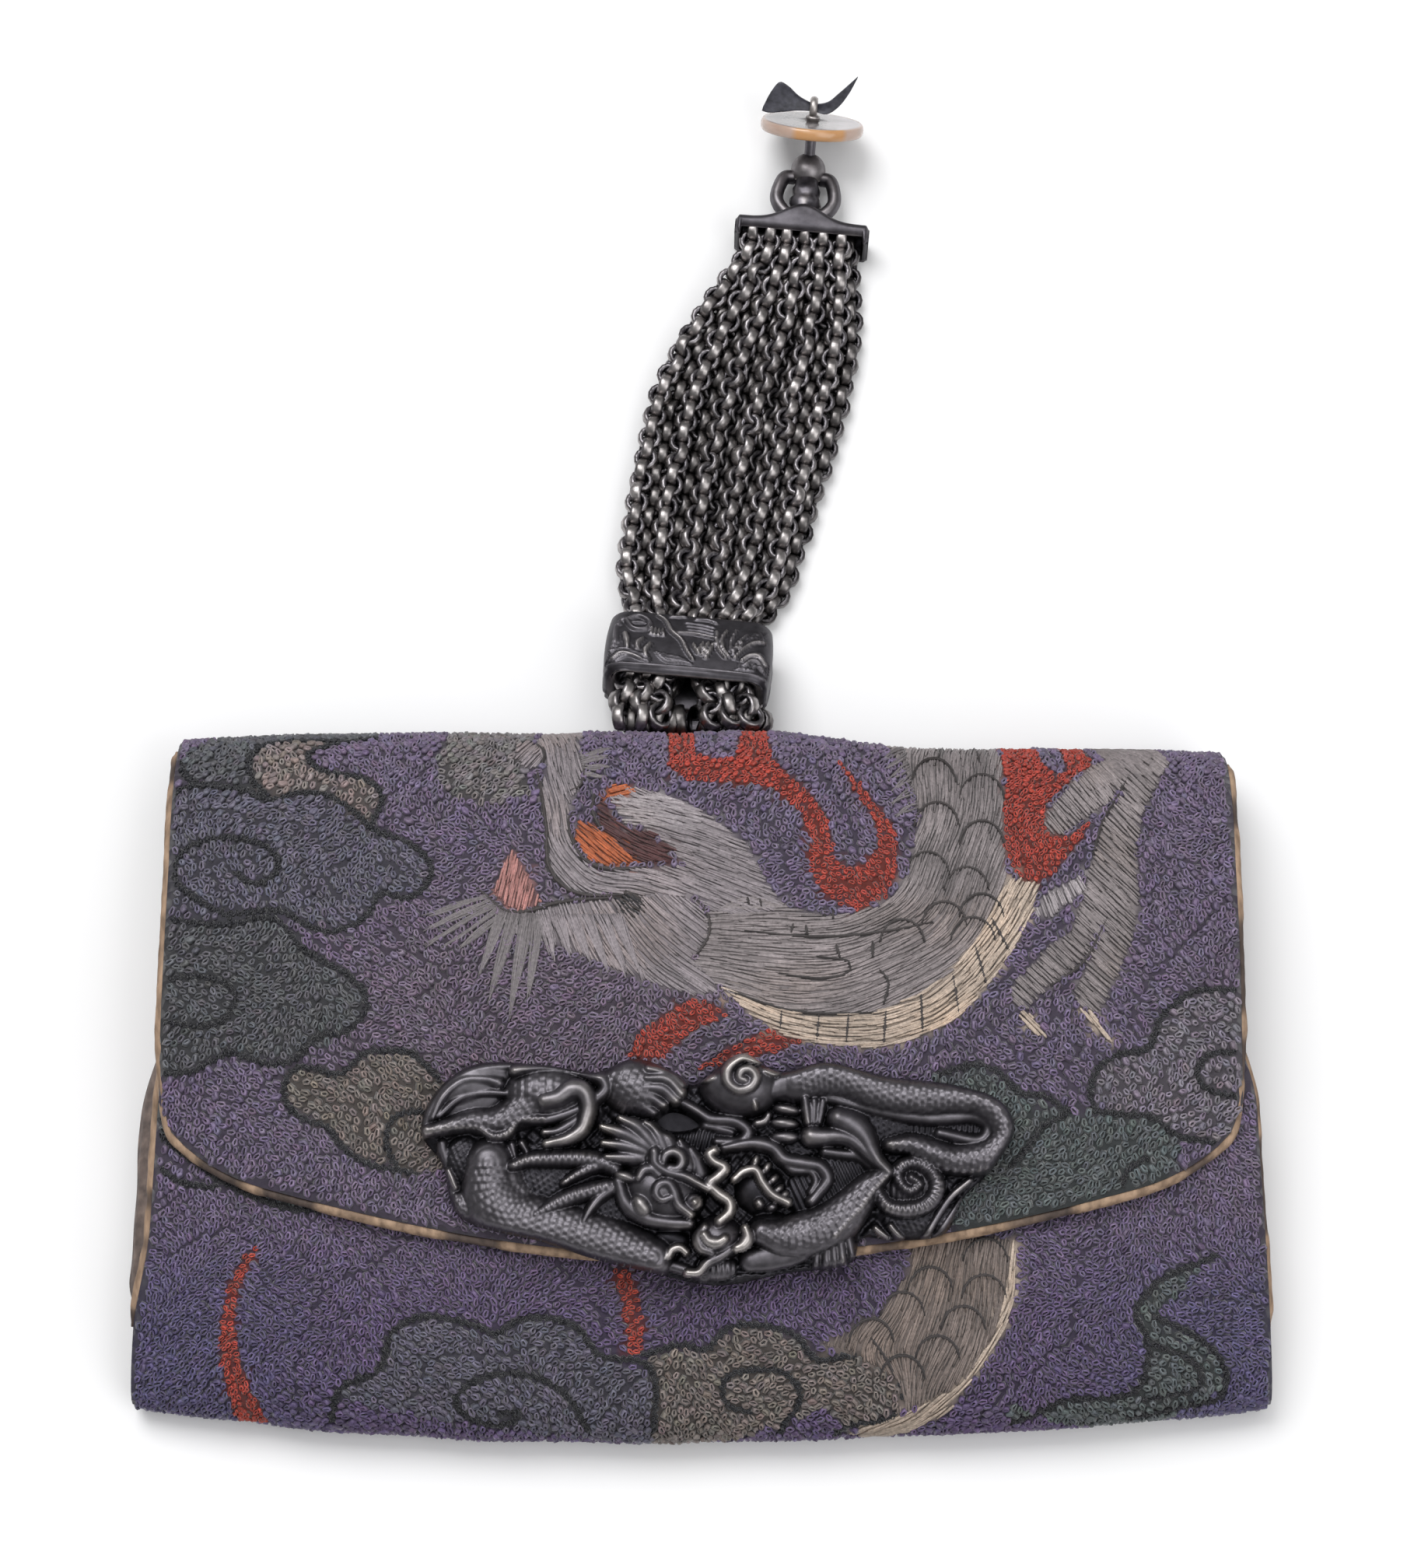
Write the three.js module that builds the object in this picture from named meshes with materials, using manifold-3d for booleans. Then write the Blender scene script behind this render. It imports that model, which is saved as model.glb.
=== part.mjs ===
// A tobacco pouch of embroidered cloth, lying on its back with its chain strap and toggle laid out.
// Millimetres. +Z is up and +Y runs from the pouch to the toggle.
// The origin is under the middle of the back.
import * as THREE from 'three';
import { mergeVertices } from 'three/addons/utils/BufferGeometryUtils.js';
import Module from 'manifold-3d';

const wasm = await Module();
wasm.setup();

// Driving sizes of the pouch
const CLOTH = 1.8; // thickness of the embroidered cloth
const GAP = 0.3; // clearance between neighbouring pieces
const ROUND_SIDES = 12; // facets round a small pin or hole
const FLAP_HALF_WIDTH = 60.4;
const TOP_HALF_WIDTH = 60.2; // at the top fold
const BOTTOM_HALF_WIDTH = 63.5;
const HALF_HEIGHT = 40; // from the middle of the back to either fold
const CROWN_FLAT = 0.56; // share of the half width that stays level under the clasp
const SIDE_DROP = 0.25; // share of its height that the front loses at the sides
const BOTTOM_BOW = { depth: 3.9, below: -10 }; // how far the bottom fold bows out in the middle
const FOLD_SAG = { depth: 1.9, from: 6, over: 20, above: 22 }; // the top fold is lower right of the chain

// Side view of the folded cloth's outer surface, from the mouth of the front panel round to the flap.
// Each row is one stretch: where it ends, and the two handles of its curve (none for a straight one).
const MOUTH = [24, 15.6];
const STRETCHES = [
  { name: 'front_upper', end: [2, 16.6], handles: [[17, 17.1], [9, 17.65]], steps: 3 },
  { name: 'front_seat', end: [-22, 13.0], handles: null, steps: 2 },
  { name: 'front_lower', end: [-40, 4.2], handles: [[-31, 11.65], [-40, 8.8]], steps: 5 },
  { name: 'bottom_fold', end: [-33, 0], handles: [[-40, 1.4], [-37, 0]], steps: 4 },
  { name: 'back', end: [30, 0], handles: null, steps: 3 },
  { name: 'fold_back', end: [40, 8.4], handles: [[36.5, 0], [40, 3.6]], steps: 5 },
  { name: 'fold_front', end: [24, 18.0], handles: [[40, 14.2], [33, 17.0]], steps: 5 },
  { name: 'flap_upper', end: [2, 19.0], handles: [[17, 18.9], [9, 20.05]], steps: 4 },
  { name: 'flap_seat', end: [-21.5, 15.5], handles: null, steps: 3 },
];
const FLAP_SEAT = STRETCHES[STRETCHES.length - 1];
const FLAP_CREST = STRETCHES[STRETCHES.length - 2].end;
const SEAT_SLOPE = Math.atan2(FLAP_CREST[1] - FLAP_SEAT.end[1], FLAP_CREST[0] - FLAP_SEAT.end[0]);

// Columns of facets: shares of the half width over the middle, and the number over a round corner
const MIDDLE_COLUMNS = [0, 0.16, 0.36, CROWN_FLAT, 0.68];
const CORNER_COLUMNS = 5;

// The flap's lower edge: lowest in the middle, rising to round corners
const FLAP_EDGE = { rise: 8.1, at: 50, power: 1.9, cornerFrom: 48, cornerRise: 6 };

// Leather gussets and edge binding
const GUSSET = { thickness: 1.2, inset: 1.6, mouth: 23, foot: -31, rows: 12, columns: 5 };
const GUSSET_BULGE = { left: 3.4, right: 2.4 };
// The flap's binding starts on each side at the first station of the fold below flapTop
const BINDING = { radius: 0.7, sides: 6, flapSteps: 60, flapTop: 36, frontSteps: 12, frontFoot: -35 };

// The cast clasp: its outline and relief are in its own frame, flat on the flap
const CLASP = { x: 1.6, y: -12.3, plate: 2.4, bevel: 0.7, outlinePoints: 46 };
const RELIEF = { sink: 0.4, limbSides: 6, limbSteps: 3, ballSides: 10, ballRings: 6 };
const CATCH = { radius: 1.8, length: 5.4, root: 1, y: -2 }; // the post behind it, rooted in the plate

// The chain strap: twelve strands, alternately in an upper and a lower layer
const STRANDS = 12;
const STRAND = { radius: 0.98, sides: 8, steps: 11 };
const STRAP_YAW = THREE.MathUtils.degToRad(5.5); // the fittings turn clockwise by this much
// Each row is a place along the strap: its centre, half its spread, the gap between the two groups,
// the height of the middle between the layers, and half the distance between the layers.
const STRAP = [
  { at: 'anchor', x: -1.4, y: 43.3, spread: 6.1, split: 0.5, z: 7.9, layer: 1.0 },
  { at: 'slider near end', x: -1.75, y: 46.3, spread: 6.2, split: 0.25, z: 7.15, layer: 1.0 },
  { at: 'slider middle', x: -1.6, y: 49.8, spread: 6.2, split: 0, z: 5.6, layer: 1.0 },
  { at: 'slider far end', x: -1.3, y: 54.7, spread: 6.25, split: 0, z: 3.6, layer: 1.0 },
  { at: 'past the slider', x: 0.1, y: 60.5, spread: 9.0, split: 0, z: 1.9, layer: 0.75 },
  { at: 'lower third', x: 2.9, y: 73, spread: 10.2, split: 0, z: 1.75, layer: 0.6 },
  { at: 'upper third', x: 6.0, y: 85, spread: 10.5, split: 0, z: 1.75, layer: 0.6 },
  { at: 'near the bar', x: 9.4, y: 95, spread: 8.6, split: 0, z: 2.1, layer: 0.8 },
  { at: 'at the bar', x: 11.6, y: 101.8, spread: 6.1, split: 0, z: 2.9, layer: 1.0 },
  { at: 'in the bar', x: 12.0, y: 104.8, spread: 6.0, split: 0, z: 3.1, layer: 1.0 },
];

// Two short bars behind the top fold, each on a post through the cloth, hold the two groups of strands
const ANCHOR = { x: -1.4, aside: 3.8, y: 41.4, z: 7.9, halfLength: 3.5, radius: 1.0 };
const ANCHOR_POST = { radius: 1.0, headRadius: 2.2, head: 1.0, tip: 34.9 };

const SLIDER = {
  x: -1.6, y: 49.8, z: 5.6, tilt: THREE.MathUtils.degToRad(22),
  width: 19.6, depth: 8.0, length: 8.9, corner: 2.4, pinch: 0.7,
  holeWidth: 16.0, holeDepth: 5.5, holeCorner: 0.8, cornerSteps: 4, lengthSteps: 4,
};

// End bar with its scroll arms and dome, in a frame whose origin is the middle of the bar's near edge
const BAR = { x: 11.9, y: 103.5, halfWidth: 8.1, endLength: 2.6, midLength: 4.3, midHalf: 2.4, height: 6.2 };
const SLOT = { halfWidth: 7.45, depth: 1.65, low: 0.7, high: 5.5 };
const DOME = { y: 10.2, z: 2.7, radius: 2.1, foot: -1.0, tip: 0.4, bore: 0.95, rings: 7, sides: 14 };
const ARM = { radius: 0.85, sides: 8, steps: 9 };
// Where one scroll arm runs, to the right of the middle
const ARM_PATH = [[0.6, 3.9, 3.1], [2.6, 4.7, 3.1], [3.9, 6.3, 3.0], [3.4, 8.3, 2.8], [2.0, 9.6, 2.7]];

// Toggle: lengths are measured along the post from the middle of the dome
const TOGGLE_TILT = THREE.MathUtils.degToRad(35);
const POST = { radius: 0.65, tail: -3.0, head: 0.8, headRadius: 1.1, tailRadius: 0.77, top: 6.9 };
const EYE = { at: 7.75, ring: 0.95, wire: 0.38, sides: 14, wireSides: 6 };
const DISC = { at: 5.4, radius: 6.25, thickness: 1.4, edge: 0.35, hole: 0.95, sides: 24 };
// Leather strip: one row for each place along it; at is measured along the post, width across the strip
const STRIP_THICKNESS = 0.7;
const STRIP = [
  { x: -6.1, at: 7.6, width: 1.2, z: 0.5 },
  { x: -4.8, at: 8.2, width: 2.9, z: 0.5 },
  { x: -3.4, at: 8.35, width: 2.5, z: 0.4 },
  { x: -1.8, at: 8.1, width: 1.5, z: 0.2 },
  { x: 0.0, at: 7.75, width: 0.9, z: 0 },
  { x: 1.6, at: 7.8, width: 1.3, z: 0.1 },
  { x: 2.9, at: 8.7, width: 1.5, z: 0.2 },
  { x: 4.0, at: 10.0, width: 0.9, z: 0.3 },
  { x: 4.7, at: 11.0, width: 0.3, z: 0.4 },
];

// Materials, with the colours of the real object
function finish(color, roughness, metalness) {
  return new THREE.MeshStandardMaterial({ color, roughness, metalness });
}

const EMBROIDERY = 0x695c70;
const GUSSET_LEATHER = 0x584c48;
const BINDING_TAN = 0x967d69;
const DARK_SILVER = 0x464446;
const PALE_SHELL = 0xbeb9bc;
const BLACK_LEATHER = 0x34343c;

// Geometry helpers

const clamp01 = (t) => Math.min(1, Math.max(0, t));
const smooth = (t) => clamp01(t) ** 2 * (3 - 2 * clamp01(t));

// A mesh with only positions, its shared vertices merged and its faces pointing out
function closed(geometry) {
  geometry.deleteAttribute('normal');
  geometry.deleteAttribute('uv');
  const merged = mergeVertices(geometry, 1e-3);
  const p = merged.getAttribute('position');
  const index = merged.getIndex().array;
  const [a, b, c] = [new THREE.Vector3(), new THREE.Vector3(), new THREE.Vector3()];
  let volume = 0;
  for (let i = 0; i < index.length; i += 3) {
    a.fromBufferAttribute(p, index[i]);
    b.fromBufferAttribute(p, index[i + 1]);
    c.fromBufferAttribute(p, index[i + 2]);
    volume += a.dot(b.cross(c)) / 6;
  }
  if (volume < 0) {
    for (let i = 0; i < index.length; i += 3) {
      [index[i], index[i + 1]] = [index[i + 1], index[i]];
    }
  }
  return merged;
}

function fromPoints(points, triangles) {
  const geometry = new THREE.BufferGeometry();
  geometry.setAttribute('position', new THREE.Float32BufferAttribute(points.flat(), 3));
  geometry.setIndex(triangles.flat());
  return closed(geometry);
}

function solid(geometry) {
  const g = closed(geometry);
  return new wasm.Manifold(new wasm.Mesh({
    numProp: 3,
    vertProperties: new Float32Array(g.getAttribute('position').array),
    triVerts: new Uint32Array(g.getIndex().array),
  }));
}

function geometryOf(manifold) {
  const mesh = manifold.getMesh();
  const geometry = new THREE.BufferGeometry();
  geometry.setAttribute('position', new THREE.BufferAttribute(mesh.vertProperties, 3));
  geometry.setIndex(new THREE.BufferAttribute(mesh.triVerts, 1));
  return geometry;
}

const join = (geometries) => geometries.map(solid).reduce((whole, piece) => whole.add(piece));

// A wall between two grids of points that match row by row and column by column
function wall(outer, inner) {
  const rows = outer.length;
  const columns = outer[0].length;
  const points = [...outer.flat(), ...inner.flat()];
  const at = (side, r, c) => side * rows * columns + r * columns + c;
  const triangles = [];
  const quad = (a, b, c, d) => triangles.push([a, b, c], [a, c, d]);
  for (let r = 0; r < rows - 1; r += 1) {
    for (let c = 0; c < columns - 1; c += 1) {
      quad(at(0, r, c), at(0, r, c + 1), at(0, r + 1, c + 1), at(0, r + 1, c));
      quad(at(1, r, c), at(1, r + 1, c), at(1, r + 1, c + 1), at(1, r, c + 1));
    }
    quad(at(0, r, 0), at(0, r + 1, 0), at(1, r + 1, 0), at(1, r, 0));
    quad(at(0, r + 1, columns - 1), at(0, r, columns - 1), at(1, r, columns - 1), at(1, r + 1, columns - 1));
  }
  for (let c = 0; c < columns - 1; c += 1) {
    quad(at(0, 0, c + 1), at(0, 0, c), at(1, 0, c), at(1, 0, c + 1));
    quad(at(0, rows - 1, c), at(0, rows - 1, c + 1), at(1, rows - 1, c + 1), at(1, rows - 1, c));
  }
  return fromPoints(points, triangles);
}

// A round bar of one thickness along a curve
function tube(curve, radius, sides, steps) {
  const corner = (_, i) => {
    const angle = (i / sides) * 2 * Math.PI;
    return new THREE.Vector2(radius * Math.cos(angle), radius * Math.sin(angle));
  };
  const section = new THREE.Shape(Array.from({ length: sides }, corner));
  return new THREE.ExtrudeGeometry(section, { extrudePath: curve, steps, bevelEnabled: false });
}

// A round bar whose radius runs evenly from one end's to the other's
function taper(path, radii, sides, steps) {
  const curve = new THREE.CatmullRomCurve3(path.map((p) => new THREE.Vector3(...p)));
  const frames = curve.computeFrenetFrames(steps, false);
  const points = [];
  const triangles = [];
  for (let i = 0; i <= steps; i += 1) {
    const centre = curve.getPointAt(i / steps);
    const radius = THREE.MathUtils.lerp(radii[0], radii[1], i / steps);
    for (let k = 0; k < sides; k += 1) {
      const angle = (k / sides) * 2 * Math.PI;
      const p = centre.clone();
      p.addScaledVector(frames.normals[i], radius * Math.cos(angle));
      p.addScaledVector(frames.binormals[i], radius * Math.sin(angle));
      points.push(p.toArray());
    }
  }
  const last = steps * sides;
  for (let k = 0; k < sides; k += 1) {
    const next = (k + 1) % sides;
    for (let i = 0; i < last; i += sides) {
      triangles.push([i + k, i + next, i + sides + next], [i + k, i + sides + next, i + sides + k]);
    }
    if (k > 0 && k < sides - 1) {
      triangles.push([0, k + 1, k], [last, last + k, last + k + 1]);
    }
  }
  return fromPoints(points, triangles);
}

const roundBar = (radius, length) => new THREE.CylinderGeometry(radius, radius, length, ROUND_SIDES);

function blob(x, y, z, halfX, halfY, halfZ) {
  const ball = new THREE.SphereGeometry(1, RELIEF.ballSides, RELIEF.ballRings);
  ball.scale(halfX, halfY, halfZ);
  ball.translate(x, y, z);
  return ball;
}

// The folded cloth

// Every place along the side view, with the direction that points out of the pouch there
function profile() {
  const stations = [];
  let from = MOUTH;
  for (const stretch of STRETCHES) {
    const ends = [from, ...(stretch.handles ?? []), stretch.end].map((p) => new THREE.Vector2(...p));
    const curve = stretch.handles ? new THREE.CubicBezierCurve(...ends) : new THREE.LineCurve(...ends);
    for (let k = stations.length ? 1 : 0; k <= stretch.steps; k += 1) {
      const t = k / stretch.steps;
      const along = curve.getTangent(t);
      const place = curve.getPoint(t);
      stations.push({ stretch: stretch.name, t, y: place.x, z: place.y, ny: along.y, nz: -along.x });
    }
    from = stretch.end;
  }
  return stations;
}

const STATIONS = profile();
const onFlap = (station) => station.stretch.startsWith('flap');

function halfWidth(station) {
  const down = (HALF_HEIGHT - station.y) / (2 * HALF_HEIGHT);
  const body = THREE.MathUtils.lerp(TOP_HALF_WIDTH, BOTTOM_HALF_WIDTH, down);
  return onFlap(station) ? FLAP_HALF_WIDTH : body;
}

function flapEdgeY(x) {
  const across = Math.abs(x);
  const corner = clamp01((across - FLAP_EDGE.cornerFrom) / (FLAP_HALF_WIDTH - FLAP_EDGE.cornerFrom));
  const slope = FLAP_EDGE.rise * (across / FLAP_EDGE.at) ** FLAP_EDGE.power;
  return FLAP_SEAT.end[0] + slope + FLAP_EDGE.cornerRise * (1 - Math.sqrt(1 - corner ** 2));
}

// A point of the cloth: u runs across from -1 to 1, depth is how far under the outer surface it lies
function clothPoint(station, u, depth) {
  const x = u * halfWidth(station);
  let { y, z } = station;
  if (station.stretch === FLAP_SEAT.name) {
    const reach = (FLAP_CREST[0] - flapEdgeY(x)) / (FLAP_CREST[0] - FLAP_SEAT.end[0]);
    y = THREE.MathUtils.lerp(FLAP_CREST[0], flapEdgeY(x), station.t);
    z = THREE.MathUtils.lerp(FLAP_CREST[1], FLAP_SEAT.end[1], station.t * reach);
  }
  const outward = clamp01((Math.abs(u) - CROWN_FLAT) / (1 - CROWN_FLAT));
  z *= 1 - SIDE_DROP * outward ** 2;
  const low = clamp01((BOTTOM_BOW.below - station.y) / (HALF_HEIGHT + BOTTOM_BOW.below)) ** 2;
  const high = onFlap(station) ? 0 : clamp01((station.y - FOLD_SAG.above) / (HALF_HEIGHT - FOLD_SAG.above));
  y += onFlap(station) ? 0 : BOTTOM_BOW.depth * u ** 2 * low;
  y -= FOLD_SAG.depth * smooth((x - FOLD_SAG.from) / FOLD_SAG.over) * high;
  return [x, y - station.ny * depth, z - station.nz * depth];
}

// Columns across the cloth, closer together over the flap's round corners
function columnsAcross() {
  const cornerFrom = FLAP_EDGE.cornerFrom / FLAP_HALF_WIDTH;
  const right = [...MIDDLE_COLUMNS];
  for (let k = 0; k <= CORNER_COLUMNS; k += 1) {
    const quarter = (k / CORNER_COLUMNS) * (Math.PI / 2);
    right.push(cornerFrom + (1 - cornerFrom) * Math.sin(quarter));
  }
  return [...right.slice(1).reverse().map((u) => -u), ...right];
}

function claspFrame(geometry, lift) {
  const seat = FLAP_CREST[1] - (FLAP_CREST[0] - CLASP.y) * Math.tan(SEAT_SLOPE);
  geometry.rotateX(SEAT_SLOPE);
  geometry.translate(CLASP.x, CLASP.y - lift * Math.sin(SEAT_SLOPE), seat + lift * Math.cos(SEAT_SLOPE));
  return geometry;
}

const anchorX = (side) => ANCHOR.x + side * ANCHOR.aside;

function postAlongY(radius, from, to, x, z) {
  const post = roundBar(radius, to - from);
  post.translate(x, (from + to) / 2, z);
  return post;
}

function clothWrap() {
  const columns = columnsAcross();
  const sheet = (depth) => STATIONS.map((s) => columns.map((u) => clothPoint(s, u, depth)));
  let cloth = solid(wall(sheet(0), sheet(CLOTH)));
  const catchHole = roundBar(CATCH.radius + GAP, 2 * CATCH.length);
  catchHole.rotateX(Math.PI / 2);
  catchHole.translate(0, CATCH.y, 0);
  cloth = cloth.subtract(solid(claspFrame(catchHole, 0)));
  for (const side of [-1, 1]) {
    const hole = postAlongY(ANCHOR_POST.radius + GAP, ANCHOR_POST.tip, ANCHOR.y, anchorX(side), ANCHOR.z);
    cloth = cloth.subtract(solid(hole));
  }
  return geometryOf(cloth);
}

// Gussets: leather walls that close the sides between the back and the front panel

// Height of the inside of the cloth at the side edge, over the back panel and under the front panel
function sideHeights(u) {
  const inner = STATIONS.map((s) => ({ s, p: clothPoint(s, u, CLOTH) }));
  const front = inner.filter(({ s }) => s.stretch.startsWith('front'));
  const back = inner.filter(({ s }) => s.stretch === 'bottom_fold' || s.stretch.startsWith('back'));
  const heightAt = (list, y) => {
    const next = list.findIndex(({ p }, i) => i > 0 && (p[1] - y) * (list[i - 1].p[1] - y) <= 0);
    const [a, b] = [list[next - 1].p, list[next].p];
    return THREE.MathUtils.lerp(a[2], b[2], (y - a[1]) / (b[1] - a[1]));
  };
  return { low: (y) => heightAt(back, y), high: (y) => heightAt(front, y) };
}

function gusset(side, bulge) {
  const heights = sideHeights(side);
  const grid = (depth) => {
    const rows = [];
    for (let r = 0; r <= GUSSET.rows; r += 1) {
      const y = THREE.MathUtils.lerp(GUSSET.foot, GUSSET.mouth, r / GUSSET.rows);
      const edge = halfWidth({ y, stretch: 'back' }) - GUSSET.inset;
      const low = heights.low(y) + GAP;
      const high = heights.high(y) - GAP;
      const row = [];
      for (let c = 0; c <= GUSSET.columns; c += 1) {
        const across = c / GUSSET.columns;
        const swell = bulge * 4 * across * (1 - across);
        row.push([side * (edge + swell - depth), y, THREE.MathUtils.lerp(low, high, across)]);
      }
      rows.push(row);
    }
    return rows;
  };
  return wall(grid(0), grid(GUSSET.thickness));
}

// Binding along the free edges of the flap and the side edges of the front panel

const middleOf = (station, u, out) => {
  const p = new THREE.Vector3(...clothPoint(station, u, CLOTH / 2));
  p.x += Math.sign(u) * out;
  return p;
};

function flapBinding() {
  const out = BINDING.radius + GAP;
  const overFold = (s) => s.stretch === 'fold_front' && s.y < BINDING.flapTop;
  const sideStations = STATIONS.filter((s) => overFold(s) || s.stretch === 'flap_upper');
  const side = (u) => sideStations.map((s) => middleOf(s, u, out));
  const end = STATIONS[STATIONS.length - 1];
  const rim = columnsAcross().map((u) => new THREE.Vector3(...clothPoint(end, u, CLOTH / 2)));
  const edge = rim.slice(1, -1).map((here, i) => {
    const along = rim[i + 2].clone().sub(rim[i]);
    return new THREE.Vector3(along.y, -along.x, 0).setLength(out).add(here);
  });
  const path = [...side(-1), ...edge, ...side(1).reverse()];
  return tube(new THREE.CatmullRomCurve3(path), BINDING.radius, BINDING.sides, BINDING.flapSteps);
}

function frontBinding(side) {
  const stations = STATIONS.filter((s) => s.stretch.startsWith('front') && s.y > BINDING.frontFoot);
  const path = stations.map((s) => middleOf(s, side, BINDING.radius + GAP));
  return tube(new THREE.CatmullRomCurve3(path), BINDING.radius, BINDING.sides, BINDING.frontSteps);
}

// Clasp: a cast plate with two dragons and a jewel in high relief

const CLASP_OUTLINE = [
  [-32.4, 4.2], [-31.0, 8.4], [-26.8, 11.6], [-18.9, 11.6], [-13.4, 10.8], [-8.9, 12.3], [-4.1, 10.6],
  [-2.6, 9.4], [2.8, 12.9], [6.9, 10.9], [12.0, 11.9], [18.5, 10.4], [26.4, 9.4], [31.4, 7.6],
  [32.8, 4.7], [30.4, 0.3], [27.2, -2.9], [25.1, -6.8], [19.6, -7.6], [15.9, -7.4], [14.9, -9.9],
  [7.5, -11.2], [0.1, -12.5], [-7.1, -11.1], [-13.4, -9.6], [-18.5, -7.9], [-28.2, -4.9], [-30.1, 0.8],
];

// Rounded masses: centre, half sizes across and along, height above the plate's face
const MASSES = [
  { name: 'tail fin', x: -26.9, y: 7.6, halfX: 4.6, halfY: 3.2, rise: 1.4 },
  { name: 'hip', x: -19.0, y: 7.6, halfX: 4.7, halfY: 3.3, rise: 2.2 },
  { name: 'hump', x: -9.0, y: 8.8, halfX: 4.7, halfY: 3.0, rise: 2.6 },
  { name: 'left head', x: -6.9, y: -2.1, halfX: 5.2, halfY: 3.5, rise: 3.6 },
  { name: 'left muzzle', x: -0.4, y: -6.0, halfX: 3.6, halfY: 2.6, rise: 3.2 },
  { name: 'muzzle curls', x: 1.2, y: -9.0, halfX: 2.6, halfY: 2.4, rise: 2.4 },
  { name: 'jewel', x: 2.8, y: 8.9, halfX: 3.9, halfY: 3.7, rise: 3.6 },
  { name: 'right head', x: 5.6, y: -2.0, halfX: 3.4, halfY: 2.9, rise: 2.8 },
  { name: 'spiral cloud', x: 21.2, y: -1.4, halfX: 3.0, halfY: 2.8, rise: 1.9 },
  { name: 'fin', x: 22.0, y: -5.6, halfX: 3.2, halfY: 1.6, rise: 1.2 },
  { name: 'hair tuft', x: 12.6, y: -8.2, halfX: 1.9, halfY: 1.8, rise: 1.5 },
];
// Bodies, limbs, antlers and whiskers: where each runs, its radius at both ends, its height above the face
const LIMBS = [
  { name: 'tail', radii: [0.7, 1.0], rise: 0.5,
    path: [[-30.6, 4.3], [-27.5, 5.0], [-23.9, 3.7], [-20.6, 5.6]] },
  { name: 'left body', radii: [1.5, 1.9], rise: 0.8,
    path: [[-27.6, -2.6], [-18.9, -5.2], [-7.9, -8.7]] },
  { name: 'left back', radii: [1.8, 2.4], rise: 0.3,
    path: [[-25.0, 0.4], [-18.0, 3.2], [-11.5, 4.6]] },
  { name: 'antler A', radii: [0.45, 0.8], rise: 0.4,
    path: [[-22.0, 0.4], [-15.5, 1.4], [-10.4, 0.2]] },
  { name: 'antler B', radii: [0.45, 0.8], rise: 0.4,
    path: [[-19.6, -4.3], [-15.5, -2.9], [-10.4, -2.2]] },
  { name: 'whisker', radii: [0.35, 0.5], rise: 0.25,
    path: [[-0.7, 2.1], [0.4, 0.4], [-0.7, -1.3], [1.3, -3.4]] },
  { name: 'right loop', radii: [2.3, 1.8], rise: 1.0,
    path: [[8.2, 7.8], [15.5, 8.9], [24.0, 7.2], [29.2, 5.2]] },
  { name: 'right tail', radii: [1.8, 1.4], rise: 1.0,
    path: [[29.2, 5.2], [28.2, 2.2], [24.1, 1.7], [18.9, 2.6]] },
  { name: 'right antler', radii: [0.55, 0.8], rise: 0.4,
    path: [[10.1, 3.6], [13.3, 3.4], [17.2, 1.3], [18.7, 0.2]] },
  { name: 'right arm', radii: [1.4, 1.3], rise: 0.9,
    path: [[18.7, 0], [14.2, -3.6], [10.3, -5.9], [4.7, -7.4]] },
];

function limb({ path, radii, rise }) {
  const middle = path.map(([x, y]) => [x, y, CLASP.plate + rise]);
  return taper(middle, radii, RELIEF.limbSides, RELIEF.limbSteps * path.length);
}

function mass({ x, y, halfX, halfY, rise }) {
  return blob(x, y, CLASP.plate - RELIEF.sink, halfX, halfY, rise + RELIEF.sink);
}

function frontClasp() {
  const outline = new THREE.CatmullRomCurve3(CLASP_OUTLINE.map(([x, y]) => new THREE.Vector3(x, y, 0)), true);
  const rim = outline.getPoints(CLASP.outlinePoints).slice(0, -1).map((p) => new THREE.Vector2(p.x, p.y));
  const plate = new THREE.ExtrudeGeometry(new THREE.Shape(rim), {
    depth: CLASP.plate - CLASP.bevel, bevelThickness: CLASP.bevel, bevelSize: CLASP.bevel,
    bevelOffset: -CLASP.bevel, bevelSegments: 1,
  });
  plate.translate(0, 0, CLASP.bevel);
  const size = new THREE.Box2().setFromPoints(rim).getSize(new THREE.Vector2()).multiplyScalar(2);
  const under = new THREE.BoxGeometry(size.x, size.y, size.y);
  under.translate(0, 0, -size.y / 2);
  const face = join([plate, ...MASSES.map(mass), ...LIMBS.map(limb)]).subtract(solid(under));
  const pin = roundBar(CATCH.radius, CATCH.length + CATCH.root);
  pin.rotateX(Math.PI / 2);
  pin.translate(0, CATCH.y, (CATCH.root - CATCH.length) / 2);
  return claspFrame(geometryOf(face.add(solid(pin))), GAP);
}

// Chain strap

// The middle line of one strand; even ones lie in the upper layer and odd ones in the lower
function strandCurve(number) {
  const across = (number - (STRANDS - 1) / 2) / ((STRANDS - 1) / 2);
  const layer = number % 2 ? -1 : 1;
  return new THREE.CatmullRomCurve3(STRAP.map((row) => {
    const aside = row.spread * across + row.split * Math.sign(across);
    return new THREE.Vector3(
      row.x + aside * Math.cos(STRAP_YAW),
      row.y - (row.at === 'anchor' ? 0 : aside * Math.sin(STRAP_YAW)),
      row.z + row.layer * layer,
    );
  }));
}

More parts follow.
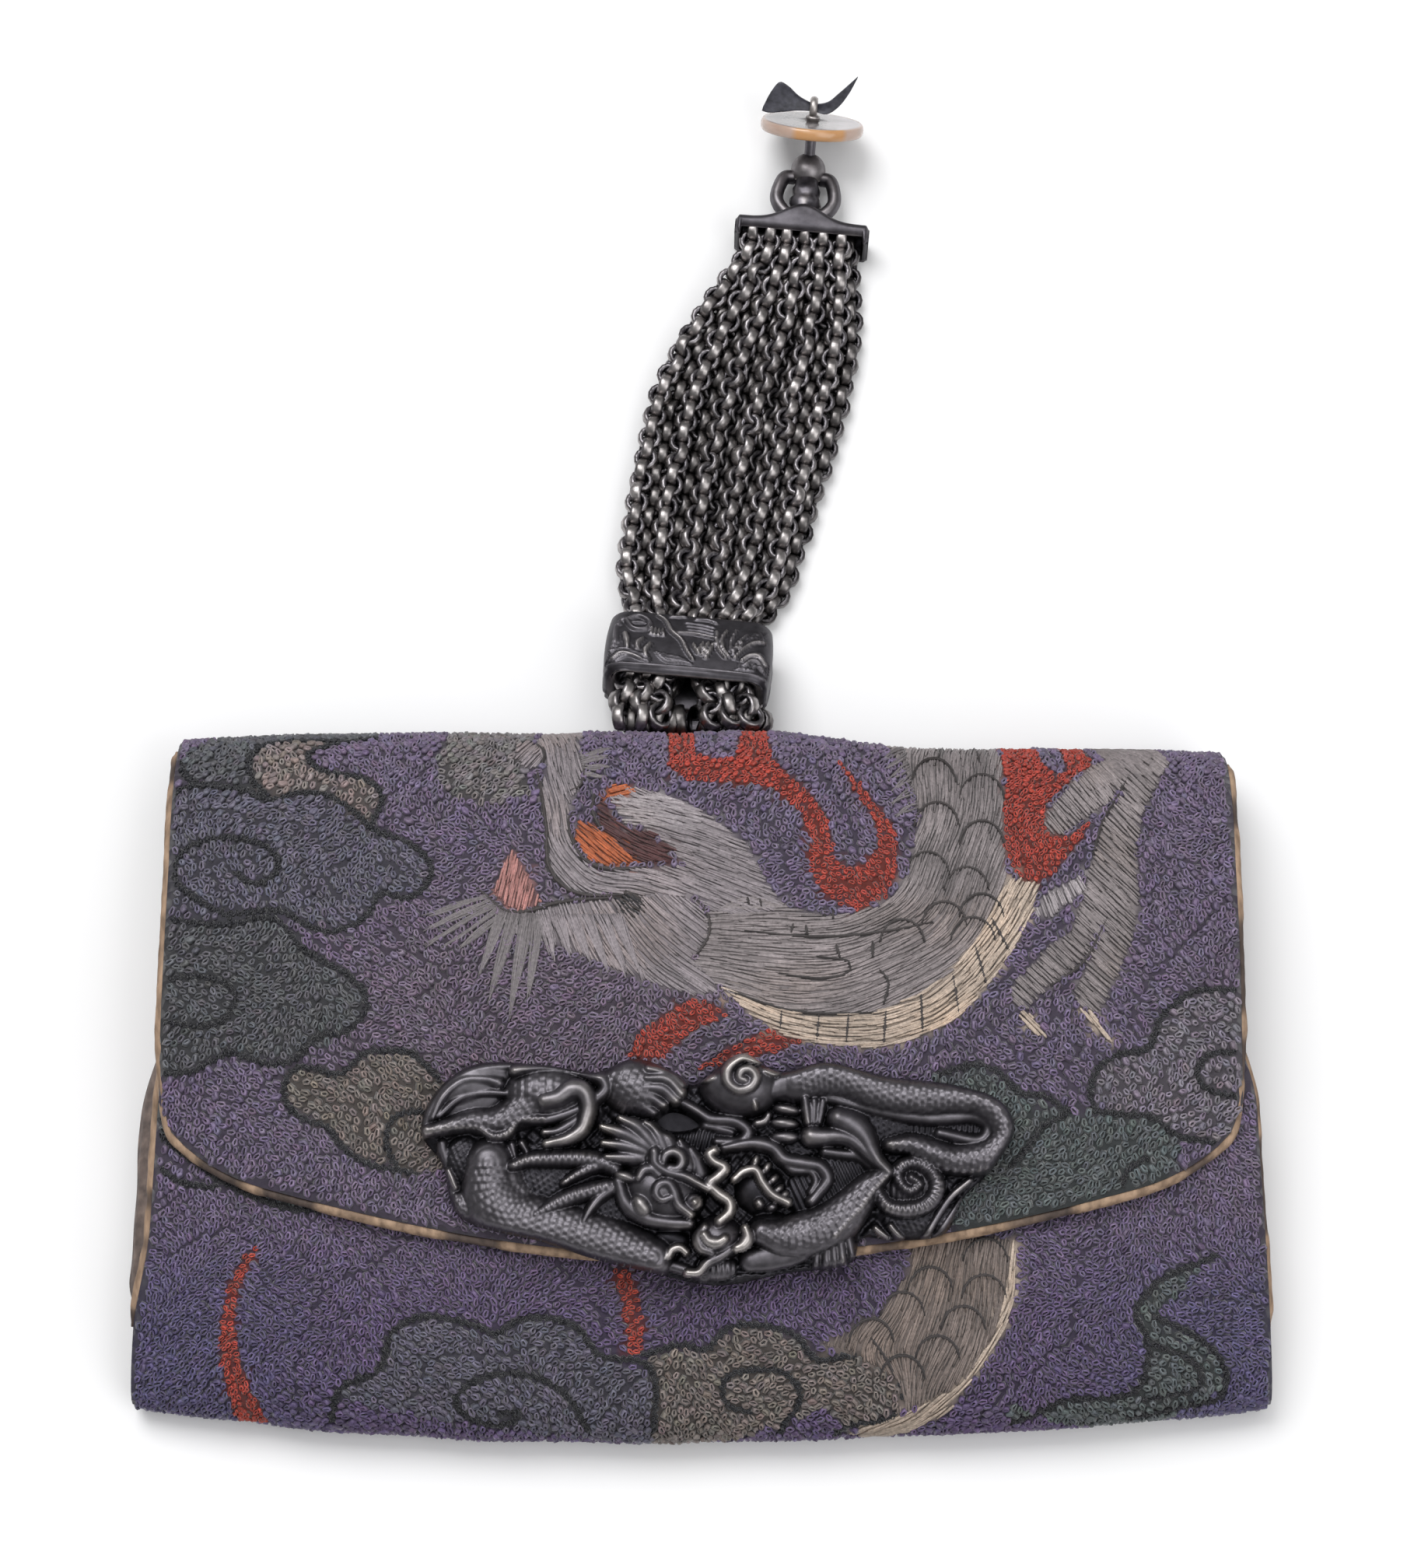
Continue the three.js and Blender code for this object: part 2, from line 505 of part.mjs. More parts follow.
function chainAnchor(side) {
  const x = anchorX(side);
  const bar = roundBar(ANCHOR.radius, 2 * ANCHOR.halfLength);
  bar.rotateZ(Math.PI / 2);
  bar.translate(x, ANCHOR.y, ANCHOR.z);
  const headEnd = ANCHOR_POST.tip + ANCHOR_POST.head;
  const post = postAlongY(ANCHOR_POST.radius, ANCHOR_POST.tip + ANCHOR_POST.head / 2, ANCHOR.y, x, ANCHOR.z);
  const head = postAlongY(ANCHOR_POST.headRadius, ANCHOR_POST.tip, headEnd, x, ANCHOR.z);
  return geometryOf(join([bar, post, head]));
}

// A rounded rectangle with the same number of points whatever its size
function roundedRectangle(width, depth, corner) {
  const points = [];
  const centres = [[1, 1], [-1, 1], [-1, -1], [1, -1]];
  centres.forEach(([sx, sz], quarter) => {
    for (let k = 0; k <= SLIDER.cornerSteps; k += 1) {
      const angle = ((quarter + k / SLIDER.cornerSteps) * Math.PI) / 2;
      points.push([
        sx * (width / 2 - corner) + corner * Math.cos(angle),
        sz * (depth / 2 - corner) + corner * Math.sin(angle),
      ]);
    }
  });
  return points;
}

// Slider: a barrel-shaped sleeve round all the strands
function chainSlider() {
  const sleeve = (size) => {
    const rings = [];
    for (let k = 0; k <= SLIDER.lengthSteps; k += 1) {
      const along = (2 * k) / SLIDER.lengthSteps - 1;
      const y = (along * SLIDER.length) / 2;
      const ring = size(along).map(([x, z]) => [x, y, z]);
      rings.push([...ring, ring[0]]);
    }
    return rings;
  };
  const outer = sleeve((along) => {
    const pinch = SLIDER.pinch * along ** 2;
    return roundedRectangle(SLIDER.width - pinch, SLIDER.depth - pinch, SLIDER.corner);
  });
  const inner = sleeve(() => roundedRectangle(SLIDER.holeWidth, SLIDER.holeDepth, SLIDER.holeCorner));
  const sections = [...outer, ...inner.reverse(), outer[0]];
  const across = outer[0].length;
  const triangles = [];
  for (let r = 0; r < sections.length - 1; r += 1) {
    for (let c = 0; c < across - 1; c += 1) {
      const a = r * across + c;
      triangles.push([a, a + 1, a + across + 1], [a, a + across + 1, a + across]);
    }
  }
  return fromPoints(sections.flat(), triangles);
}

// End bar, scroll arms and dome, soldered into one
function endBar() {
  const roof = new THREE.Shape([
    new THREE.Vector2(-BAR.halfWidth, 0),
    new THREE.Vector2(BAR.halfWidth, 0),
    new THREE.Vector2(BAR.halfWidth, BAR.endLength),
    new THREE.Vector2(BAR.midHalf, BAR.midLength),
    new THREE.Vector2(-BAR.midHalf, BAR.midLength),
    new THREE.Vector2(-BAR.halfWidth, BAR.endLength),
  ]);
  const bar = new THREE.ExtrudeGeometry(roof, { depth: BAR.height, bevelEnabled: false });
  const slot = new THREE.BoxGeometry(2 * SLOT.halfWidth, 2 * SLOT.depth, SLOT.high - SLOT.low);
  slot.translate(0, 0, (SLOT.high + SLOT.low) / 2);
  const arms = [-1, 1].map((side) => {
    const path = ARM_PATH.map(([x, y, z]) => new THREE.Vector3(side * x, y, z));
    return tube(new THREE.CatmullRomCurve3(path), ARM.radius, ARM.sides, ARM.steps);
  });
  const from = Math.asin(DOME.foot / DOME.radius);
  const to = Math.acos(DOME.tip / DOME.radius);
  const section = [new THREE.Vector2(0, DOME.foot)];
  for (let k = 0; k <= DOME.rings; k += 1) {
    const angle = THREE.MathUtils.lerp(from, to, k / DOME.rings);
    section.push(new THREE.Vector2(Math.cos(angle), Math.sin(angle)).multiplyScalar(DOME.radius));
  }
  section.push(new THREE.Vector2(0, DOME.radius * Math.sin(to)));
  const dome = new THREE.LatheGeometry(section, DOME.sides);
  const bore = roundBar(DOME.bore, 5 * DOME.radius);
  for (const turned of [dome, bore]) {
    turned.rotateX(TOGGLE_TILT);
    turned.translate(0, DOME.y, DOME.z);
  }
  return geometryOf(join([bar, ...arms, dome]).subtract(solid(slot)).subtract(solid(bore)));
}

// Toggle: a post that turns in the dome, a disc on it, and a strip through its eye

function swivelPost() {
  const shank = new THREE.LatheGeometry([
    new THREE.Vector2(0, POST.tail),
    new THREE.Vector2(POST.tailRadius, POST.tail),
    new THREE.Vector2(POST.headRadius, POST.tail + POST.head / 2),
    new THREE.Vector2(POST.headRadius, POST.tail + POST.head),
    new THREE.Vector2(POST.radius, POST.tail + POST.head),
    new THREE.Vector2(POST.radius, POST.top),
    new THREE.Vector2(0, POST.top),
  ], ROUND_SIDES);
  const eye = new THREE.TorusGeometry(EYE.ring, EYE.wire, EYE.wireSides, EYE.sides);
  eye.rotateY(Math.PI / 2);
  eye.translate(0, EYE.at, 0);
  return geometryOf(join([shank, eye]));
}

function toggleDisc() {
  const low = DISC.at - DISC.thickness / 2;
  const high = DISC.at + DISC.thickness / 2;
  const section = [
    [DISC.hole, low], [DISC.radius - DISC.edge, low], [DISC.radius, low + DISC.edge],
    [DISC.radius, high - DISC.edge], [DISC.radius - DISC.edge, high], [DISC.hole, high], [DISC.hole, low],
  ];
  return closed(new THREE.LatheGeometry(section.map((p) => new THREE.Vector2(...p)), DISC.sides));
}

function retainingStrip() {
  const face = (side) => STRIP.map((row) => [-1, 1].map((edge) => [
    row.x, row.at + (edge * row.width) / 2, row.z + (side * STRIP_THICKNESS) / 2,
  ]));
  return wall(face(1), face(-1));
}

// Assembly

const pouch = new THREE.Group();

function add(parent, name, geometry, material) {
  const mesh = new THREE.Mesh(geometry, material);
  mesh.name = name;
  parent.add(mesh);
  return mesh;
}

add(pouch, 'cloth_wrap', clothWrap(), finish(EMBROIDERY, 0.9, 0));
add(pouch, 'gusset_left', gusset(-1, GUSSET_BULGE.left), finish(GUSSET_LEATHER, 0.75, 0));
add(pouch, 'gusset_right', gusset(1, GUSSET_BULGE.right), finish(GUSSET_LEATHER, 0.75, 0));
add(pouch, 'flap_binding', closed(flapBinding()), finish(BINDING_TAN, 0.8, 0));
add(pouch, 'front_binding_left', closed(frontBinding(-1)), finish(BINDING_TAN, 0.8, 0));
add(pouch, 'front_binding_right', closed(frontBinding(1)), finish(BINDING_TAN, 0.8, 0));
add(pouch, 'front_clasp', frontClasp(), finish(DARK_SILVER, 0.35, 1));
add(pouch, 'chain_anchor_left', chainAnchor(-1), finish(DARK_SILVER, 0.4, 1));
add(pouch, 'chain_anchor_right', chainAnchor(1), finish(DARK_SILVER, 0.4, 1));

for (let number = 0; number < STRANDS; number += 1) {
  const name = `chain_strand_${String(number + 1).padStart(2, '0')}`;
  const strand = tube(strandCurve(number), STRAND.radius, STRAND.sides, STRAND.steps);
  add(pouch, name, closed(strand), finish(DARK_SILVER, 0.35, 1));
}

const slider = new THREE.Group();
slider.position.set(SLIDER.x, SLIDER.y, SLIDER.z);
slider.rotation.set(-SLIDER.tilt, 0, -STRAP_YAW, 'ZXY');
add(slider, 'chain_slider', chainSlider(), finish(DARK_SILVER, 0.4, 1));
pouch.add(slider);

const end = new THREE.Group();
end.position.set(BAR.x, BAR.y, 0);
end.rotation.z = -STRAP_YAW;
add(end, 'end_bar', endBar(), finish(DARK_SILVER, 0.4, 1));
pouch.add(end);

const toggle = new THREE.Group();
toggle.position.set(0, DOME.y, DOME.z);
toggle.rotation.x = TOGGLE_TILT;
add(toggle, 'swivel_post', swivelPost(), finish(DARK_SILVER, 0.35, 1));
add(toggle, 'toggle_disc', toggleDisc(), finish(PALE_SHELL, 0.3, 0));
add(toggle, 'retaining_strip', retainingStrip(), finish(BLACK_LEATHER, 0.6, 0));
end.add(toggle);

export default pouch;
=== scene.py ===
"""Dresses the tobacco pouch: stitched cloth, cast silver clasp, chain strap and toggle, in millimetres."""
import math

import bmesh
import bpy
import numpy as np
from mathutils import Matrix, Vector
from mathutils.geometry import delaunay_2d_cdt


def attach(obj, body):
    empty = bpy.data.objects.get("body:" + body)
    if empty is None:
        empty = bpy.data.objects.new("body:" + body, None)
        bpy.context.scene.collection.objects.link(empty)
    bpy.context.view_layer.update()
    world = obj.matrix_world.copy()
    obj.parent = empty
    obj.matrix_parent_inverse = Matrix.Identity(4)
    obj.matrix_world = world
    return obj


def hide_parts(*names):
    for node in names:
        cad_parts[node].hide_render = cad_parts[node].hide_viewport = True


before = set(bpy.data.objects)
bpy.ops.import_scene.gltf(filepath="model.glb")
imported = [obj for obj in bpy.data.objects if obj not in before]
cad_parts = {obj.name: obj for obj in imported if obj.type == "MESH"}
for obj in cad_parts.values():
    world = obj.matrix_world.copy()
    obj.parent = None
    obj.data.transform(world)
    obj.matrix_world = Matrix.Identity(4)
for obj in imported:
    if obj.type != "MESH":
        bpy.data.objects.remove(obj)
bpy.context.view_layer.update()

MM = 0.001
rng = np.random.default_rng(11)

# Camera: where the photograph was taken from, in millimetres, and its focal length in pixels
IMAGE_WIDTH = 1827
IMAGE_HEIGHT = 2016
FOCAL_PIXELS = 5383
SENSOR_HEIGHT = 36.0
CAMERA_TARGET = np.array([1.0, 34.0, 10.0])
CAMERA_DISTANCE = 480.0
CAMERA_ELEVATION = math.radians(74)
CAMERA_FORWARD = np.array([0, math.cos(CAMERA_ELEVATION), -math.sin(CAMERA_ELEVATION)])
CAMERA_RIGHT = np.array([1.0, 0, 0])
CAMERA_UP = np.array([0, math.sin(CAMERA_ELEVATION), math.cos(CAMERA_ELEVATION)])
CAMERA_EYE = CAMERA_TARGET - CAMERA_DISTANCE * CAMERA_FORWARD

# The folded cloth: the same sizes as the solid
CLOTH = 1.8
FLAP_HALF_WIDTH = 60.4
TOP_HALF_WIDTH = 60.2
BOTTOM_HALF_WIDTH = 63.5
HALF_HEIGHT = 40.0
CROWN_FLAT = 0.56
SIDE_DROP = 0.25
BOW_DEPTH = 3.9
BOW_BELOW = -10.0
SAG_DEPTH = 1.9
SAG_FROM = 6.0
SAG_OVER = 20.0
SAG_ABOVE = 24.0
MOUTH = (24.0, 15.6)
# Each stretch of the side view: its name, where it ends, and the handles of its curve
STRETCHES = [
    ("front_upper", (2, 16.6), [(17, 17.1), (9, 17.65)]),
    ("front_seat", (-22, 13.0), []),
    ("front_lower", (-40, 4.2), [(-31, 11.65), (-40, 8.8)]),
    ("bottom_fold", (-33, 0), [(-40, 1.4), (-37, 0)]),
    ("back", (30, 0), []),
    ("fold_back", (40, 8.4), [(36.5, 0), (40, 3.6)]),
    ("fold_front", (24, 18.0), [(40, 14.2), (33, 17.0)]),
    ("flap_upper", (2, 19.0), [(17, 18.9), (9, 20.05)]),
    ("flap_seat", (-21.5, 15.5), []),
]
FLAP_CREST = np.array([2.0, 19.0])
FLAP_FOOT = np.array([-21.5, 15.5])
EDGE_RISE = 8.1
EDGE_AT = 50.0
EDGE_POWER = 1.9
EDGE_CORNER_FROM = 48.0
EDGE_CORNER_RISE = 6.0
SHEET_STEP = 1.7
FRONT_TUCK = 1.8
LEFT_TUCK = 1.15
# Where smooth steps start, and over how many millimetres they rise
UNDER_FLAP = (-4.0, 10.0)
LEFT_TUCK_FOOT = (-31.0, 14.0)
LEFT_TUCK_ASIDE = (42.0, 20.0)
CLEAR_OF_CLASP = (30.0, 16.0)
# Swellings of the cloth: height, width and seed
PUCKERS = ((0.28, 26, 1), (0.14, 9, 2))
CLASP_CENTRE = np.array([1.6, -12.3])


# Small helpers

def smooth(t):
    t = np.clip(t, 0, 1)
    return t * t * (3 - 2 * t)


def rise(value, start, over):
    """A smooth step from 0 at the start to 1."""
    return smooth((value - start) / over)


def unit(v):
    return v / np.maximum(np.linalg.norm(v, axis=-1, keepdims=True), 1e-9)


def srgb(r, g, b):
    """A linear colour from 8-bit display values."""
    c = np.array([r, g, b]) / 255
    return np.where(c <= 0.04045, c / 12.92, ((c + 0.055) / 1.055) ** 2.4)


def resample(points, step):
    length = np.r_[0, np.cumsum(np.linalg.norm(np.diff(points, axis=0), axis=1))]
    count = max(2, int(round(length[-1] / step)) + 1)
    places = np.linspace(0, length[-1], count)
    return np.stack([np.interp(places, length, points[:, k]) for k in range(points.shape[1])], axis=1)


def spline(points, step, closed=False):
    """Points about a step apart on a centripetal Catmull-Rom curve."""
    p = np.asarray(points, float)
    if closed:
        ring = np.vstack([p[-1], p, p[0], p[1]])
    else:
        ring = np.vstack([2 * p[0] - p[1], p, 2 * p[-1] - p[-2]])
    t = np.linspace(0, 1, 24, endpoint=False)[:, None]
    parts = []
    for a, b, c, d in zip(ring, ring[1:], ring[2:], ring[3:]):
        k0, k1, k2 = (max(np.linalg.norm(v), 1e-6) ** 0.5 for v in (b - a, c - b, d - c))
        m1 = ((b - a) / k0 - (c - a) / (k0 + k1) + (c - b) / k1) * k1
        m2 = ((c - b) / k1 - (d - b) / (k1 + k2) + (d - c) / k2) * k1
        parts.append(b * (2 * t**3 - 3 * t**2 + 1) + m1 * (t**3 - 2 * t**2 + t)
                     + c * (3 * t**2 - 2 * t**3) + m2 * (t**3 - t**2))
    parts.append(p[:1] if closed else p[-1:])
    return resample(np.vstack(parts), step)


def inside(points, polygon):
    """Which points lie inside a closed polygon."""
    x, y = points[:, 0], points[:, 1]
    result = np.zeros(len(points), bool)
    for (x0, y0), (x1, y1) in zip(polygon, np.roll(polygon, -1, axis=0)):
        crosses = (y0 > y) != (y1 > y)
        result ^= crosses & (x < (x1 - x0) * (y - y0) / (y1 - y0 + 1e-12) + x0)
    return result


def nearest_distance(points, targets):
    """Distance from each point to the nearest target."""
    result = np.empty(len(points), np.float32)
    targets = targets.astype(np.float32)
    for start in range(0, len(points), 4000):
        part = points[start:start + 4000].astype(np.float32)
        gap = part[:, None, :] - targets[None, :, :]
        result[start:start + 4000] = np.sqrt((gap**2).sum(axis=2).min(axis=1))
    return result


def wobble(a, b, scale, seed):
    """A smooth field between -1 and 1 that varies over about one scale: four waves that run four ways."""
    total = 0
    for k in range(4):
        angle = seed * 1.7 + k * 2.4
        phase = seed * 3.1 + k * 5.3
        along = a * math.cos(angle) + b * math.sin(angle)
        total = total + np.sin(along * (0.8 + 0.35 * k) * 2 / scale + phase)
    return total / 2.6


def make_object(name, points, faces, material, colours=None, smooth_faces=True):
    """A mesh object from points in millimetres, with one colour for each point if given."""
    mesh = bpy.data.meshes.new(name)
    points = np.asarray(points, np.float64).reshape(-1, 3) * MM
    faces = np.asarray(faces, np.int32)
    mesh.vertices.add(len(points))
    mesh.vertices.foreach_set("co", points.ravel())
    sides = faces.shape[1]
    mesh.loops.add(faces.size)
    mesh.loops.foreach_set("vertex_index", faces.ravel())
    mesh.polygons.add(len(faces))
    mesh.polygons.foreach_set("loop_start", np.arange(0, faces.size, sides, dtype=np.int32))
    if colours is not None:
        layer = mesh.color_attributes.new("tint", "FLOAT_COLOR", "POINT")
        rgba = np.concatenate([colours, np.ones((len(colours), 1))], axis=1)
        layer.data.foreach_set("color", rgba.astype(np.float32).ravel())
    mesh.update(calc_edges=True)
    mesh.validate()
    if smooth_faces:
        mesh.shade_smooth()
    mesh.materials.append(material)
    piece = bpy.data.objects.new(name, mesh)
    bpy.context.collection.objects.link(piece)
    return piece


def grid_faces(rows, columns, wrap_rows=False, wrap_columns=False):
    """Quads of a grid of points, row by row."""
    r = np.arange(rows if wrap_rows else rows - 1)[:, None]
    c = np.arange(columns if wrap_columns else columns - 1)[None, :]
    r2 = (r + 1) % rows
    c2 = (c + 1) % columns
    quad = [r * columns + c, r * columns + c2, r2 * columns + c2, r2 * columns + c]
    return np.stack([np.broadcast_to(q, (r.size, c.size)) for q in quad], axis=-1).reshape(-1, 4)


def repeat_faces(faces, copies, stride):
    """The same faces for each of many copies of a small mesh."""
    return (faces[None] + (np.arange(copies) * stride)[:, None, None]).reshape(-1, faces.shape[1])


def dress(piece, body, node=None):
    """Has a piece ride on a body, and hides the solid that it replaces if one is named."""
    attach(piece, body)
    if node:
        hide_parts(node)


def close_shell(piece, fill_ends):
    """Turns a piece's faces outward, and closes its open ends if asked."""
    shell = bmesh.new()
    shell.from_mesh(piece.data)
    if fill_ends:
        bmesh.ops.holes_fill(shell, edges=[e for e in shell.edges if e.is_boundary], sides=0)
    bmesh.ops.recalc_face_normals(shell, faces=shell.faces)
    shell.to_mesh(piece.data)
    shell.free()


def ellipse(half_width, half_height, count):
    angles = np.linspace(0, 2 * math.pi, count, endpoint=False)
    return np.array([(half_width * math.cos(a), half_height * math.sin(a)) for a in angles])


def even_points(curve, count):
    """A number of points spread evenly over a curve's own points."""
    place = np.linspace(0, len(curve) - 1, count)
    columns = [np.interp(place, np.arange(len(curve)), column) for column in curve.T]
    return np.stack(columns, axis=1)


def skin_faces(rows, columns):
    """Faces round a sheet whose rows hold its outer points and then, backwards, its inner ones."""
    width = 2 * columns
    faces = [grid_faces(rows, width, wrap_columns=True)]
    c = np.arange(columns - 1)
    for row, turn in ((0, 1), (rows - 1, -1)):
        strip = np.stack([c, width - 1 - c, width - 2 - c, c + 1], axis=1) + row * width
        faces.append(strip[:, ::turn])
    return np.vstack(faces)


# Materials

FIBRE_SHADE = [(0.3, (0.72,) * 3), (0.7, (1.25,) * 3)]
# Strength of a bump, and its height in metres
FIBRE_BUMP = (0.5, 0.00012)
METAL_BUMP = (0.25, 0.00008)
SHEEN_ROUGHNESS = 0.4


def new_material(name, metallic=0.0, roughness=0.6, sheen=0.0, coat=0.0, subsurface=0.0):
    material = bpy.data.materials.new(name)
    material.use_nodes = True
    shader = material.node_tree.nodes["Principled BSDF"]
    shader.inputs["Metallic"].default_value = metallic
    shader.inputs["Roughness"].default_value = roughness
    shader.inputs["Sheen Weight"].default_value = sheen
    shader.inputs["Coat Weight"].default_value = coat
    shader.inputs["Subsurface Weight"].default_value = subsurface
    return material, material.node_tree.nodes, material.node_tree.links, shader


def noise_node(nodes, links, scale, detail=3.0, stretch=(1, 1, 1)):
    """Noise in object space, whose scale is in features for each metre."""
    place = nodes.new("ShaderNodeTexCoord")
    mapping = nodes.new("ShaderNodeMapping")
    mapping.inputs["Scale"].default_value = stretch
    noise = nodes.new("ShaderNodeTexNoise")
    noise.inputs["Scale"].default_value = scale
    noise.inputs["Detail"].default_value = detail
    links.new(place.outputs["Object"], mapping.inputs["Vector"])
    links.new(mapping.outputs["Vector"], noise.inputs["Vector"])
    return noise.outputs["Fac"]


def ramp_node(nodes, links, value, stops):
    """A colour ramp from (place, linear colour) stops."""
    ramp = nodes.new("ShaderNodeValToRGB")
    elements = ramp.color_ramp.elements
    while len(elements) < len(stops):
        elements.new(0.5)
    for element, (place, colour) in zip(elements, stops):
        element.position = place
        element.color = (*colour, 1)
    links.new(value, ramp.inputs["Fac"])
    return ramp.outputs["Color"]


def multiply_node(nodes, links, a, b):
    mix = nodes.new("ShaderNodeMix")
    mix.data_type = "RGBA"
    mix.blend_type = "MULTIPLY"
    links.new(a, mix.inputs["A"])
    links.new(b, mix.inputs["B"])
    mix.inputs["Factor"].default_value = 1.0
    return mix.outputs["Result"]


def bump_node(nodes, links, shader, height, strength, distance):
    bump = nodes.new("ShaderNodeBump")
    bump.inputs["Strength"].default_value = strength
    bump.inputs["Distance"].default_value = distance
    links.new(height, bump.inputs["Height"])
    links.new(bump.outputs["Normal"], shader.inputs["Normal"])


def tint_output(nodes):
    tint = nodes.new("ShaderNodeVertexColor")
    tint.layer_name = "tint"
    return tint.outputs["Color"]


def grain_material(name, grain, detail, stops, bump=None, stretch=(1, 1, 1), tinted=False, **surface):
    """A material whose colour is noise through a ramp, over the mesh's own tint if asked."""
    material, nodes, links, shader = new_material(name, **surface)
    value = noise_node(nodes, links, grain, detail, stretch)
    colour = ramp_node(nodes, links, value, stops)
    if tinted:
        colour = multiply_node(nodes, links, tint_output(nodes), colour)
    links.new(colour, shader.inputs["Base Color"])
    if bump:
        bump_node(nodes, links, shader, value, *bump)
    return material, shader


def thread_material(name, roughness, sheen, grain):
    """Silk whose colour comes from the stitches, with a little fibre in it."""
    surface = {"roughness": roughness, "sheen": sheen}
    material, shader = grain_material(name, grain, 4.0, FIBRE_SHADE, FIBRE_BUMP, tinted=True, **surface)
    shader.inputs["Sheen Roughness"].default_value = SHEEN_ROUGHNESS
    return material


# The cloth's surface

def side_view():
    """Places along the side view: distance s, y, z and the stretch they belong to."""
    start = np.array(MOUTH)
    y, z, names = [start[0]], [start[1]], ["front_upper"]
    for name, end, handles in STRETCHES:
        end = np.array(end, float)
        t = np.linspace(0, 1, 60)[1:, None]
        if handles:
            a, b = (np.array(h, float) for h in handles)
            path = start * (1 - t)**3 + 3 * a * t * (1 - t)**2 + 3 * b * t**2 * (1 - t) + end * t**3
        else:
            path = start * (1 - t) + end * t
        y.extend(path[:, 0])
        z.extend(path[:, 1])
        names.extend([name] * len(t))
        start = end
    y, z = np.array(y), np.array(z)
    return np.r_[0, np.cumsum(np.hypot(np.diff(y), np.diff(z)))], y, z, np.array(names)


VIEW_S, VIEW_Y, VIEW_Z, VIEW_NAME = side_view()


def starts_at(name):
    return VIEW_S[np.argmax(VIEW_NAME == name) - 1] if name != "front_upper" else 0.0


S_FLAP = starts_at("flap_upper")
S_SEAT = starts_at("flap_seat")
S_END = VIEW_S[-1]
S_FRONT_LOWER = starts_at("front_lower")
S_BOTTOM_FOLD = starts_at("bottom_fold")
S_BACK = starts_at("back")
S_FOLD_BACK = starts_at("fold_back")
S_FOLD_FRONT = starts_at("fold_front")


def flap_edge_y(x):
    across = np.abs(x)
    corner = np.clip((across - EDGE_CORNER_FROM) / (FLAP_HALF_WIDTH - EDGE_CORNER_FROM), 0, 1)
    slope = EDGE_RISE * (across / EDGE_AT) ** EDGE_POWER
    return FLAP_FOOT[0] + slope + EDGE_CORNER_RISE * (1 - np.sqrt(1 - corner**2))


def body_half_width(y):
    return TOP_HALF_WIDTH + (BOTTOM_HALF_WIDTH - TOP_HALF_WIDTH) * (HALF_HEIGHT - y) / (2 * HALF_HEIGHT)


def front_tuck(y):
    """How much narrower the front panel is where the flap covers it."""
    return FRONT_TUCK * rise(y, *UNDER_FLAP)


def left_tuck(s, x, y):
    """How far the front panel's left edge stands in, so that the leather wall shows beside it."""
    below_flap = rise(y, *LEFT_TUCK_FOOT) * (1 - rise(y, *UNDER_FLAP))
    return np.where(s < S_BOTTOM_FOLD, LEFT_TUCK * rise(-x, *LEFT_TUCK_ASIDE) * below_flap, 0)


def half_width(s):
    y = np.interp(s, VIEW_S, VIEW_Y)
    body = body_half_width(y) - front_tuck(y) * (s < S_FRONT_LOWER)
    over = np.clip((s - S_FOLD_FRONT) / (S_FLAP - S_FOLD_FRONT), 0, 1)
    return body + (FLAP_HALF_WIDTH - body) * over


def pucker(s, x):
    """How far the cloth swells or sinks, apart from where the clasp sits and where the pouch lies."""
    clear = rise(np.abs(x - CLASP_CENTRE[0]), *CLEAR_OF_CLASP)
    front_seat = smooth(1 - np.abs(s - (S_FRONT_LOWER - 12)) / 26)
    seat = smooth((s - S_SEAT + 4) / 8) + front_seat
    back = smooth((s - S_BACK + 8) / 6) * smooth((S_FOLD_BACK + 8 - s) / 6)
    weight = (1 - np.clip(seat, 0, 1) * (1 - clear)) * (1 - back)
    return weight * sum(height * wobble(s, x, scale, seed) for height, scale, seed in PUCKERS)


def cloth_base(s, x):
    """The cloth's smooth outer surface at distance s along it and x across."""
    y = np.interp(s, VIEW_S, VIEW_Y)
    z = np.interp(s, VIEW_S, VIEW_Z)
    flap = s > S_FLAP
    u = x / half_width(s)
    outward = np.clip((np.abs(u) - CROWN_FLAT) / (1 - CROWN_FLAT), 0, None)
    z = z * (1 - SIDE_DROP * outward**2)
    low = np.clip((BOW_BELOW - y) / (HALF_HEIGHT + BOW_BELOW), 0, 1) ** 2
    high = np.clip((y - SAG_ABOVE) / (HALF_HEIGHT - SAG_ABOVE), 0, 1)
    bow = np.where(flap, 0, BOW_DEPTH * u**2 * low)
    sag = np.where(flap, 0, SAG_DEPTH * smooth((x - SAG_FROM) / SAG_OVER) * high)
    return np.stack([x + left_tuck(s, x, y), y + bow - sag, z], axis=-1)


def cloth_frame(s, x):
    """Point, outward normal, and directions along s and x of the cloth's outer surface."""
    s, x = np.broadcast_arrays(np.asarray(s, float), np.asarray(x, float))
    e = 0.05
    along = unit(cloth_base(s + e, x) - cloth_base(s - e, x))
    across = unit(cloth_base(s, x + e) - cloth_base(s, x - e))
    normal = unit(np.cross(along, across))
    point = cloth_base(s, x) + normal * pucker(s, x)[..., None]
    return point, normal, along, across


def lift(s, x, height):
    """A point at some height over the cloth."""
    point, normal, _, _ = cloth_frame(s, x)
    return point + normal * np.asarray(height)[..., None]


def flap_limit(x):
    """The s at which the flap ends, at each x."""
    slope = np.linalg.norm(FLAP_CREST - FLAP_FOOT) / (FLAP_CREST[0] - FLAP_FOOT[0])
    return S_SEAT + (FLAP_CREST[0] - flap_edge_y(x)) * slope


# From the photograph's pixels to places on the cloth

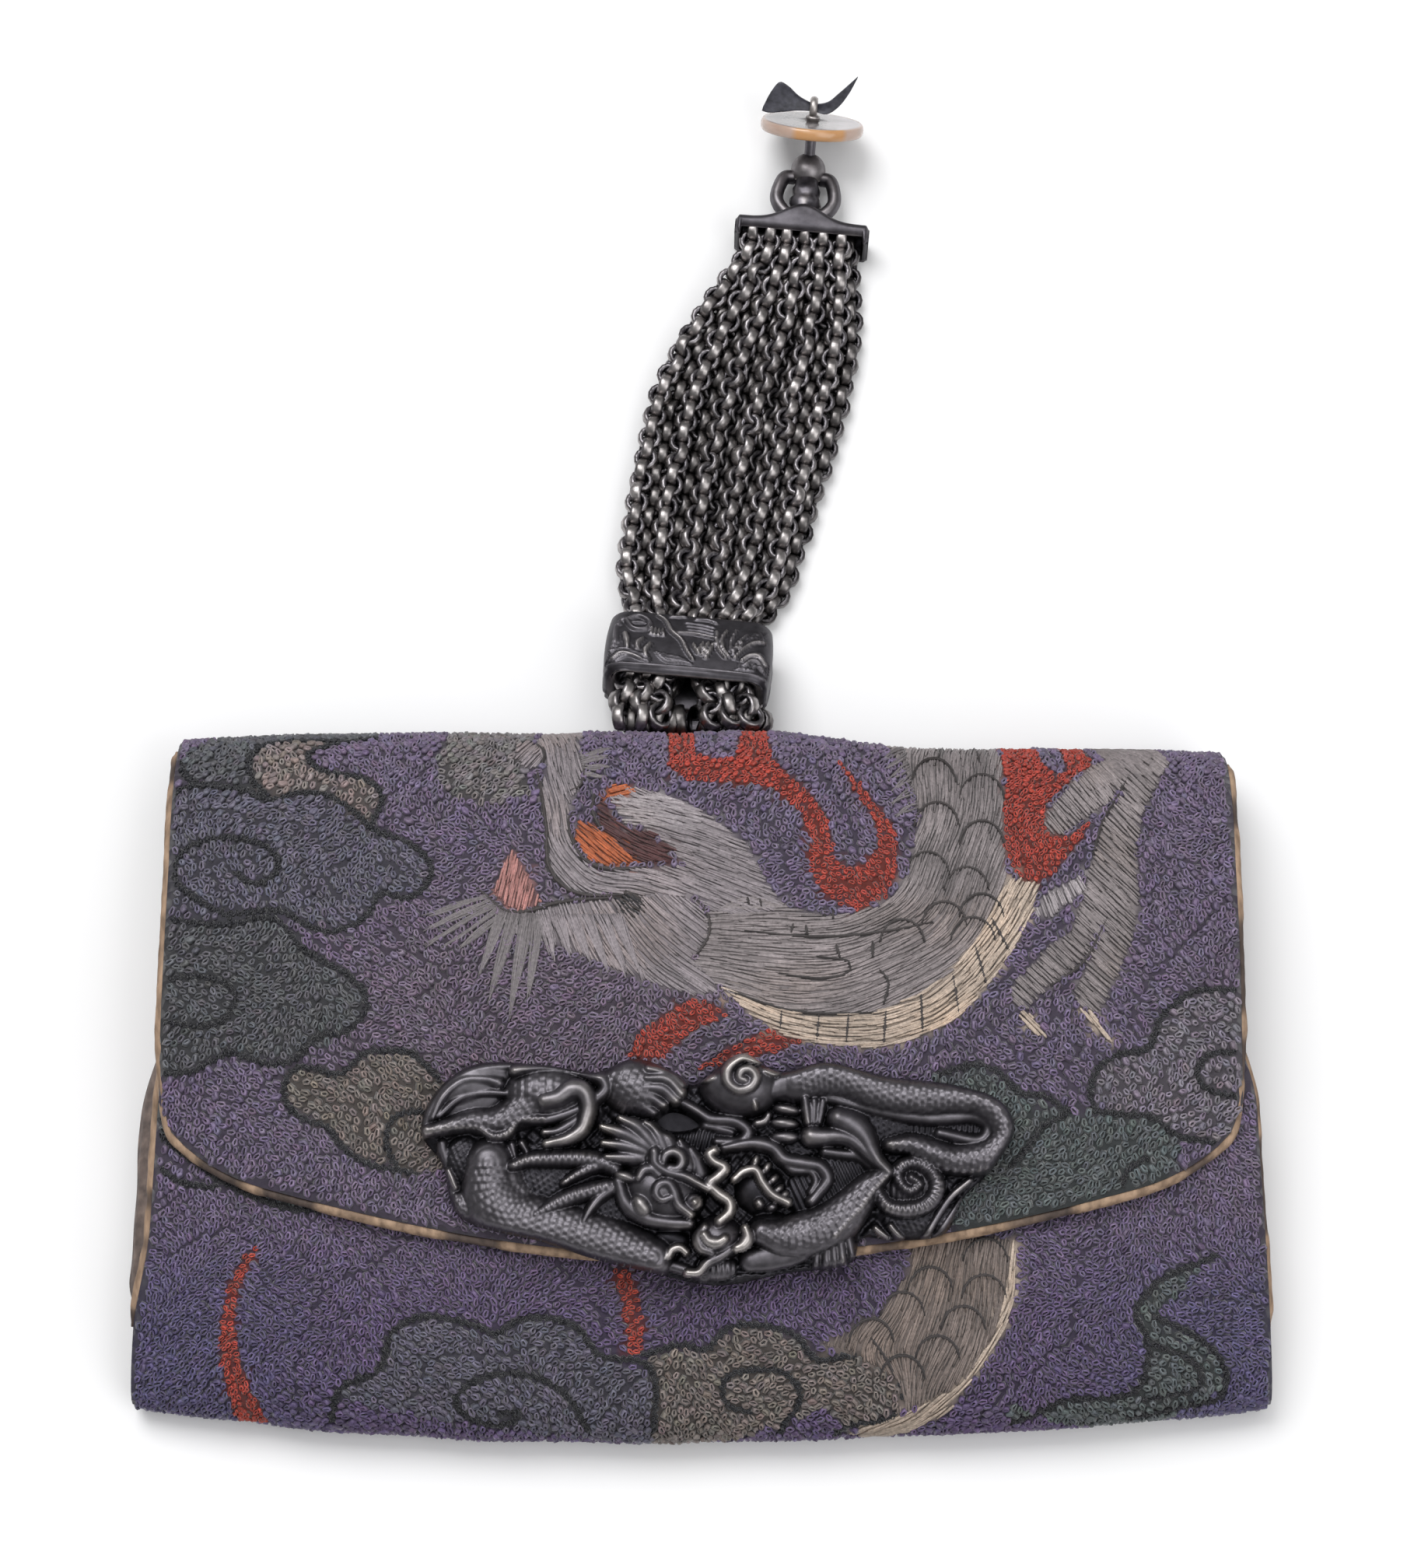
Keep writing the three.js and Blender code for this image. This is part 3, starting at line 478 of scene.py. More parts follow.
def project(points):
    """The pixel at which a point shows."""
    rel = points - CAMERA_EYE
    depth = rel @ CAMERA_FORWARD
    return np.stack([IMAGE_WIDTH / 2 + FOCAL_PIXELS * (rel @ CAMERA_RIGHT) / depth,
                     IMAGE_HEIGHT / 2 - FOCAL_PIXELS * (rel @ CAMERA_UP) / depth], axis=-1)


# The parts of the cloth that a pixel may lie on: lowest and highest s
PANELS = {"flap": (S_FOLD_FRONT + 1.0, S_END), "front": (S_FRONT_LOWER - 24, S_BACK - 5.0)}
# A pixel this far above the top fold stands for a place that the fold hides
SKYLINE_MISS = 10
FOLD_OVER = 5.0
# Steps of the search for a pixel's place: rounds, probe, longest steps along s and x, and least slope
SEEK_ROUNDS = 25
SEEK_PROBE = 0.2
SEEK_S = 6
SEEK_X = 20
SEEK_FLAT = 0.5


def on_cloth(pixels, panel):
    """Places (s, x) on a panel that show at these pixels, found by stepping towards them."""
    pixels = np.asarray(pixels, float)
    low, high = PANELS[panel]
    place = np.tile([(low + high) / 2, 0.0], (len(pixels), 1))
    e = SEEK_PROBE
    for _ in range(SEEK_ROUNDS):
        here = project(cloth_base(place[:, 0], place[:, 1]))
        d_s = (project(cloth_base(place[:, 0] + e, place[:, 1])) - here) / e
        d_x = (project(cloth_base(place[:, 0], place[:, 1] + e)) - here) / e
        miss = pixels - here
        det = d_s[:, 0] * d_x[:, 1] - d_s[:, 1] * d_x[:, 0]
        det = np.where(np.abs(det) < SEEK_FLAT, -SEEK_FLAT, det)
        step_s = (miss[:, 0] * d_x[:, 1] - miss[:, 1] * d_x[:, 0]) / det
        step_x = (d_s[:, 0] * miss[:, 1] - d_s[:, 1] * miss[:, 0]) / det
        place[:, 0] = np.clip(place[:, 0] + np.clip(step_s, -SEEK_S, SEEK_S), low, high)
        place[:, 1] += np.clip(step_x, -SEEK_X, SEEK_X)
    if panel == "flap":
        beyond = project(cloth_base(place[:, 0], place[:, 1]))[:, 1] - pixels[:, 1] > SKYLINE_MISS
        place[beyond, 0] = S_FOLD_FRONT - FOLD_OVER
    return place


def cloth_curve(pixels, panel, step):
    """A smooth curve on the cloth through a few pixels."""
    return spline(on_cloth(pixels, panel), step)


# Camera, light and floor

# Lamps: name, place and size in metres, power
LIGHTS = [
    ("key", (-0.25, 0.35, 0.75), 0.5, 4.2),
    ("fill", (0.45, -0.35, 0.6), 0.6, 2.2),
    ("top", (0.05, 0.1, 0.9), 0.9, 2.8),
]
LIGHT_TARGET = np.array([0, 0.03, 0])
WORLD_STRENGTH = 0.3
FLOOR_HALF = 1500.0
FLOOR_TONES = [(0.3, (0.86, 0.86, 0.87)), (0.7, (0.9, 0.9, 0.905))]


def add_camera():
    data = bpy.data.cameras.new("camera")
    data.sensor_fit = "VERTICAL"
    data.sensor_height = SENSOR_HEIGHT
    data.lens = FOCAL_PIXELS / IMAGE_HEIGHT * SENSOR_HEIGHT
    data.clip_start = 0.01
    camera = bpy.data.objects.new("camera", data)
    bpy.context.collection.objects.link(camera)
    turn = Matrix([CAMERA_RIGHT, CAMERA_UP, -CAMERA_FORWARD]).transposed()
    camera.matrix_world = Matrix.Translation(CAMERA_EYE * MM) @ turn.to_4x4()
    bpy.context.scene.camera = camera


def add_light(name, place, size, power):
    data = bpy.data.lights.new(name, "AREA")
    data.energy = power
    data.size = size
    light = bpy.data.objects.new(name, data)
    bpy.context.collection.objects.link(light)
    place = np.array(place)
    back = unit(place - LIGHT_TARGET)
    side = unit(np.cross([0, 1, 0.01], back))
    turn = Matrix([side, np.cross(back, side), back]).transposed()
    light.matrix_world = Matrix.Translation(place) @ turn.to_4x4()


def add_world():
    world = bpy.data.worlds.new("studio")
    world.use_nodes = True
    background = world.node_tree.nodes["Background"]
    background.inputs["Color"].default_value = (1, 1, 1, 1)
    background.inputs["Strength"].default_value = WORLD_STRENGTH
    bpy.context.scene.world = world
    bpy.context.scene.view_settings.view_transform = "Standard"


def add_floor():
    material, _ = grain_material("pale_floor", 6.0, 3.0, FLOOR_TONES, roughness=0.55)
    half = FLOOR_HALF
    corners = [(-half, -half, 0), (half, -half, 0), (half, half, 0), (-half, half, 0)]
    floor = make_object("floor", corners, [(0, 1, 2, 3)], material, smooth_faces=False)


add_camera()
add_floor()
for lamp in LIGHTS:
    add_light(*lamp)
add_world()

SILK_KNOTS = thread_material("silk_knots", 0.5, 0.25, 2500.0)
SILK_SATIN = thread_material("silk_satin", 0.6, 0.15, 3000.0)


# Colours of the embroidery

GROUND = srgb(105, 92, 117)
GROUND_PURPLE = srgb(89, 73, 108)
GROUND_BLUE = srgb(72, 78, 112)
GROUND_BROWN = srgb(112, 96, 104)
OUTLINE = srgb(27, 27, 33)
RED = srgb(158, 58, 46)
CLOUD_BLUE = srgb(92, 88, 104)
CLOUD_GREEN = srgb(84, 84, 90)
CLOUD_TAN = srgb(126, 114, 112)
CLOUD_BROWN = srgb(116, 106, 102)
CLOUD_MAUVE = srgb(118, 110, 122)
CLOUD_DARK = srgb(84, 90, 92)
DRAGON = srgb(136, 128, 132)
DRAGON_LIGHT = srgb(152, 145, 148)
MANE = srgb(114, 108, 110)
DRAGON_SCALE = srgb(132, 124, 125)
DRAGON_FRONT = srgb(122, 110, 105)
CREAM = srgb(184, 168, 154)
ORANGE = srgb(170, 92, 54)
MAROON = srgb(78, 46, 48)
PINK = srgb(174, 124, 119)
DARK_THREAD = srgb(52, 46, 46)
LINING = srgb(84, 70, 62)
# How the ground drifts in colour: widths in millimetres, steps (start, over) and shares
DRIFT_SCALE = 30
DRIFT_SEED = 5
DRIFT_SHARE = 0.35
PURPLE_BELOW = (8, 22)
PURPLE_SHARE = 0.85
BLUE_ASIDE = (34, 22)
BLUE_BELOW = (14, 16)
BLUE_SHARE = 0.4

# Rows of dark knots along the clouds, in pixels of the photograph
FLAP_OUTLINES = {
    "a_edge": [(230, 963), (233, 986), (246, 1003), (280, 1009), (313, 1016), (346, 1029)],
    "a_back": [(430, 952), (380, 953), (345, 956), (326, 966), (319, 980), (323, 1000), (346, 1026)],
    "b_tail": [(485, 948), (432, 956), (396, 970), (412, 990), (465, 1000), (492, 1023),
        (478, 1060)],
    "c_edge": [(215, 1023), (246, 1009), (313, 1016), (346, 1029), (386, 1019), (422, 1023),
        (455, 1043), (478, 1066), (512, 1079), (541, 1096), (555, 1119), (545, 1142), (528, 1155),
        (488, 1152), (472, 1179), (445, 1195), (419, 1199), (386, 1185), (362, 1172), (296, 1175)],
    "c_curl": [(296, 1179), (246, 1152), (223, 1126), (233, 1096), (266, 1079), (313, 1079),
        (346, 1092), (359, 1112), (346, 1132), (323, 1136), (303, 1122)],
    "d_edge": [(213, 1182), (286, 1189), (352, 1182), (386, 1218), (419, 1238), (445, 1252),
        (465, 1272), (472, 1292), (445, 1328), (412, 1331), (379, 1361), (352, 1368), (289, 1351)],
    "d_curl": [(210, 1262), (246, 1255), (286, 1262), (303, 1281), (293, 1305), (270, 1318),
        (210, 1315)],
    "d_foot": [(213, 1381), (246, 1378), (273, 1364), (293, 1354)],
    "e_edge": [(565, 1388), (528, 1354), (495, 1351), (469, 1354), (435, 1381), (405, 1374),
        (379, 1374), (364, 1399), (370, 1421), (386, 1437), (421, 1450), (437, 1472), (469, 1495),
        (533, 1508)],
    "e_curl": [(545, 1428), (510, 1434), (498, 1453), (498, 1476), (510, 1501)],
    "f_edge": [(1592, 1274), (1538, 1274), (1512, 1290), (1493, 1309), (1477, 1347), (1441, 1355),
        (1415, 1370), (1402, 1400), (1407, 1426), (1441, 1433), (1481, 1437), (1511, 1459), (1559, 1470),
        (1581, 1481)],
    "f_curl": [(1592, 1353), (1557, 1355), (1539, 1378), (1552, 1400), (1594, 1410)],
    "g_edge": [(1206, 1381), (1252, 1369), (1279, 1375), (1313, 1406), (1337, 1407), (1374, 1428)],
    "g_foot": [(1370, 1433), (1341, 1448), (1322, 1474), (1300, 1500)],
    "g_curl": [(1474, 1489), (1448, 1507), (1444, 1522), (1459, 1535)],
}
FRONT_OUTLINES = {
    "left_top": [(206, 1460), (277, 1514), (329, 1539), (373, 1554), (437, 1555)],
    "left_low": [(207, 1504), (233, 1520), (277, 1527)],
    "h_edge": [(427, 1823), (437, 1785), (488, 1760), (501, 1718), (517, 1702), (549, 1692),
        (618, 1707), (637, 1716), (653, 1704), (679, 1694), (717, 1697), (742, 1707), (771, 1742),
        (825, 1751), (841, 1770), (841, 1837)],
    "h_curl": [(755, 1837), (736, 1802), (707, 1777), (679, 1767), (634, 1767), (602, 1780),
        (586, 1796), (596, 1815), (628, 1828), (653, 1828), (669, 1815), (643, 1815)],
    "i_edge": [(828, 1742), (876, 1729), (908, 1735), (932, 1710), (957, 1703), (1021, 1716),
        (1050, 1748), (1098, 1742), (1130, 1751), (1155, 1774), (1161, 1796), (1149, 1821), (1091, 1834),
        (1072, 1844)],
    "i_curl": [(964, 1815), (938, 1809), (929, 1790), (935, 1770), (964, 1762), (1005, 1764),
        (1024, 1780), (1028, 1802), (1012, 1825), (1005, 1841)],
    "j_edge": [(1563, 1614), (1485, 1651), (1459, 1688), (1474, 1718), (1474, 1755), (1463, 1785),
        (1429, 1796), (1374, 1799), (1300, 1829)],
    "j_back": [(1481, 1692), (1537, 1718), (1566, 1744), (1577, 1770), (1566, 1796), (1522, 1807),
        (1448, 1822)],
    "j_curl": [(1474, 1725), (1529, 1748), (1544, 1766), (1537, 1785), (1507, 1792), (1470, 1799)],
}
# Cloud bodies: panel, colour and outline; the last one that holds a knot colours it
CLOUDS = [
    ("flap", MANE, [(590, 900), (680, 900), (674, 986), (684, 1020), (640, 1038), (592, 1030),
     (560, 1000), (566, 962)]),
    ("flap", CLOUD_GREEN, [(180, 900), (222, 986), (280, 1009), (346, 1029), (323, 1000), (326, 966),
     (345, 956), (430, 952), (485, 950), (485, 900)]),
    ("flap", CLOUD_TAN, [(345, 956), (326, 966), (323, 1000), (346, 1029), (400, 1019), (478, 1066),
     (492, 1023), (465, 1000), (412, 990), (396, 970), (432, 956), (485, 950), (430, 952)]),
    ("flap", CLOUD_BLUE, [(200, 1023), (246, 1009), (346, 1029), (422, 1023), (478, 1066), (541, 1096),
     (555, 1119), (528, 1155), (488, 1152), (445, 1195), (386, 1185), (362, 1172), (286, 1189),
     (200, 1184)]),
    ("flap", CLOUD_GREEN, [(195, 1184), (286, 1189), (352, 1182), (419, 1238), (465, 1272), (472, 1292),
     (445, 1328), (379, 1361), (352, 1368), (289, 1351), (246, 1378), (195, 1381)]),
    ("flap", CLOUD_BROWN, [(575, 1390), (528, 1354), (469, 1354), (435, 1381), (379, 1374), (364, 1399),
     (386, 1437), (421, 1450), (437, 1472), (469, 1495), (533, 1508), (580, 1500)]),
    ("flap", CLOUD_MAUVE, [(1605, 1274), (1538, 1274), (1493, 1309), (1477, 1347), (1415, 1370),
     (1400, 1412), (1441, 1433), (1481, 1437), (1511, 1459), (1559, 1470), (1605, 1481)]),
    ("flap", CLOUD_DARK, [(1200, 1385), (1252, 1369), (1313, 1406), (1374, 1428), (1481, 1437),
     (1520, 1470), (1500, 1560), (1230, 1600), (1200, 1500)]),
    ("front", CLOUD_DARK, [(190, 1440), (277, 1514), (373, 1554), (437, 1555), (437, 1500),
     (190, 1400)]),
    ("front", CLOUD_BLUE, [(427, 1840), (437, 1785), (488, 1760), (501, 1718), (549, 1692), (637, 1716),
     (679, 1694), (742, 1707), (771, 1742), (841, 1770), (841, 1856)]),
    ("front", CLOUD_BROWN, [(838, 1856), (841, 1770), (828, 1742), (908, 1735), (957, 1703),
     (1021, 1716), (1050, 1748), (1098, 1742), (1155, 1774), (1155, 1815), (1091, 1834), (1060, 1860)]),
    ("front", CLOUD_DARK, [(1563, 1614), (1485, 1651), (1459, 1688), (1474, 1755), (1463, 1785),
     (1374, 1799), (1300, 1829), (1300, 1860), (1448, 1840), (1522, 1807), (1577, 1780), (1566, 1744),
     (1481, 1692)]),
]
# Red flames, stitched in rows
FLAMES = [
    ("flap", [(851, 900), (886, 900), (895, 968), (921, 977), (946, 974), (966, 900), (986, 900),
     (992, 977), (1040, 1019), (1063, 1048), (1075, 1105), (1094, 1114), (1110, 1111), (1128, 1092),
     (1126, 1060), (1091, 1006), (1066, 969), (1098, 1000), (1145, 1054), (1155, 1092), (1152, 1130),
     (1136, 1156), (1104, 1170), (1079, 1165), (1053, 1143), (1040, 1118), (1040, 1079), (1028, 1044),
     (996, 1016), (964, 1008), (883, 1006), (860, 987)]),
    ("flap", [(1312, 900), (1347, 900), (1343, 984), (1356, 996), (1372, 993), (1394, 900), (1417, 900),
     (1404, 984), (1353, 1028), (1343, 1048), (1347, 1067), (1359, 1076), (1379, 1073), (1391, 1057),
     (1404, 1055), (1391, 1079), (1359, 1121), (1328, 1137), (1305, 1124), (1291, 1099), (1286, 1054),
     (1292, 1006)]),
    ("flap", [(809, 1360), (819, 1325), (895, 1280), (943, 1303), (889, 1328), (851, 1360)]),
    ("flap", [(895, 1376), (929, 1350), (989, 1320), (1037, 1334), (1008, 1350), (964, 1360)]),
    ("front", [(331, 1604), (307, 1658), (302, 1705), (310, 1750), (324, 1788), (350, 1824),
     (310, 1826), (294, 1790), (284, 1750), (283, 1700), (291, 1655), (317, 1610)]),
    ("front", [(786, 1630), (809, 1630), (822, 1664), (829, 1697), (827, 1745), (806, 1745),
     (803, 1697), (796, 1664)]),
]
# The dragon's satin patches: panel, colour, outline, and guide lines along which its threads run
SATIN = [
    ("flap", DRAGON_SCALE, "neck", [(1130, 900), (1150, 975), (1165, 993), (1181, 1048), (1171, 1111),
     (1149, 1150), (1123, 1165), (1060, 1178), (1005, 1162), (960, 1150), (905, 1175), (905, 1210),
     (890, 1240), (932, 1274), (1005, 1298), (1053, 1305), (1123, 1303), (1181, 1279), (1219, 1254),
     (1251, 1215), (1275, 1175), (1295, 1124), (1288, 1050), (1291, 1000), (1308, 900)], [((1180, 970),
     (1195, 1060)), ((1270, 970), (1265, 1080)), ((1200, 1080), (1180, 1150)), ((1260, 1100),
     (1235, 1190)), ((1190, 1190), (1110, 1225)), ((1210, 1230), (1120, 1275)), ((1090, 1190),
     (980, 1185)), ((1080, 1240), (940, 1230)), ((1020, 1290), (900, 1250))]),
    ("flap", DRAGON, "jaw", [(640, 1180), (679, 1172), (736, 1160), (800, 1156), (860, 1150),
     (895, 1158), (912, 1182), (908, 1210), (893, 1232), (930, 1276), (890, 1280), (857, 1270),
     (787, 1246), (720, 1216), (690, 1212), (660, 1200)], [((660, 1178), (655, 1215)), ((720, 1172),
     (735, 1215)), ((790, 1170), (830, 1220)), ((850, 1170), (890, 1200)), ((850, 1240), (910, 1275))]),
    ("flap", DRAGON, "head", [(690, 954), (702, 900), (738, 900), (748, 970), (752, 990), (747, 1014),
     (735, 1030), (730, 1055), (735, 1085), (750, 1108), (770, 1120), (830, 1117), (880, 1112),
     (800, 1040), (783, 1028), (806, 1011), (870, 1025), (911, 1048), (962, 1085), (990, 1140),
     (1012, 1166), (960, 1178), (912, 1172), (892, 1154), (800, 1152), (742, 1150), (717, 1137),
     (704, 1118), (703, 1079), (694, 1025), (701, 990)], [((715, 955), (722, 1010)), ((715, 1030),
     (716, 1090)), ((715, 1100), (745, 1135)), ((760, 1135), (830, 1135)), ((800, 1025), (900, 1055)),
     ((830, 1060), (940, 1090)), ((880, 1110), (990, 1150)), ((850, 1130), (940, 1165))]),
    ("flap", DARK_THREAD, "eye", [(788, 1152), (806, 1146), (826, 1154), (833, 1170), (818, 1181),
     (799, 1172)], [((795, 1155), (826, 1172))]),
    ("flap", DRAGON, "nose", [(664, 958), (679, 952), (696, 960), (700, 974), (690, 990), (674, 990),
     (662, 976)], [((668, 985), (692, 962))]),
    ("flap", DRAGON_LIGHT, "brow", [(782, 1026), (850, 1022), (905, 1046), (900, 1070), (840, 1066),
     (800, 1060)], [((785, 1040), (840, 1045)), ((840, 1045), (905, 1060))]),
    ("flap", MAROON, "lid", [(774, 1028), (765, 1048), (774, 1070), (806, 1099), (819, 1112),
     (876, 1111), (857, 1100), (876, 1092), (838, 1080), (854, 1073), (806, 1067), (790, 1050)],
     [((775, 1050), (830, 1085)), ((810, 1085), (870, 1105))]),
    ("flap", ORANGE, "eye", [(742, 1057), (756, 1060), (790, 1080), (819, 1111), (781, 1116),
     (755, 1108), (739, 1079)], [((745, 1065), (800, 1110))]),
    ("flap", ORANGE, "eye_corner", [(776, 1028), (787, 1011), (806, 1010), (819, 1019), (800, 1024)],
     [((780, 1024), (815, 1016))]),
    ("flap", OUTLINE, "mouth", [(788, 1153), (812, 1149), (829, 1165), (821, 1178), (801, 1178)],
     [((795, 1155), (822, 1175))]),
    ("flap", OUTLINE, "pupil", [(759, 1062), (768, 1061), (774, 1070), (765, 1075)], [((760, 1063),
     (772, 1072))]),
    ("flap", PINK, "tongue", [(658, 1090), (634, 1148), (655, 1172), (671, 1176), (698, 1163)],
     [((650, 1160), (662, 1110))]),
    ("flap", CREAM, "belly", [(925, 1268), (1005, 1298), (1053, 1304), (1123, 1302), (1181, 1278),
     (1219, 1253), (1251, 1214), (1273, 1176), (1295, 1124), (1340, 1136), (1327, 1175), (1302, 1223),
     (1267, 1271), (1232, 1309), (1177, 1338), (1123, 1348), (1050, 1342), (1008, 1331), (964, 1304)],
     [((940, 1282), (1000, 1312)), ((1010, 1316), (1060, 1326)), ((1070, 1326), (1130, 1326)),
     ((1140, 1322), (1195, 1304)), ((1205, 1296), (1245, 1262)), ((1250, 1255), (1285, 1205)),
     ((1290, 1195), (1318, 1135))]),
    ("flap", DRAGON_SCALE, "arm_bulge", [(1343, 1060), (1350, 1073), (1366, 1076), (1391, 1057),
     (1430, 1032), (1450, 1005), (1440, 975), (1405, 985), (1360, 1025), (1345, 1045)], [((1360, 1035),
     (1385, 1062)), ((1405, 1000), (1430, 1030))]),
    ("flap", DRAGON_SCALE, "arm", [(1423, 900), (1516, 900), (1503, 984), (1470, 1048), (1461, 1099),
     (1465, 1169), (1455, 1216), (1423, 1290), (1410, 1303), (1391, 1296), (1379, 1280), (1404, 1226),
     (1420, 1188), (1391, 1239), (1350, 1268), (1321, 1299), (1302, 1290), (1299, 1268), (1340, 1223),
     (1379, 1194), (1394, 1143), (1404, 1105), (1417, 1057), (1440, 1020)], [((1440, 975), (1485, 1010)),
     ((1425, 1050), (1460, 1085)), ((1410, 1110), (1455, 1150)), ((1340, 1235), (1370, 1265)),
     ((1400, 1245), (1430, 1270))]),
    ("flap", DRAGON_LIGHT, "forearm", [(1330, 1178), (1340, 1150), (1390, 1126), (1398, 1145),
     (1350, 1182)], [((1345, 1150), (1355, 1178)), ((1380, 1130), (1392, 1150))]),
    ("flap", CREAM, "claw_left", [(1306, 1300), (1322, 1300), (1335, 1319), (1352, 1342), (1324, 1325)],
     [((1312, 1302), (1348, 1338))]),
    ("flap", CREAM, "claw_right", [(1389, 1297), (1406, 1300), (1416, 1320), (1432, 1342),
     (1404, 1325)], [((1396, 1300), (1428, 1338))]),
    ("front", DRAGON_FRONT, "body", [(1176, 1590), (1168, 1633), (1130, 1691), (1053, 1728),
     (1098, 1742), (1155, 1774), (1161, 1796), (1149, 1821), (1187, 1806), (1238, 1777), (1279, 1713),
     (1292, 1665), (1300, 1590)], [((1200, 1610), (1180, 1680)), ((1270, 1610), (1265, 1700)),
     ((1150, 1690), (1110, 1730)), ((1230, 1720), (1190, 1790)), ((1110, 1735), (1160, 1790))]),
    ("front", CREAM, "belly_front", [(1300, 1590), (1292, 1665), (1279, 1713), (1238, 1777),
     (1187, 1806), (1149, 1823), (1085, 1842), (1123, 1848), (1187, 1832), (1219, 1818), (1246, 1777),
     (1289, 1719), (1306, 1665), (1307, 1592)], [((1303, 1600), (1298, 1670)), ((1285, 1712),
     (1262, 1750)), ((1240, 1780), (1205, 1812)), ((1180, 1815), (1110, 1842))]),
]
# Tufts of long threads: panel, colour, threads, points, root line, and tip line
TUFTS = [
    ("flap", MANE, 48, 5, [(625, 1152), (652, 1178)], [(546, 1172), (541, 1216), (570, 1222),
     (599, 1223)]),
    ("flap", MANE, 64, 4, [(640, 1172), (702, 1178)], [(612, 1240), (624, 1289), (656, 1321),
     (688, 1276)]),
    ("flap", DRAGON, 60, 6, [(690, 1178), (800, 1176)], [(700, 1240), (742, 1238), (800, 1256),
     (842, 1270)]),
    ("flap", MANE, 24, 6, [(1160, 965), (1180, 1040)], [(1135, 975), (1150, 1060)]),
    ("flap", MANE, 20, 4, [(745, 975), (750, 1000)], [(790, 960), (780, 1010)]),
]
# A scale's rounded top in pixels, its ends in degrees, and the shadow under it in millimetres
SCALE_RADIUS = 29
SCALE_HEIGHT = 1.15
SCALE_ARC = (185, 355)
SCALE_DARK = 0.72
SCALE_LIFT = 0.34
SCALE_SHADOW_WIDTH = 1.6
# Tops of the scales: panel and centre
SCALES = [
    ("flap", [(1232, 990), (1200, 1012), (1262, 1032), (1204, 1066), (1262, 1090), (1192, 1128),
     (1243, 1148), (1214, 1192), (1251, 1212), (1160, 1215), (1262, 1182)]),
    ("front", [(1267, 1625), (1196, 1662), (1265, 1672), (1160, 1694), (1238, 1712), (1120, 1728),
     (1205, 1750), (1160, 1775)]),
]
# Single dark lines of thread
LINES = {
    "flap": [
        [(608, 1140), (628, 1156), (650, 1174), (679, 1174), (704, 1165), (736, 1159), (800, 1155)],
        [(690, 990), (697, 1025), (700, 1048), (704, 1079), (702, 1099), (706, 1118), (719, 1138),
         (742, 1151), (800, 1153)],
        [(737, 1045), (731, 1060), (737, 1085), (752, 1108), (781, 1119), (830, 1117)],
        [(765, 1020), (762, 1045), (774, 1070)],
        [(697, 985), (700, 970), (690, 958)],
        [(752, 984), (747, 1012), (733, 1019)],
        [(892, 1156), (911, 1179), (911, 1204), (895, 1229)],
        [(957, 1197), (1027, 1204), (1079, 1204), (1142, 1197), (1200, 1185)],
        [(1000, 1252), (1060, 1258), (1092, 1250), (1094, 1238), (1050, 1230)],
        [(1075, 1215), (1080, 1232)],
        [(1122, 1210), (1122, 1232)],
        [(1130, 1246), (1142, 1262), (1136, 1292)],
        [(1005, 1299), (1003, 1324)],
        [(1053, 1304), (1050, 1338)],
        [(1091, 1304), (1088, 1340)],
        [(1139, 1300), (1136, 1342)],
        [(1184, 1278), (1186, 1326)],
        [(1225, 1252), (1233, 1304)],
        [(1254, 1216), (1268, 1264)],
        [(1275, 1180), (1298, 1222)],
        [(932, 1272), (1005, 1297), (1053, 1303), (1123, 1302)],
        [(961, 1154), (963, 1164)],
        [(977, 1156), (979, 1166)],
        [(1020, 1188), (1017, 1200)],
        [(1036, 1190), (1038, 1204)],
        [(1058, 1168), (1061, 1180)],
        [(1071, 1170), (1071, 1182)],
        [(1423, 1181), (1391, 1239), (1350, 1268)],
        [(1405, 1100), (1417, 1057), (1440, 1020), (1450, 1000)],
    ],
    "front": [
        [(1120, 1720), (1138, 1745), (1150, 1770)],
    ],
}


# Sweeps and rings, many at a time

def sweep(paths, side, up, profile, scale):
    """Closed bars along many paths of equal length: points and triangles."""
    count, steps, _ = paths.shape
    k = len(profile)
    across, over = profile[None, None, :, :1], profile[None, None, :, 1:]
    offset = side[:, :, None, :] * across + up[:, :, None, :] * over
    points = paths[:, :, None, :] + offset * scale[:, :, None, None]
    quads = grid_faces(steps, k, wrap_columns=True)
    first = [(0, i, i + 1) for i in range(1, k - 1)]
    last = [((steps - 1) * k, (steps - 1) * k + i + 1, (steps - 1) * k + i) for i in range(1, k - 1)]
    triangles = np.vstack([quads[:, [0, 2, 1]], quads[:, [0, 3, 2]], np.array(first), np.array(last)])
    return points.reshape(-1, 3), repeat_faces(triangles, count, steps * k)


def rings(centre, a, b, n, radius_a, radius_b, profile, sections):
    """Closed rings round many centres, with a section of (outward, along n) points: points and quads."""
    angle = np.linspace(0, 2 * math.pi, sections, endpoint=False)
    cos, sin = np.cos(angle)[None, :, None, None], np.sin(angle)[None, :, None, None]
    out = profile[None, None, :, :1]
    rise = profile[None, None, :, 1:]
    reach_a = radius_a.reshape(-1, 1, 1, 1) + out
    reach_b = radius_b.reshape(-1, 1, 1, 1) + out
    points = (centre[:, None, None, :] + a[:, None, None, :] * cos * reach_a
              + b[:, None, None, :] * sin * reach_b + n[:, None, None, :] * rise)
    faces = grid_faces(sections, len(profile), wrap_rows=True, wrap_columns=True)
    return points.reshape(-1, 3), repeat_faces(faces, len(centre), sections * len(profile))


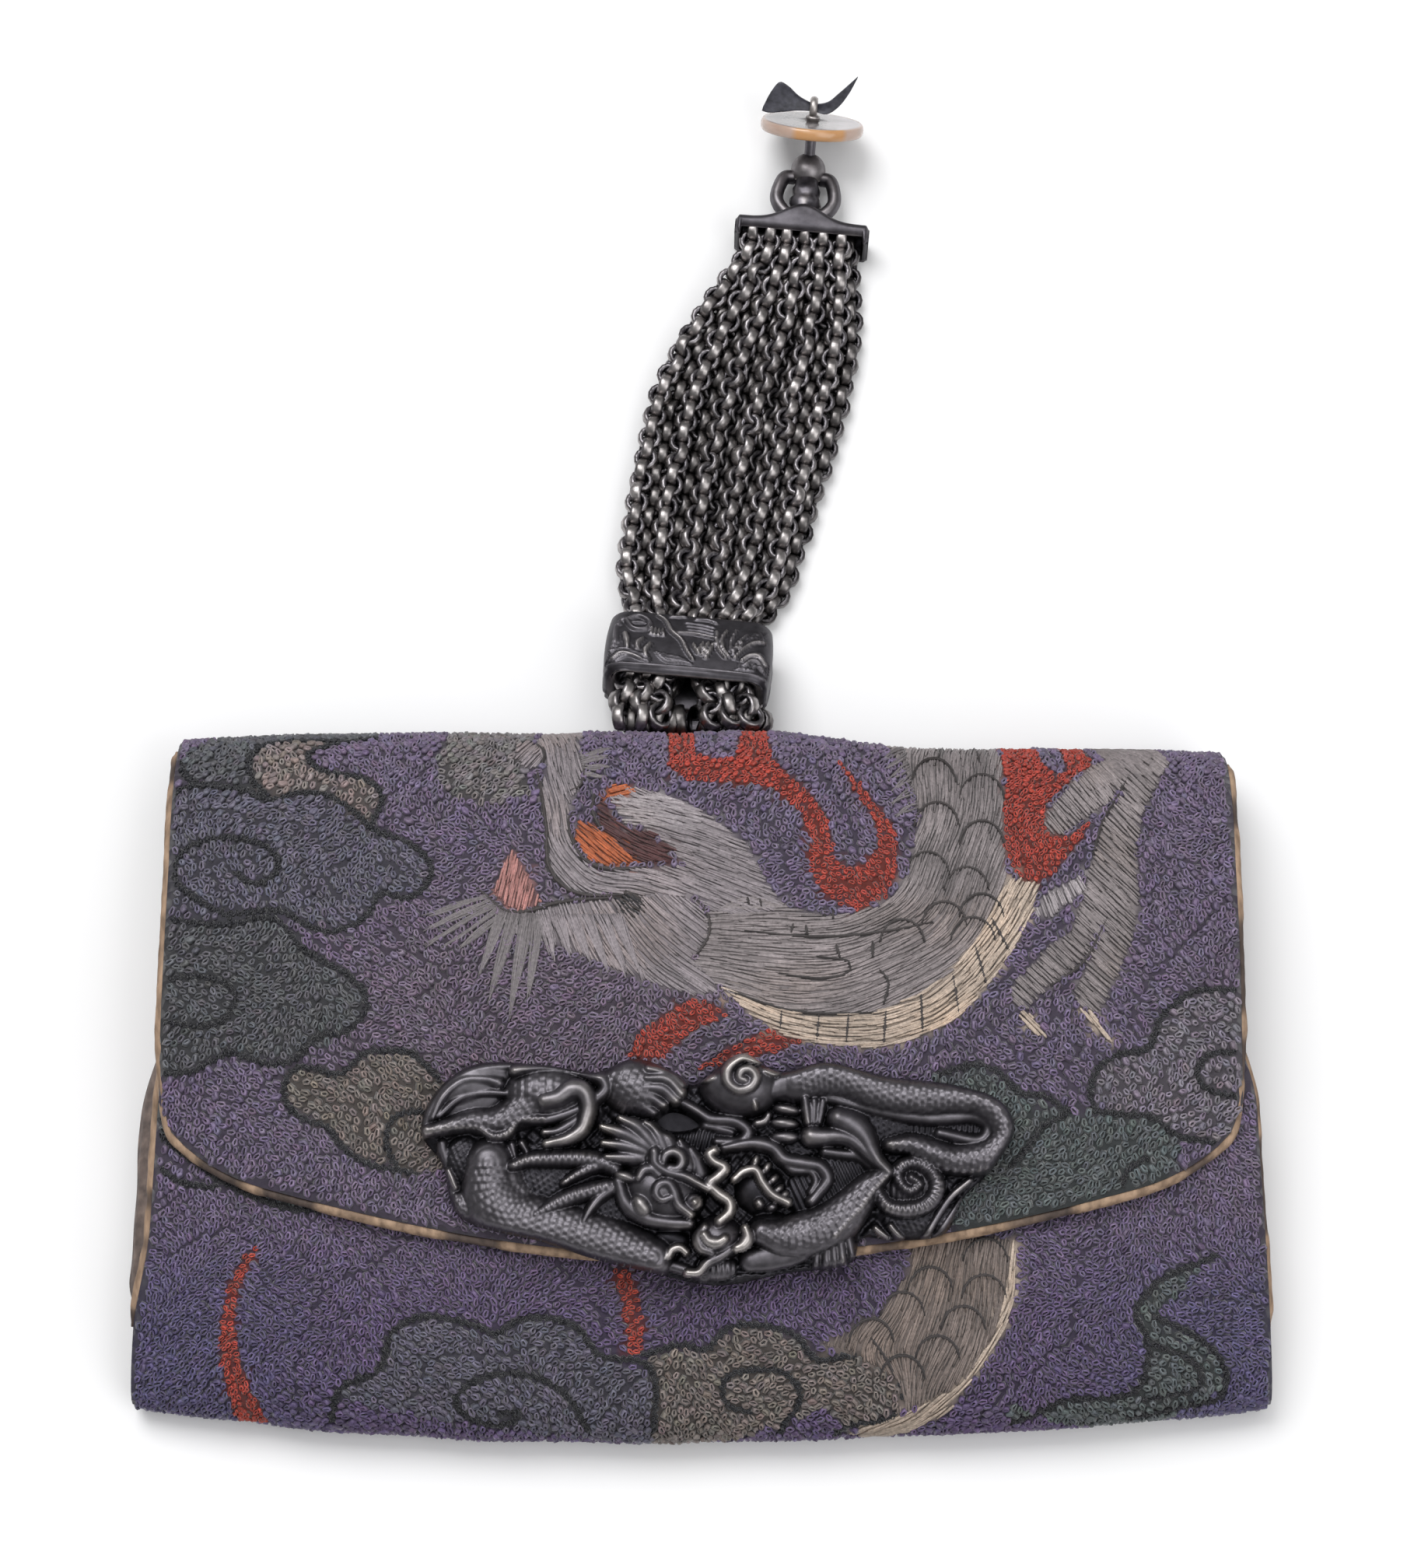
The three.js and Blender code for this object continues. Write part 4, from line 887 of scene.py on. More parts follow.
def bar_along(path, section, size):
    """One closed bar along a path, its section kept upright: points and triangles."""
    along = unit(np.gradient(path, axis=0))
    side = unit(np.cross(along, [0, 0, 1.0]))
    up = np.cross(side, along)
    return sweep(path[None], side[None], up[None], section, size[None])


# The cloth as one folded sheet

SHEET_COLUMNS = 81
# Shares that darken the sheet under the stitches: painted shade in the gaps between knots and between satin
# threads
SHEET_PAINTED_SHADE = 0.28
SATIN_GAP_PAINTED_SHADE = 0.8


def sheet_rows():
    """Distances along the cloth at which its mesh has rows."""
    rows = [np.array([0.0])]
    for name, _, _ in STRETCHES:
        start = starts_at(name)
        end = VIEW_S[np.nonzero(VIEW_NAME == name)[0][-1]]
        count = max(3, int(round((end - start) / SHEET_STEP)))
        rows.append(np.linspace(start, end, count + 1)[1:])
    return np.concatenate(rows)


def paint(colour, places, panel, patches):
    """The colours of places once patches (panel, colour, outline) are laid over them in turn."""
    for name, tone, outline in patches:
        if name == panel:
            held = inside(places, on_cloth(outline, panel))
            colour = np.where(held[:, None], tone, colour)
    return colour


def region_colour(places, panel):
    """The colour of the knots at each place (s, x) of a panel."""
    s, x = places[:, 0], places[:, 1]
    y = cloth_base(s, x)[:, 1]
    drift = np.clip(wobble(s, x, DRIFT_SCALE, DRIFT_SEED)[:, None], 0, 1)
    colour = GROUND + (GROUND_BROWN - GROUND) * drift * DRIFT_SHARE
    if panel == "front":
        purple = rise(-y, *PURPLE_BELOW)[:, None]
        blue = (rise(np.abs(x), *BLUE_ASIDE) * rise(-y, *BLUE_BELOW))[:, None]
        colour = colour + (GROUND_PURPLE - colour) * purple * PURPLE_SHARE
        colour = colour + (GROUND_BLUE - colour) * blue * BLUE_SHARE
    flames = [(name, RED, outline) for name, outline in FLAMES]
    return paint(colour, places, panel, CLOUDS + flames)


def add_cloth():
    material, nodes, links, shader = new_material("cloth_ground", roughness=0.85, sheen=0.2)
    cell = nodes.new("ShaderNodeTexVoronoi")
    cell.inputs["Scale"].default_value = 900.0
    place = nodes.new("ShaderNodeTexCoord")
    links.new(place.outputs["Object"], cell.inputs["Vector"])
    links.new(tint_output(nodes), shader.inputs["Base Color"])
    bump_node(nodes, links, shader, cell.outputs["Distance"], 0.7, 0.0006)

    rows = sheet_rows()
    u = np.linspace(-1, 1, SHEET_COLUMNS)
    x = u[None, :] * half_width(rows)[:, None]
    share = np.clip((rows - S_SEAT) / (S_END - S_SEAT), 0, 1)[:, None]
    s = np.where(share > 0, S_SEAT + share * (flap_limit(x) - S_SEAT), rows[:, None])
    outer = lift(s, x, np.zeros_like(s))
    inner = lift(s, x, np.full_like(s, -CLOTH))
    points = np.concatenate([outer, inner[:, ::-1]], axis=1)
    faces = skin_faces(len(rows), SHEET_COLUMNS)
    places = np.stack([s.ravel(), x.ravel()], axis=1)
    # The sheet takes the colour of the stitches over it, darkened as painted shade
    satin = [(name, tone * SATIN_GAP_PAINTED_SHADE, outline) for name, tone, _, outline, _ in SATIN]
    colour = np.tile(GROUND_PURPLE * SHEET_PAINTED_SHADE, (len(places), 1))
    for panel, mask in (("flap", places[:, 0] > S_FOLD_BACK), ("front", places[:, 0] < S_BACK)):
        knots = region_colour(places[mask], panel) * SHEET_PAINTED_SHADE
        colour[mask] = paint(knots, places[mask], panel, satin)
    outside = colour.reshape(len(rows), SHEET_COLUMNS, 3)
    lining = np.broadcast_to(LINING, outside.shape)
    tint = np.concatenate([outside, lining], axis=1).reshape(-1, 3)
    cloth = make_object("embroidered_wrap", points, faces[:, ::-1], material, tint)
    dress(cloth, "pouch", "cloth_wrap")


add_cloth()


# Knots

KNOT_SPACING = 0.82
KNOT_LATTICE = 0.23
KNOT_SECTIONS = 5
KNOT_RADIUS = 0.28
KNOT_ASPECT = (1.3, 1.85)
KNOT_SECTION = np.array([(-0.17, 0.06), (0.02, 0.42), (0.27, -0.14)])
# Painted light on each knot: its top painted lighter as a highlight, its hole and foot painted darker as
# shade
KNOT_PAINTED_LIGHT = np.array([0.72, 1.25, 0.55])
DARK_KNOT = 0.7
DARK_KNOT_ROOM = 0.72
DARK_ROW_SIDE = 0.12
RED_KNOT = 0.74
RED_KNOT_ROOM = 0.62
EDGE_MARGIN = 0.6
ROW_SPACING = 0.8
FIRST_KNOT_ROW = 0.42
FLAMES_FIRST = 50
UNDER_CLASP = 0.985
SHOWS_UNDER_FLAP = 3.0
SHOWS_BESIDE_FLAP = 59
CLASP_OUTLINE = [
    (-32.4, 4.2), (-31.0, 8.4), (-26.8, 11.6), (-18.9, 11.6), (-13.4, 10.8), (-8.9, 12.3), (-4.1, 10.6),
    (-2.6, 9.4), (2.8, 12.9), (6.9, 10.9), (12.0, 11.9), (18.5, 10.4), (26.4, 9.4), (31.4, 7.6),
    (32.8, 4.7), (30.4, 0.3), (27.2, -2.9), (25.1, -6.8), (19.6, -7.6), (15.9, -7.4), (14.9, -9.9),
    (7.5, -11.2), (0.1, -12.5), (-7.1, -11.1), (-13.4, -9.6), (-18.5, -7.9), (-28.2, -4.9), (-30.1, 0.8),
]


def panel_mask(s, x, panel):
    """Where a panel shows, clear of its bound edges and of the clasp."""
    mask = np.abs(x) < half_width(s) - EDGE_MARGIN
    point = cloth_base(s, x)
    if panel == "flap":
        mask &= s < flap_limit(x) - EDGE_MARGIN
        flat = point[..., :2].reshape(-1, 2) - CLASP_CENTRE
        under = inside(flat, np.array(CLASP_OUTLINE) * UNDER_CLASP).reshape(s.shape)
        mask &= ~(under & (s > S_SEAT - 6))
    else:
        edge = flap_edge_y(np.clip(x, -FLAP_HALF_WIDTH, FLAP_HALF_WIDTH))
        mask &= (point[..., 1] < edge + SHOWS_UNDER_FLAP) | (np.abs(x) > SHOWS_BESIDE_FLAP)
    return mask


def row_of_knots(curve):
    """Two staggered rows of knots along a curve."""
    along = unit(np.gradient(curve, axis=0))
    side = np.stack([-along[:, 1], along[:, 0]], axis=1) * DARK_ROW_SIDE
    return np.vstack([curve[::2] + side[::2], curve[1::2] - side[1::2]])


def knot_sites(panel, low, high):
    """Places, sizes and colours of the knots of a panel, packed outward from its outlines."""
    outlines = FLAP_OUTLINES if panel == "flap" else FRONT_OUTLINES
    dark = [row_of_knots(cloth_curve(path, panel, ROW_SPACING / 2)) for path in outlines.values()]
    dark = np.vstack(dark)
    dark = dark[panel_mask(dark[:, 0], dark[:, 1], panel)]
    satin = [on_cloth(row[3], panel) for row in SATIN if row[0] == panel]
    flames = [on_cloth(row[1], panel) for row in FLAMES if row[0] == panel]
    for area in satin:
        dark = dark[~inside(dark, area)]
    edges = [resample(np.vstack([area, area[:1]]), 0.4) for area in satin + flames]
    s = np.arange(low, high, KNOT_LATTICE)
    x = np.arange(-BOTTOM_HALF_WIDTH, BOTTOM_HALF_WIDTH, KNOT_LATTICE)
    grid_s, grid_x = np.meshgrid(s, x, indexing="ij")
    places = np.stack([grid_s.ravel(), grid_x.ravel()], axis=1)
    free = panel_mask(grid_s, grid_x, panel).ravel()
    for area in satin:
        free &= ~inside(places, area)
    off_row = np.abs(nearest_distance(places, np.vstack([dark] + edges)) - FIRST_KNOT_ROW)
    key = off_row + rng.uniform(0, 0.1, len(places))
    in_flame = np.any([inside(places, area) for area in flames], axis=0)
    key[in_flame] -= FLAMES_FIRST
    blocked = ~free.reshape(grid_s.shape)
    reach = int(KNOT_SPACING / KNOT_LATTICE)
    di, dj = np.mgrid[-reach:reach + 1, -reach:reach + 1]
    apart = np.hypot(di, dj) * KNOT_LATTICE
    plain, small, red = (apart < room for room in (KNOT_SPACING, DARK_KNOT_ROOM, RED_KNOT_ROOM))

    def block(i, j, shape):
        i0, i1 = max(i - reach, 0), min(i + reach + 1, blocked.shape[0])
        j0, j1 = max(j - reach, 0), min(j + reach + 1, blocked.shape[1])
        blocked[i0:i1, j0:j1] |= shape[i0 - i + reach:i1 - i + reach, j0 - j + reach:j1 - j + reach]

    for i, j in np.round((dark - [s[0], x[0]]) / KNOT_LATTICE).astype(int):
        if 0 <= i < len(s) and 0 <= j < len(x):
            block(i, j, small)
    chosen = []
    for index in np.argsort(key, kind="stable"):
        i, j = divmod(int(index), len(x))
        if not blocked[i, j]:
            chosen.append(index)
            block(i, j, red if in_flame[index] else plain)
    fill = places[chosen] + rng.normal(0, 0.05, (len(chosen), 2))
    sites = np.vstack([dark, fill])
    size = np.r_[np.full(len(dark), DARK_KNOT), np.where(in_flame[chosen], RED_KNOT, 1.0)]
    size = size * rng.uniform(0.88, 1.1, len(sites))
    colour = np.vstack([np.tile(OUTLINE, (len(dark), 1)), region_colour(fill, panel)])
    return sites, size, colour


def add_knots(name, sites, size, colour):
    """Small curled rings of thread standing on the cloth."""
    count = len(sites)
    point, normal, along, across = cloth_frame(sites[:, 0], sites[:, 1])
    turn = (1.5 * wobble(sites[:, 0], sites[:, 1], 11, 12) + rng.normal(0, 0.5, count))[:, None]
    tip = rng.normal(0, 0.3, (count, 2))
    normal = unit(normal + along * tip[:, :1] + across * tip[:, 1:])
    a = unit(along * np.cos(turn) + across * np.sin(turn))
    a = unit(a - normal * (a * normal).sum(axis=1, keepdims=True))
    b = np.cross(normal, a)
    aspect = rng.uniform(*KNOT_ASPECT, count)
    scale = size[:, None]
    long_half, short_half = KNOT_RADIUS * aspect, KNOT_RADIUS / aspect**0.5
    points, faces = rings(point, a * scale, b * scale, normal * scale, long_half, short_half,
                          KNOT_SECTION, KNOT_SECTIONS)
    shade = rng.normal(1.0, 0.15, (count, 1)) * (1 + rng.normal(0, 0.035, (count, 3)))
    tint = np.clip(colour * np.clip(shade, 0.6, 1.5), 0, 1)
    per_knot = KNOT_SECTIONS * len(KNOT_SECTION)
    # Painted highlight on each knot's top, and painted shade in its hole and at its foot
    tint = np.repeat(tint, per_knot, axis=0) * np.tile(KNOT_PAINTED_LIGHT, count * KNOT_SECTIONS)[:, None]
    dress(make_object(name, points, faces, SILK_KNOTS, tint), "pouch")


def add_all_knots():
    sites, size, colour = knot_sites("flap", S_FOLD_BACK + 0.5, S_END)
    fold = sites[:, 0] < S_FLAP
    add_knots("knots_fold", sites[fold], size[fold], colour[fold])
    add_knots("knots_flap", sites[~fold], size[~fold], colour[~fold])
    sites, size, colour = knot_sites("front", S_FRONT_LOWER - 20, S_BACK - 0.8)
    bottom = sites[:, 0] > S_BOTTOM_FOLD
    add_knots("knots_bottom", sites[bottom], size[bottom], colour[bottom])
    add_knots("knots_front", sites[~bottom], size[~bottom], colour[~bottom])


add_all_knots()


# Satin stitches of the dragon

SATIN_WIDTH = 0.19
SATIN_HEIGHT = 0.26
SATIN_STEPS = 6
SATIN_PITCH = 0.69
# The first few lines, round the dragon's mouth and eye, are bold
BOLD_LINES = 4
BOLD_LINE = 1.8
FINE_LINE = 1.15
SATIN_LENGTH = 3.2
EDGE_CREEP = 0.12
PATCH_LAYER = 0.009
LINE_POINTS = 12
WARM_THREAD = np.array([0.05, 0.0, -0.06])
SCALED_PATCHES = ("neck", "body")
SATIN_SECTION = np.array([(-1.0, -0.35), (0.0, 1.0), (1.0, -0.35)])


def guide_direction(places, starts, ends):
    """The direction of the threads at each place, from a patch's guide lines."""
    middle = (starts + ends) / 2
    lean = unit(ends - starts)
    gap = ((places[:, None, :] - middle[None]) ** 2).sum(axis=2)
    weight = 1 / (gap + 2.0)
    return unit((weight[:, :, None] * lean[None]).sum(axis=1))


def patch_threads(panel, outline, guides):
    """Paths (s, x) of the threads that fill one patch."""
    area = on_cloth(outline, panel)
    starts = on_cloth([g[0] for g in guides], panel)
    ends = on_cloth([g[1] for g in guides], panel)
    low, high = area.min(axis=0), area.max(axis=0)
    s, x = (np.arange(low[k], high[k], SATIN_PITCH) for k in range(2))
    seeds = np.stack([g.ravel() for g in np.meshgrid(s, x, indexing="ij")], axis=1)
    seeds = seeds + rng.uniform(-0.5, 0.5, seeds.shape) * SATIN_PITCH
    seeds = seeds[inside(seeds, area)]
    if len(seeds) == 0:
        return np.zeros((0, SATIN_STEPS + 1, 2))
    reach = SATIN_LENGTH * rng.uniform(0.7, 1.2, (len(seeds), 1)) / SATIN_STEPS
    halves = []
    for sign in (-1, 1):
        place = seeds.copy()
        steps = [place]
        for _ in range(SATIN_STEPS // 2):
            ahead = place + sign * reach * guide_direction(place, starts, ends)
            place = np.where(inside(ahead, area)[:, None], ahead, place + (ahead - place) * EDGE_CREEP)
            steps.append(place)
        halves.append(steps)
    path = halves[0][::-1] + halves[1][1:]
    return np.stack(path, axis=1)


def thread_mesh(paths, half_width_mm, height, base):
    """Closed ridges of thread along paths (s, x)."""
    point, normal, _, _ = cloth_frame(paths[..., 0], paths[..., 1])
    point = point + normal * base[:, None, None]
    along = unit(np.gradient(point, axis=1))
    side = unit(np.cross(normal, along)) * half_width_mm
    taper = np.sin(np.linspace(0.12, math.pi - 0.12, paths.shape[1])) ** 0.35
    return sweep(point, side, normal * height, SATIN_SECTION, np.tile(taper, (len(paths), 1)))


def scale_shadow(middles, panel):
    """Darker just under the top of each scale."""
    tops = [scale_arc(centre, panel) for name, centres in SCALES if name == panel for centre in centres]
    near = nearest_distance(middles, np.vstack(tops))
    return SCALE_DARK + SCALE_LIFT * smooth(near / SCALE_SHADOW_WIDTH)


def scale_arc(centre, panel):
    """The rounded top of a scale as a curve on the cloth."""
    angle = np.radians(np.linspace(*SCALE_ARC, 9))
    across = centre[0] + SCALE_RADIUS * np.cos(angle)
    down = centre[1] + SCALE_RADIUS * SCALE_HEIGHT * np.sin(angle)
    return cloth_curve(np.stack([across, down], axis=1), panel, 0.5)


def add_threads(name, paths, tint, width, base):
    points, faces = thread_mesh(paths, width, SATIN_HEIGHT, base)
    tint = np.repeat(tint, paths.shape[1] * len(SATIN_SECTION), axis=0)
    dress(make_object(name, points, faces, SILK_SATIN, tint), "pouch")


def add_satin(panel):
    parts, tints = [], []
    for name, tone, label, outline, guides in SATIN:
        if name != panel:
            continue
        paths = patch_threads(panel, outline, guides)
        s, x = paths[:, SATIN_STEPS // 2].T
        shade = rng.normal(1.0, 0.12, (len(paths), 1)) * (1 + 0.13 * wobble(s, x, 5, 8))[:, None]
        if label in SCALED_PATCHES:
            shade = shade * scale_shadow(paths[:, SATIN_STEPS // 2], panel)[:, None]
        warm = np.clip(wobble(s, x, 7, 3), 0, 1)[:, None] * WARM_THREAD
        parts.append(paths)
        tints.append(np.clip(tone * shade * (1 + warm), 0.01, 1))
    order = np.concatenate([np.full(len(part), k) for k, part in enumerate(parts)])
    base = rng.uniform(0.0, 0.1, len(order)) + PATCH_LAYER * order
    add_threads("satin_" + panel, np.vstack(parts), np.vstack(tints), SATIN_WIDTH, base)


def tuft_paths(panel, count, points, roots, tips):
    """Paths (s, x) of the threads of one tuft, drawn together into a few points."""
    root = spline(on_cloth(roots, panel), 0.1)
    tip = spline(on_cloth(tips, panel), 0.1)
    share = np.linspace(0, 1, count)
    start = root[(share * (len(root) - 1)).astype(int)]
    share = (np.floor(share * points * 0.999) + 0.5) / points
    end = tip[(share * (len(tip) - 1)).astype(int)] + rng.normal(0, 0.12, (count, 2))
    t = np.linspace(0, 1, LINE_POINTS)[None, :, None]
    reach = rng.uniform(0.75, 1.0, (count, 1, 1))
    bend = np.sin(t * math.pi) * rng.normal(0, 0.15, (count, 1, 2))
    return start[:, None] + (end - start)[:, None] * t * reach + bend


def add_tufts_and_lines():
    paths, tints, widths = [], [], []
    for panel, tone, count, points, roots, tips in TUFTS:
        paths.append(tuft_paths(panel, count, points, roots, tips))
        tints.append(tone * rng.normal(1.0, 0.12, (count, 1)))
        widths.append(np.full(count, 1.0))
    lines = [cloth_curve(path, panel, 0.3) for panel, rows in LINES.items() for path in rows]
    lines += [scale_arc(centre, panel) for panel, centres in SCALES for centre in centres]
    for number, curve in enumerate(lines):
        paths.append(even_points(curve, LINE_POINTS)[None])
        tints.append(DARK_THREAD[None] * rng.normal(1.0, 0.1))
        widths.append(np.full(1, BOLD_LINE if number < BOLD_LINES else FINE_LINE))
    paths = np.vstack(paths)
    width = SATIN_WIDTH * np.concatenate(widths)[:, None, None]
    base = rng.uniform(0.2, 0.28, len(paths))
    add_threads("single_threads", paths, np.clip(np.vstack(tints), 0.01, 1), width, base)


add_satin("flap")
add_satin("front")
add_tufts_and_lines()


# Metal: dark tarnish and painted shade in the hollows, bright wear and painted highlight on ridges and edges

def metal_material(name, roughness, grain, wear):
    stops = [(0.3, (1 - wear,) * 3), (0.7, (1 + wear,) * 3)]
    surface = {"metallic": 1.0, "roughness": roughness}
    return grain_material(name, grain, 5.0, stops, METAL_BUMP, tinted=True, **surface)[0]


CAST_SILVER = metal_material("cast_silver", 0.43, 900.0, 0.25)
CHAIN_SILVER = metal_material("chain_silver", 0.34, 1400.0, 0.35)
SILVER_DARK = srgb(46, 45, 49)
SILVER_MID = srgb(104, 101, 106)
SILVER_BRIGHT = srgb(196, 190, 186)


def silver_tint(wear):
    """A colour for metal from -1, dark in the hollows, to 1, bright on the edges: used for tarnish and wear,
    and for painted shade and highlight.
    """
    wear = np.asarray(wear)[..., None]
    low = SILVER_DARK + (SILVER_MID - SILVER_DARK) * np.clip(wear + 1, 0, 1)
    return low + (SILVER_BRIGHT - SILVER_MID) * np.clip(wear, 0, 1)


# Relief from domes and strokes

# Textures: height and pitch
DOME_TEXTURES = {"smooth": (0, 1), "scales": (0.24, 0.85), "ribs": (0.14, 0.62), "rough": (0.26, 0.6)}
STROKE_TEXTURES = {"smooth": (0, 1), "scales": (0.24, 0.75), "spine": (0.22, 0.7), "beads": (0.16, 0.7),
                   "ribs": (0.12, 0.6)}
STROKE_STEP = 0.1
SPINE_HEIGHT = 0.5
SPINE_PITCH = 0.8


def scale_bump(along, across, pitch):
    """Overlapping scales, 0 in their joints and 1 on their backs."""
    row = np.floor(along / pitch)
    cell = across / (pitch * 1.1) + 0.5 * (row % 2)
    cell = cell - np.floor(cell) - 0.5
    rise = along / pitch - row
    return np.sqrt(np.clip(1 - 4 * cell**2, 0, 1)) * (0.35 + 0.65 * rise) * smooth((1 - rise) * 6)


def dome_height(cells, centre, half, tilt, foot, top, texture):
    """Which cells a rounded mass covers, and its height there."""
    turn = math.radians(tilt)
    gap = cells - centre
    a = gap[:, 0] * math.cos(turn) + gap[:, 1] * math.sin(turn)
    b = gap[:, 1] * math.cos(turn) - gap[:, 0] * math.sin(turn)
    q = (a / half[0])**2 + (b / half[1])**2
    index = np.nonzero(q < 1)[0]
    a, b = a[index], b[index]
    swell = np.sqrt(1 - q[index])
    height = foot + (top - foot) * swell
    depth, pitch = DOME_TEXTURES[texture]
    if texture == "scales":
        height = height + depth * scale_bump(a, b, pitch) * swell
    elif texture == "ribs":
        height = height + depth * np.cos(a * 2 * math.pi / pitch) * swell
    elif texture == "rough":
        height = height + depth * scale_bump(a + 0.3 * b, b, pitch) * swell
    return index, height


def stroke_height(cells, path, radii, foot, top, texture):
    """Which cells a rounded stroke covers, and its height there."""
    curve = spline(path, STROKE_STEP)
    length = np.arange(len(curve)) * STROKE_STEP
    radius = np.interp(length / length[-1], np.linspace(0, 1, len(radii)), radii)
    low, high = curve.min(axis=0) - max(radii), curve.max(axis=0) + max(radii)
    near = np.nonzero(((cells > low) & (cells < high)).all(axis=1))[0]
    gap = cells[near][:, None, :] - curve[None]
    distance = (gap**2).sum(axis=2)
    best = distance.argmin(axis=1)
    distance = np.sqrt(distance[np.arange(len(near)), best])
    lean = np.gradient(curve, axis=0)[best]
    off = cells[near] - curve[best]
    side = distance * np.sign(lean[:, 0] * off[:, 1] - lean[:, 1] * off[:, 0])
    share = distance / radius[best]
    held = share < 1
    swell = np.sqrt(1 - share[held]**2)
    height = foot + (top - foot) * swell
    at, side, share = length[best][held], side[held], share[held]
    depth, pitch = STROKE_TEXTURES[texture]
    if texture in ("scales", "spine"):
        height = height + depth * scale_bump(at, side, pitch) * swell
    if texture == "spine":
        along_edge = smooth((side / radius[best][held] - 0.5) / 0.3)
        beads = np.abs(np.sin(at * math.pi / SPINE_PITCH)) * along_edge
        height = height + SPINE_HEIGHT * beads * smooth((1 - share) * 5)
    elif texture == "beads":
        height = height + depth * np.abs(np.sin(at * math.pi / pitch))
    elif texture == "ribs":
        height = height + depth * np.cos(at * 2 * math.pi / pitch) * swell
    return near[held], height


def relief(cells, floor_height, domes, strokes):
    """The height of every cell under a set of masses and strokes, and how far each is polished; on the clasp
    the polish also paints highlights.
    """
    height = floor_height.copy()
    shine = np.zeros(len(cells))
    shapes = [(dome_height, row) for row in domes] + [(stroke_height, row) for row in strokes]
    for shape, (*form, texture, polish) in shapes:
        index, top = shape(cells, *form, texture)
        higher = top > height[index]
        height[index[higher]] = top[higher]
        shine[index[higher]] = polish
    return height, shine


def blur(field, reach):
    """A box blur of a grid, twice over."""
    kernel = np.ones(2 * reach + 1) / (2 * reach + 1)
    for _ in range(2):
        padded = np.pad(field, reach, mode="edge")
        rows = np.apply_along_axis(np.convolve, 0, padded, kernel, mode="valid")
        field = np.apply_along_axis(np.convolve, 1, rows, kernel, mode="valid")
    return field


# The cast clasp

SEAT_SLOPE = math.atan2(FLAP_CREST[1] - FLAP_FOOT[1], FLAP_CREST[0] - FLAP_FOOT[0])
CLASP_CELL = 0.16
CLASP_LIFT = 0.3
CLASP_PLATE = 1.5
PLATE_GROOVES = 5.2
CLASP_EDGE = 1.0
CLASP_RIM = 0.4
STROKE_GROWS = 1.25
STROKE_ADDS = 0.1
# Wear and painted light on the clasp: ridges painted bright as highlights, the plate and hollows painted dark
# as shade over their oxide, polish painted as highlights
RIDGE_WEAR_AND_PAINTED_LIGHT = 0.24
PLAIN_DARK = 0.3
HOLLOW_OXIDE_AND_PAINTED_SHADE = 0.6
POLISH_AND_PAINTED_HIGHLIGHT = 0.55
CLASP_PIXEL = np.array([920, 1505])
CLASP_PIXEL_SIZE = np.array([0.086, -0.084])
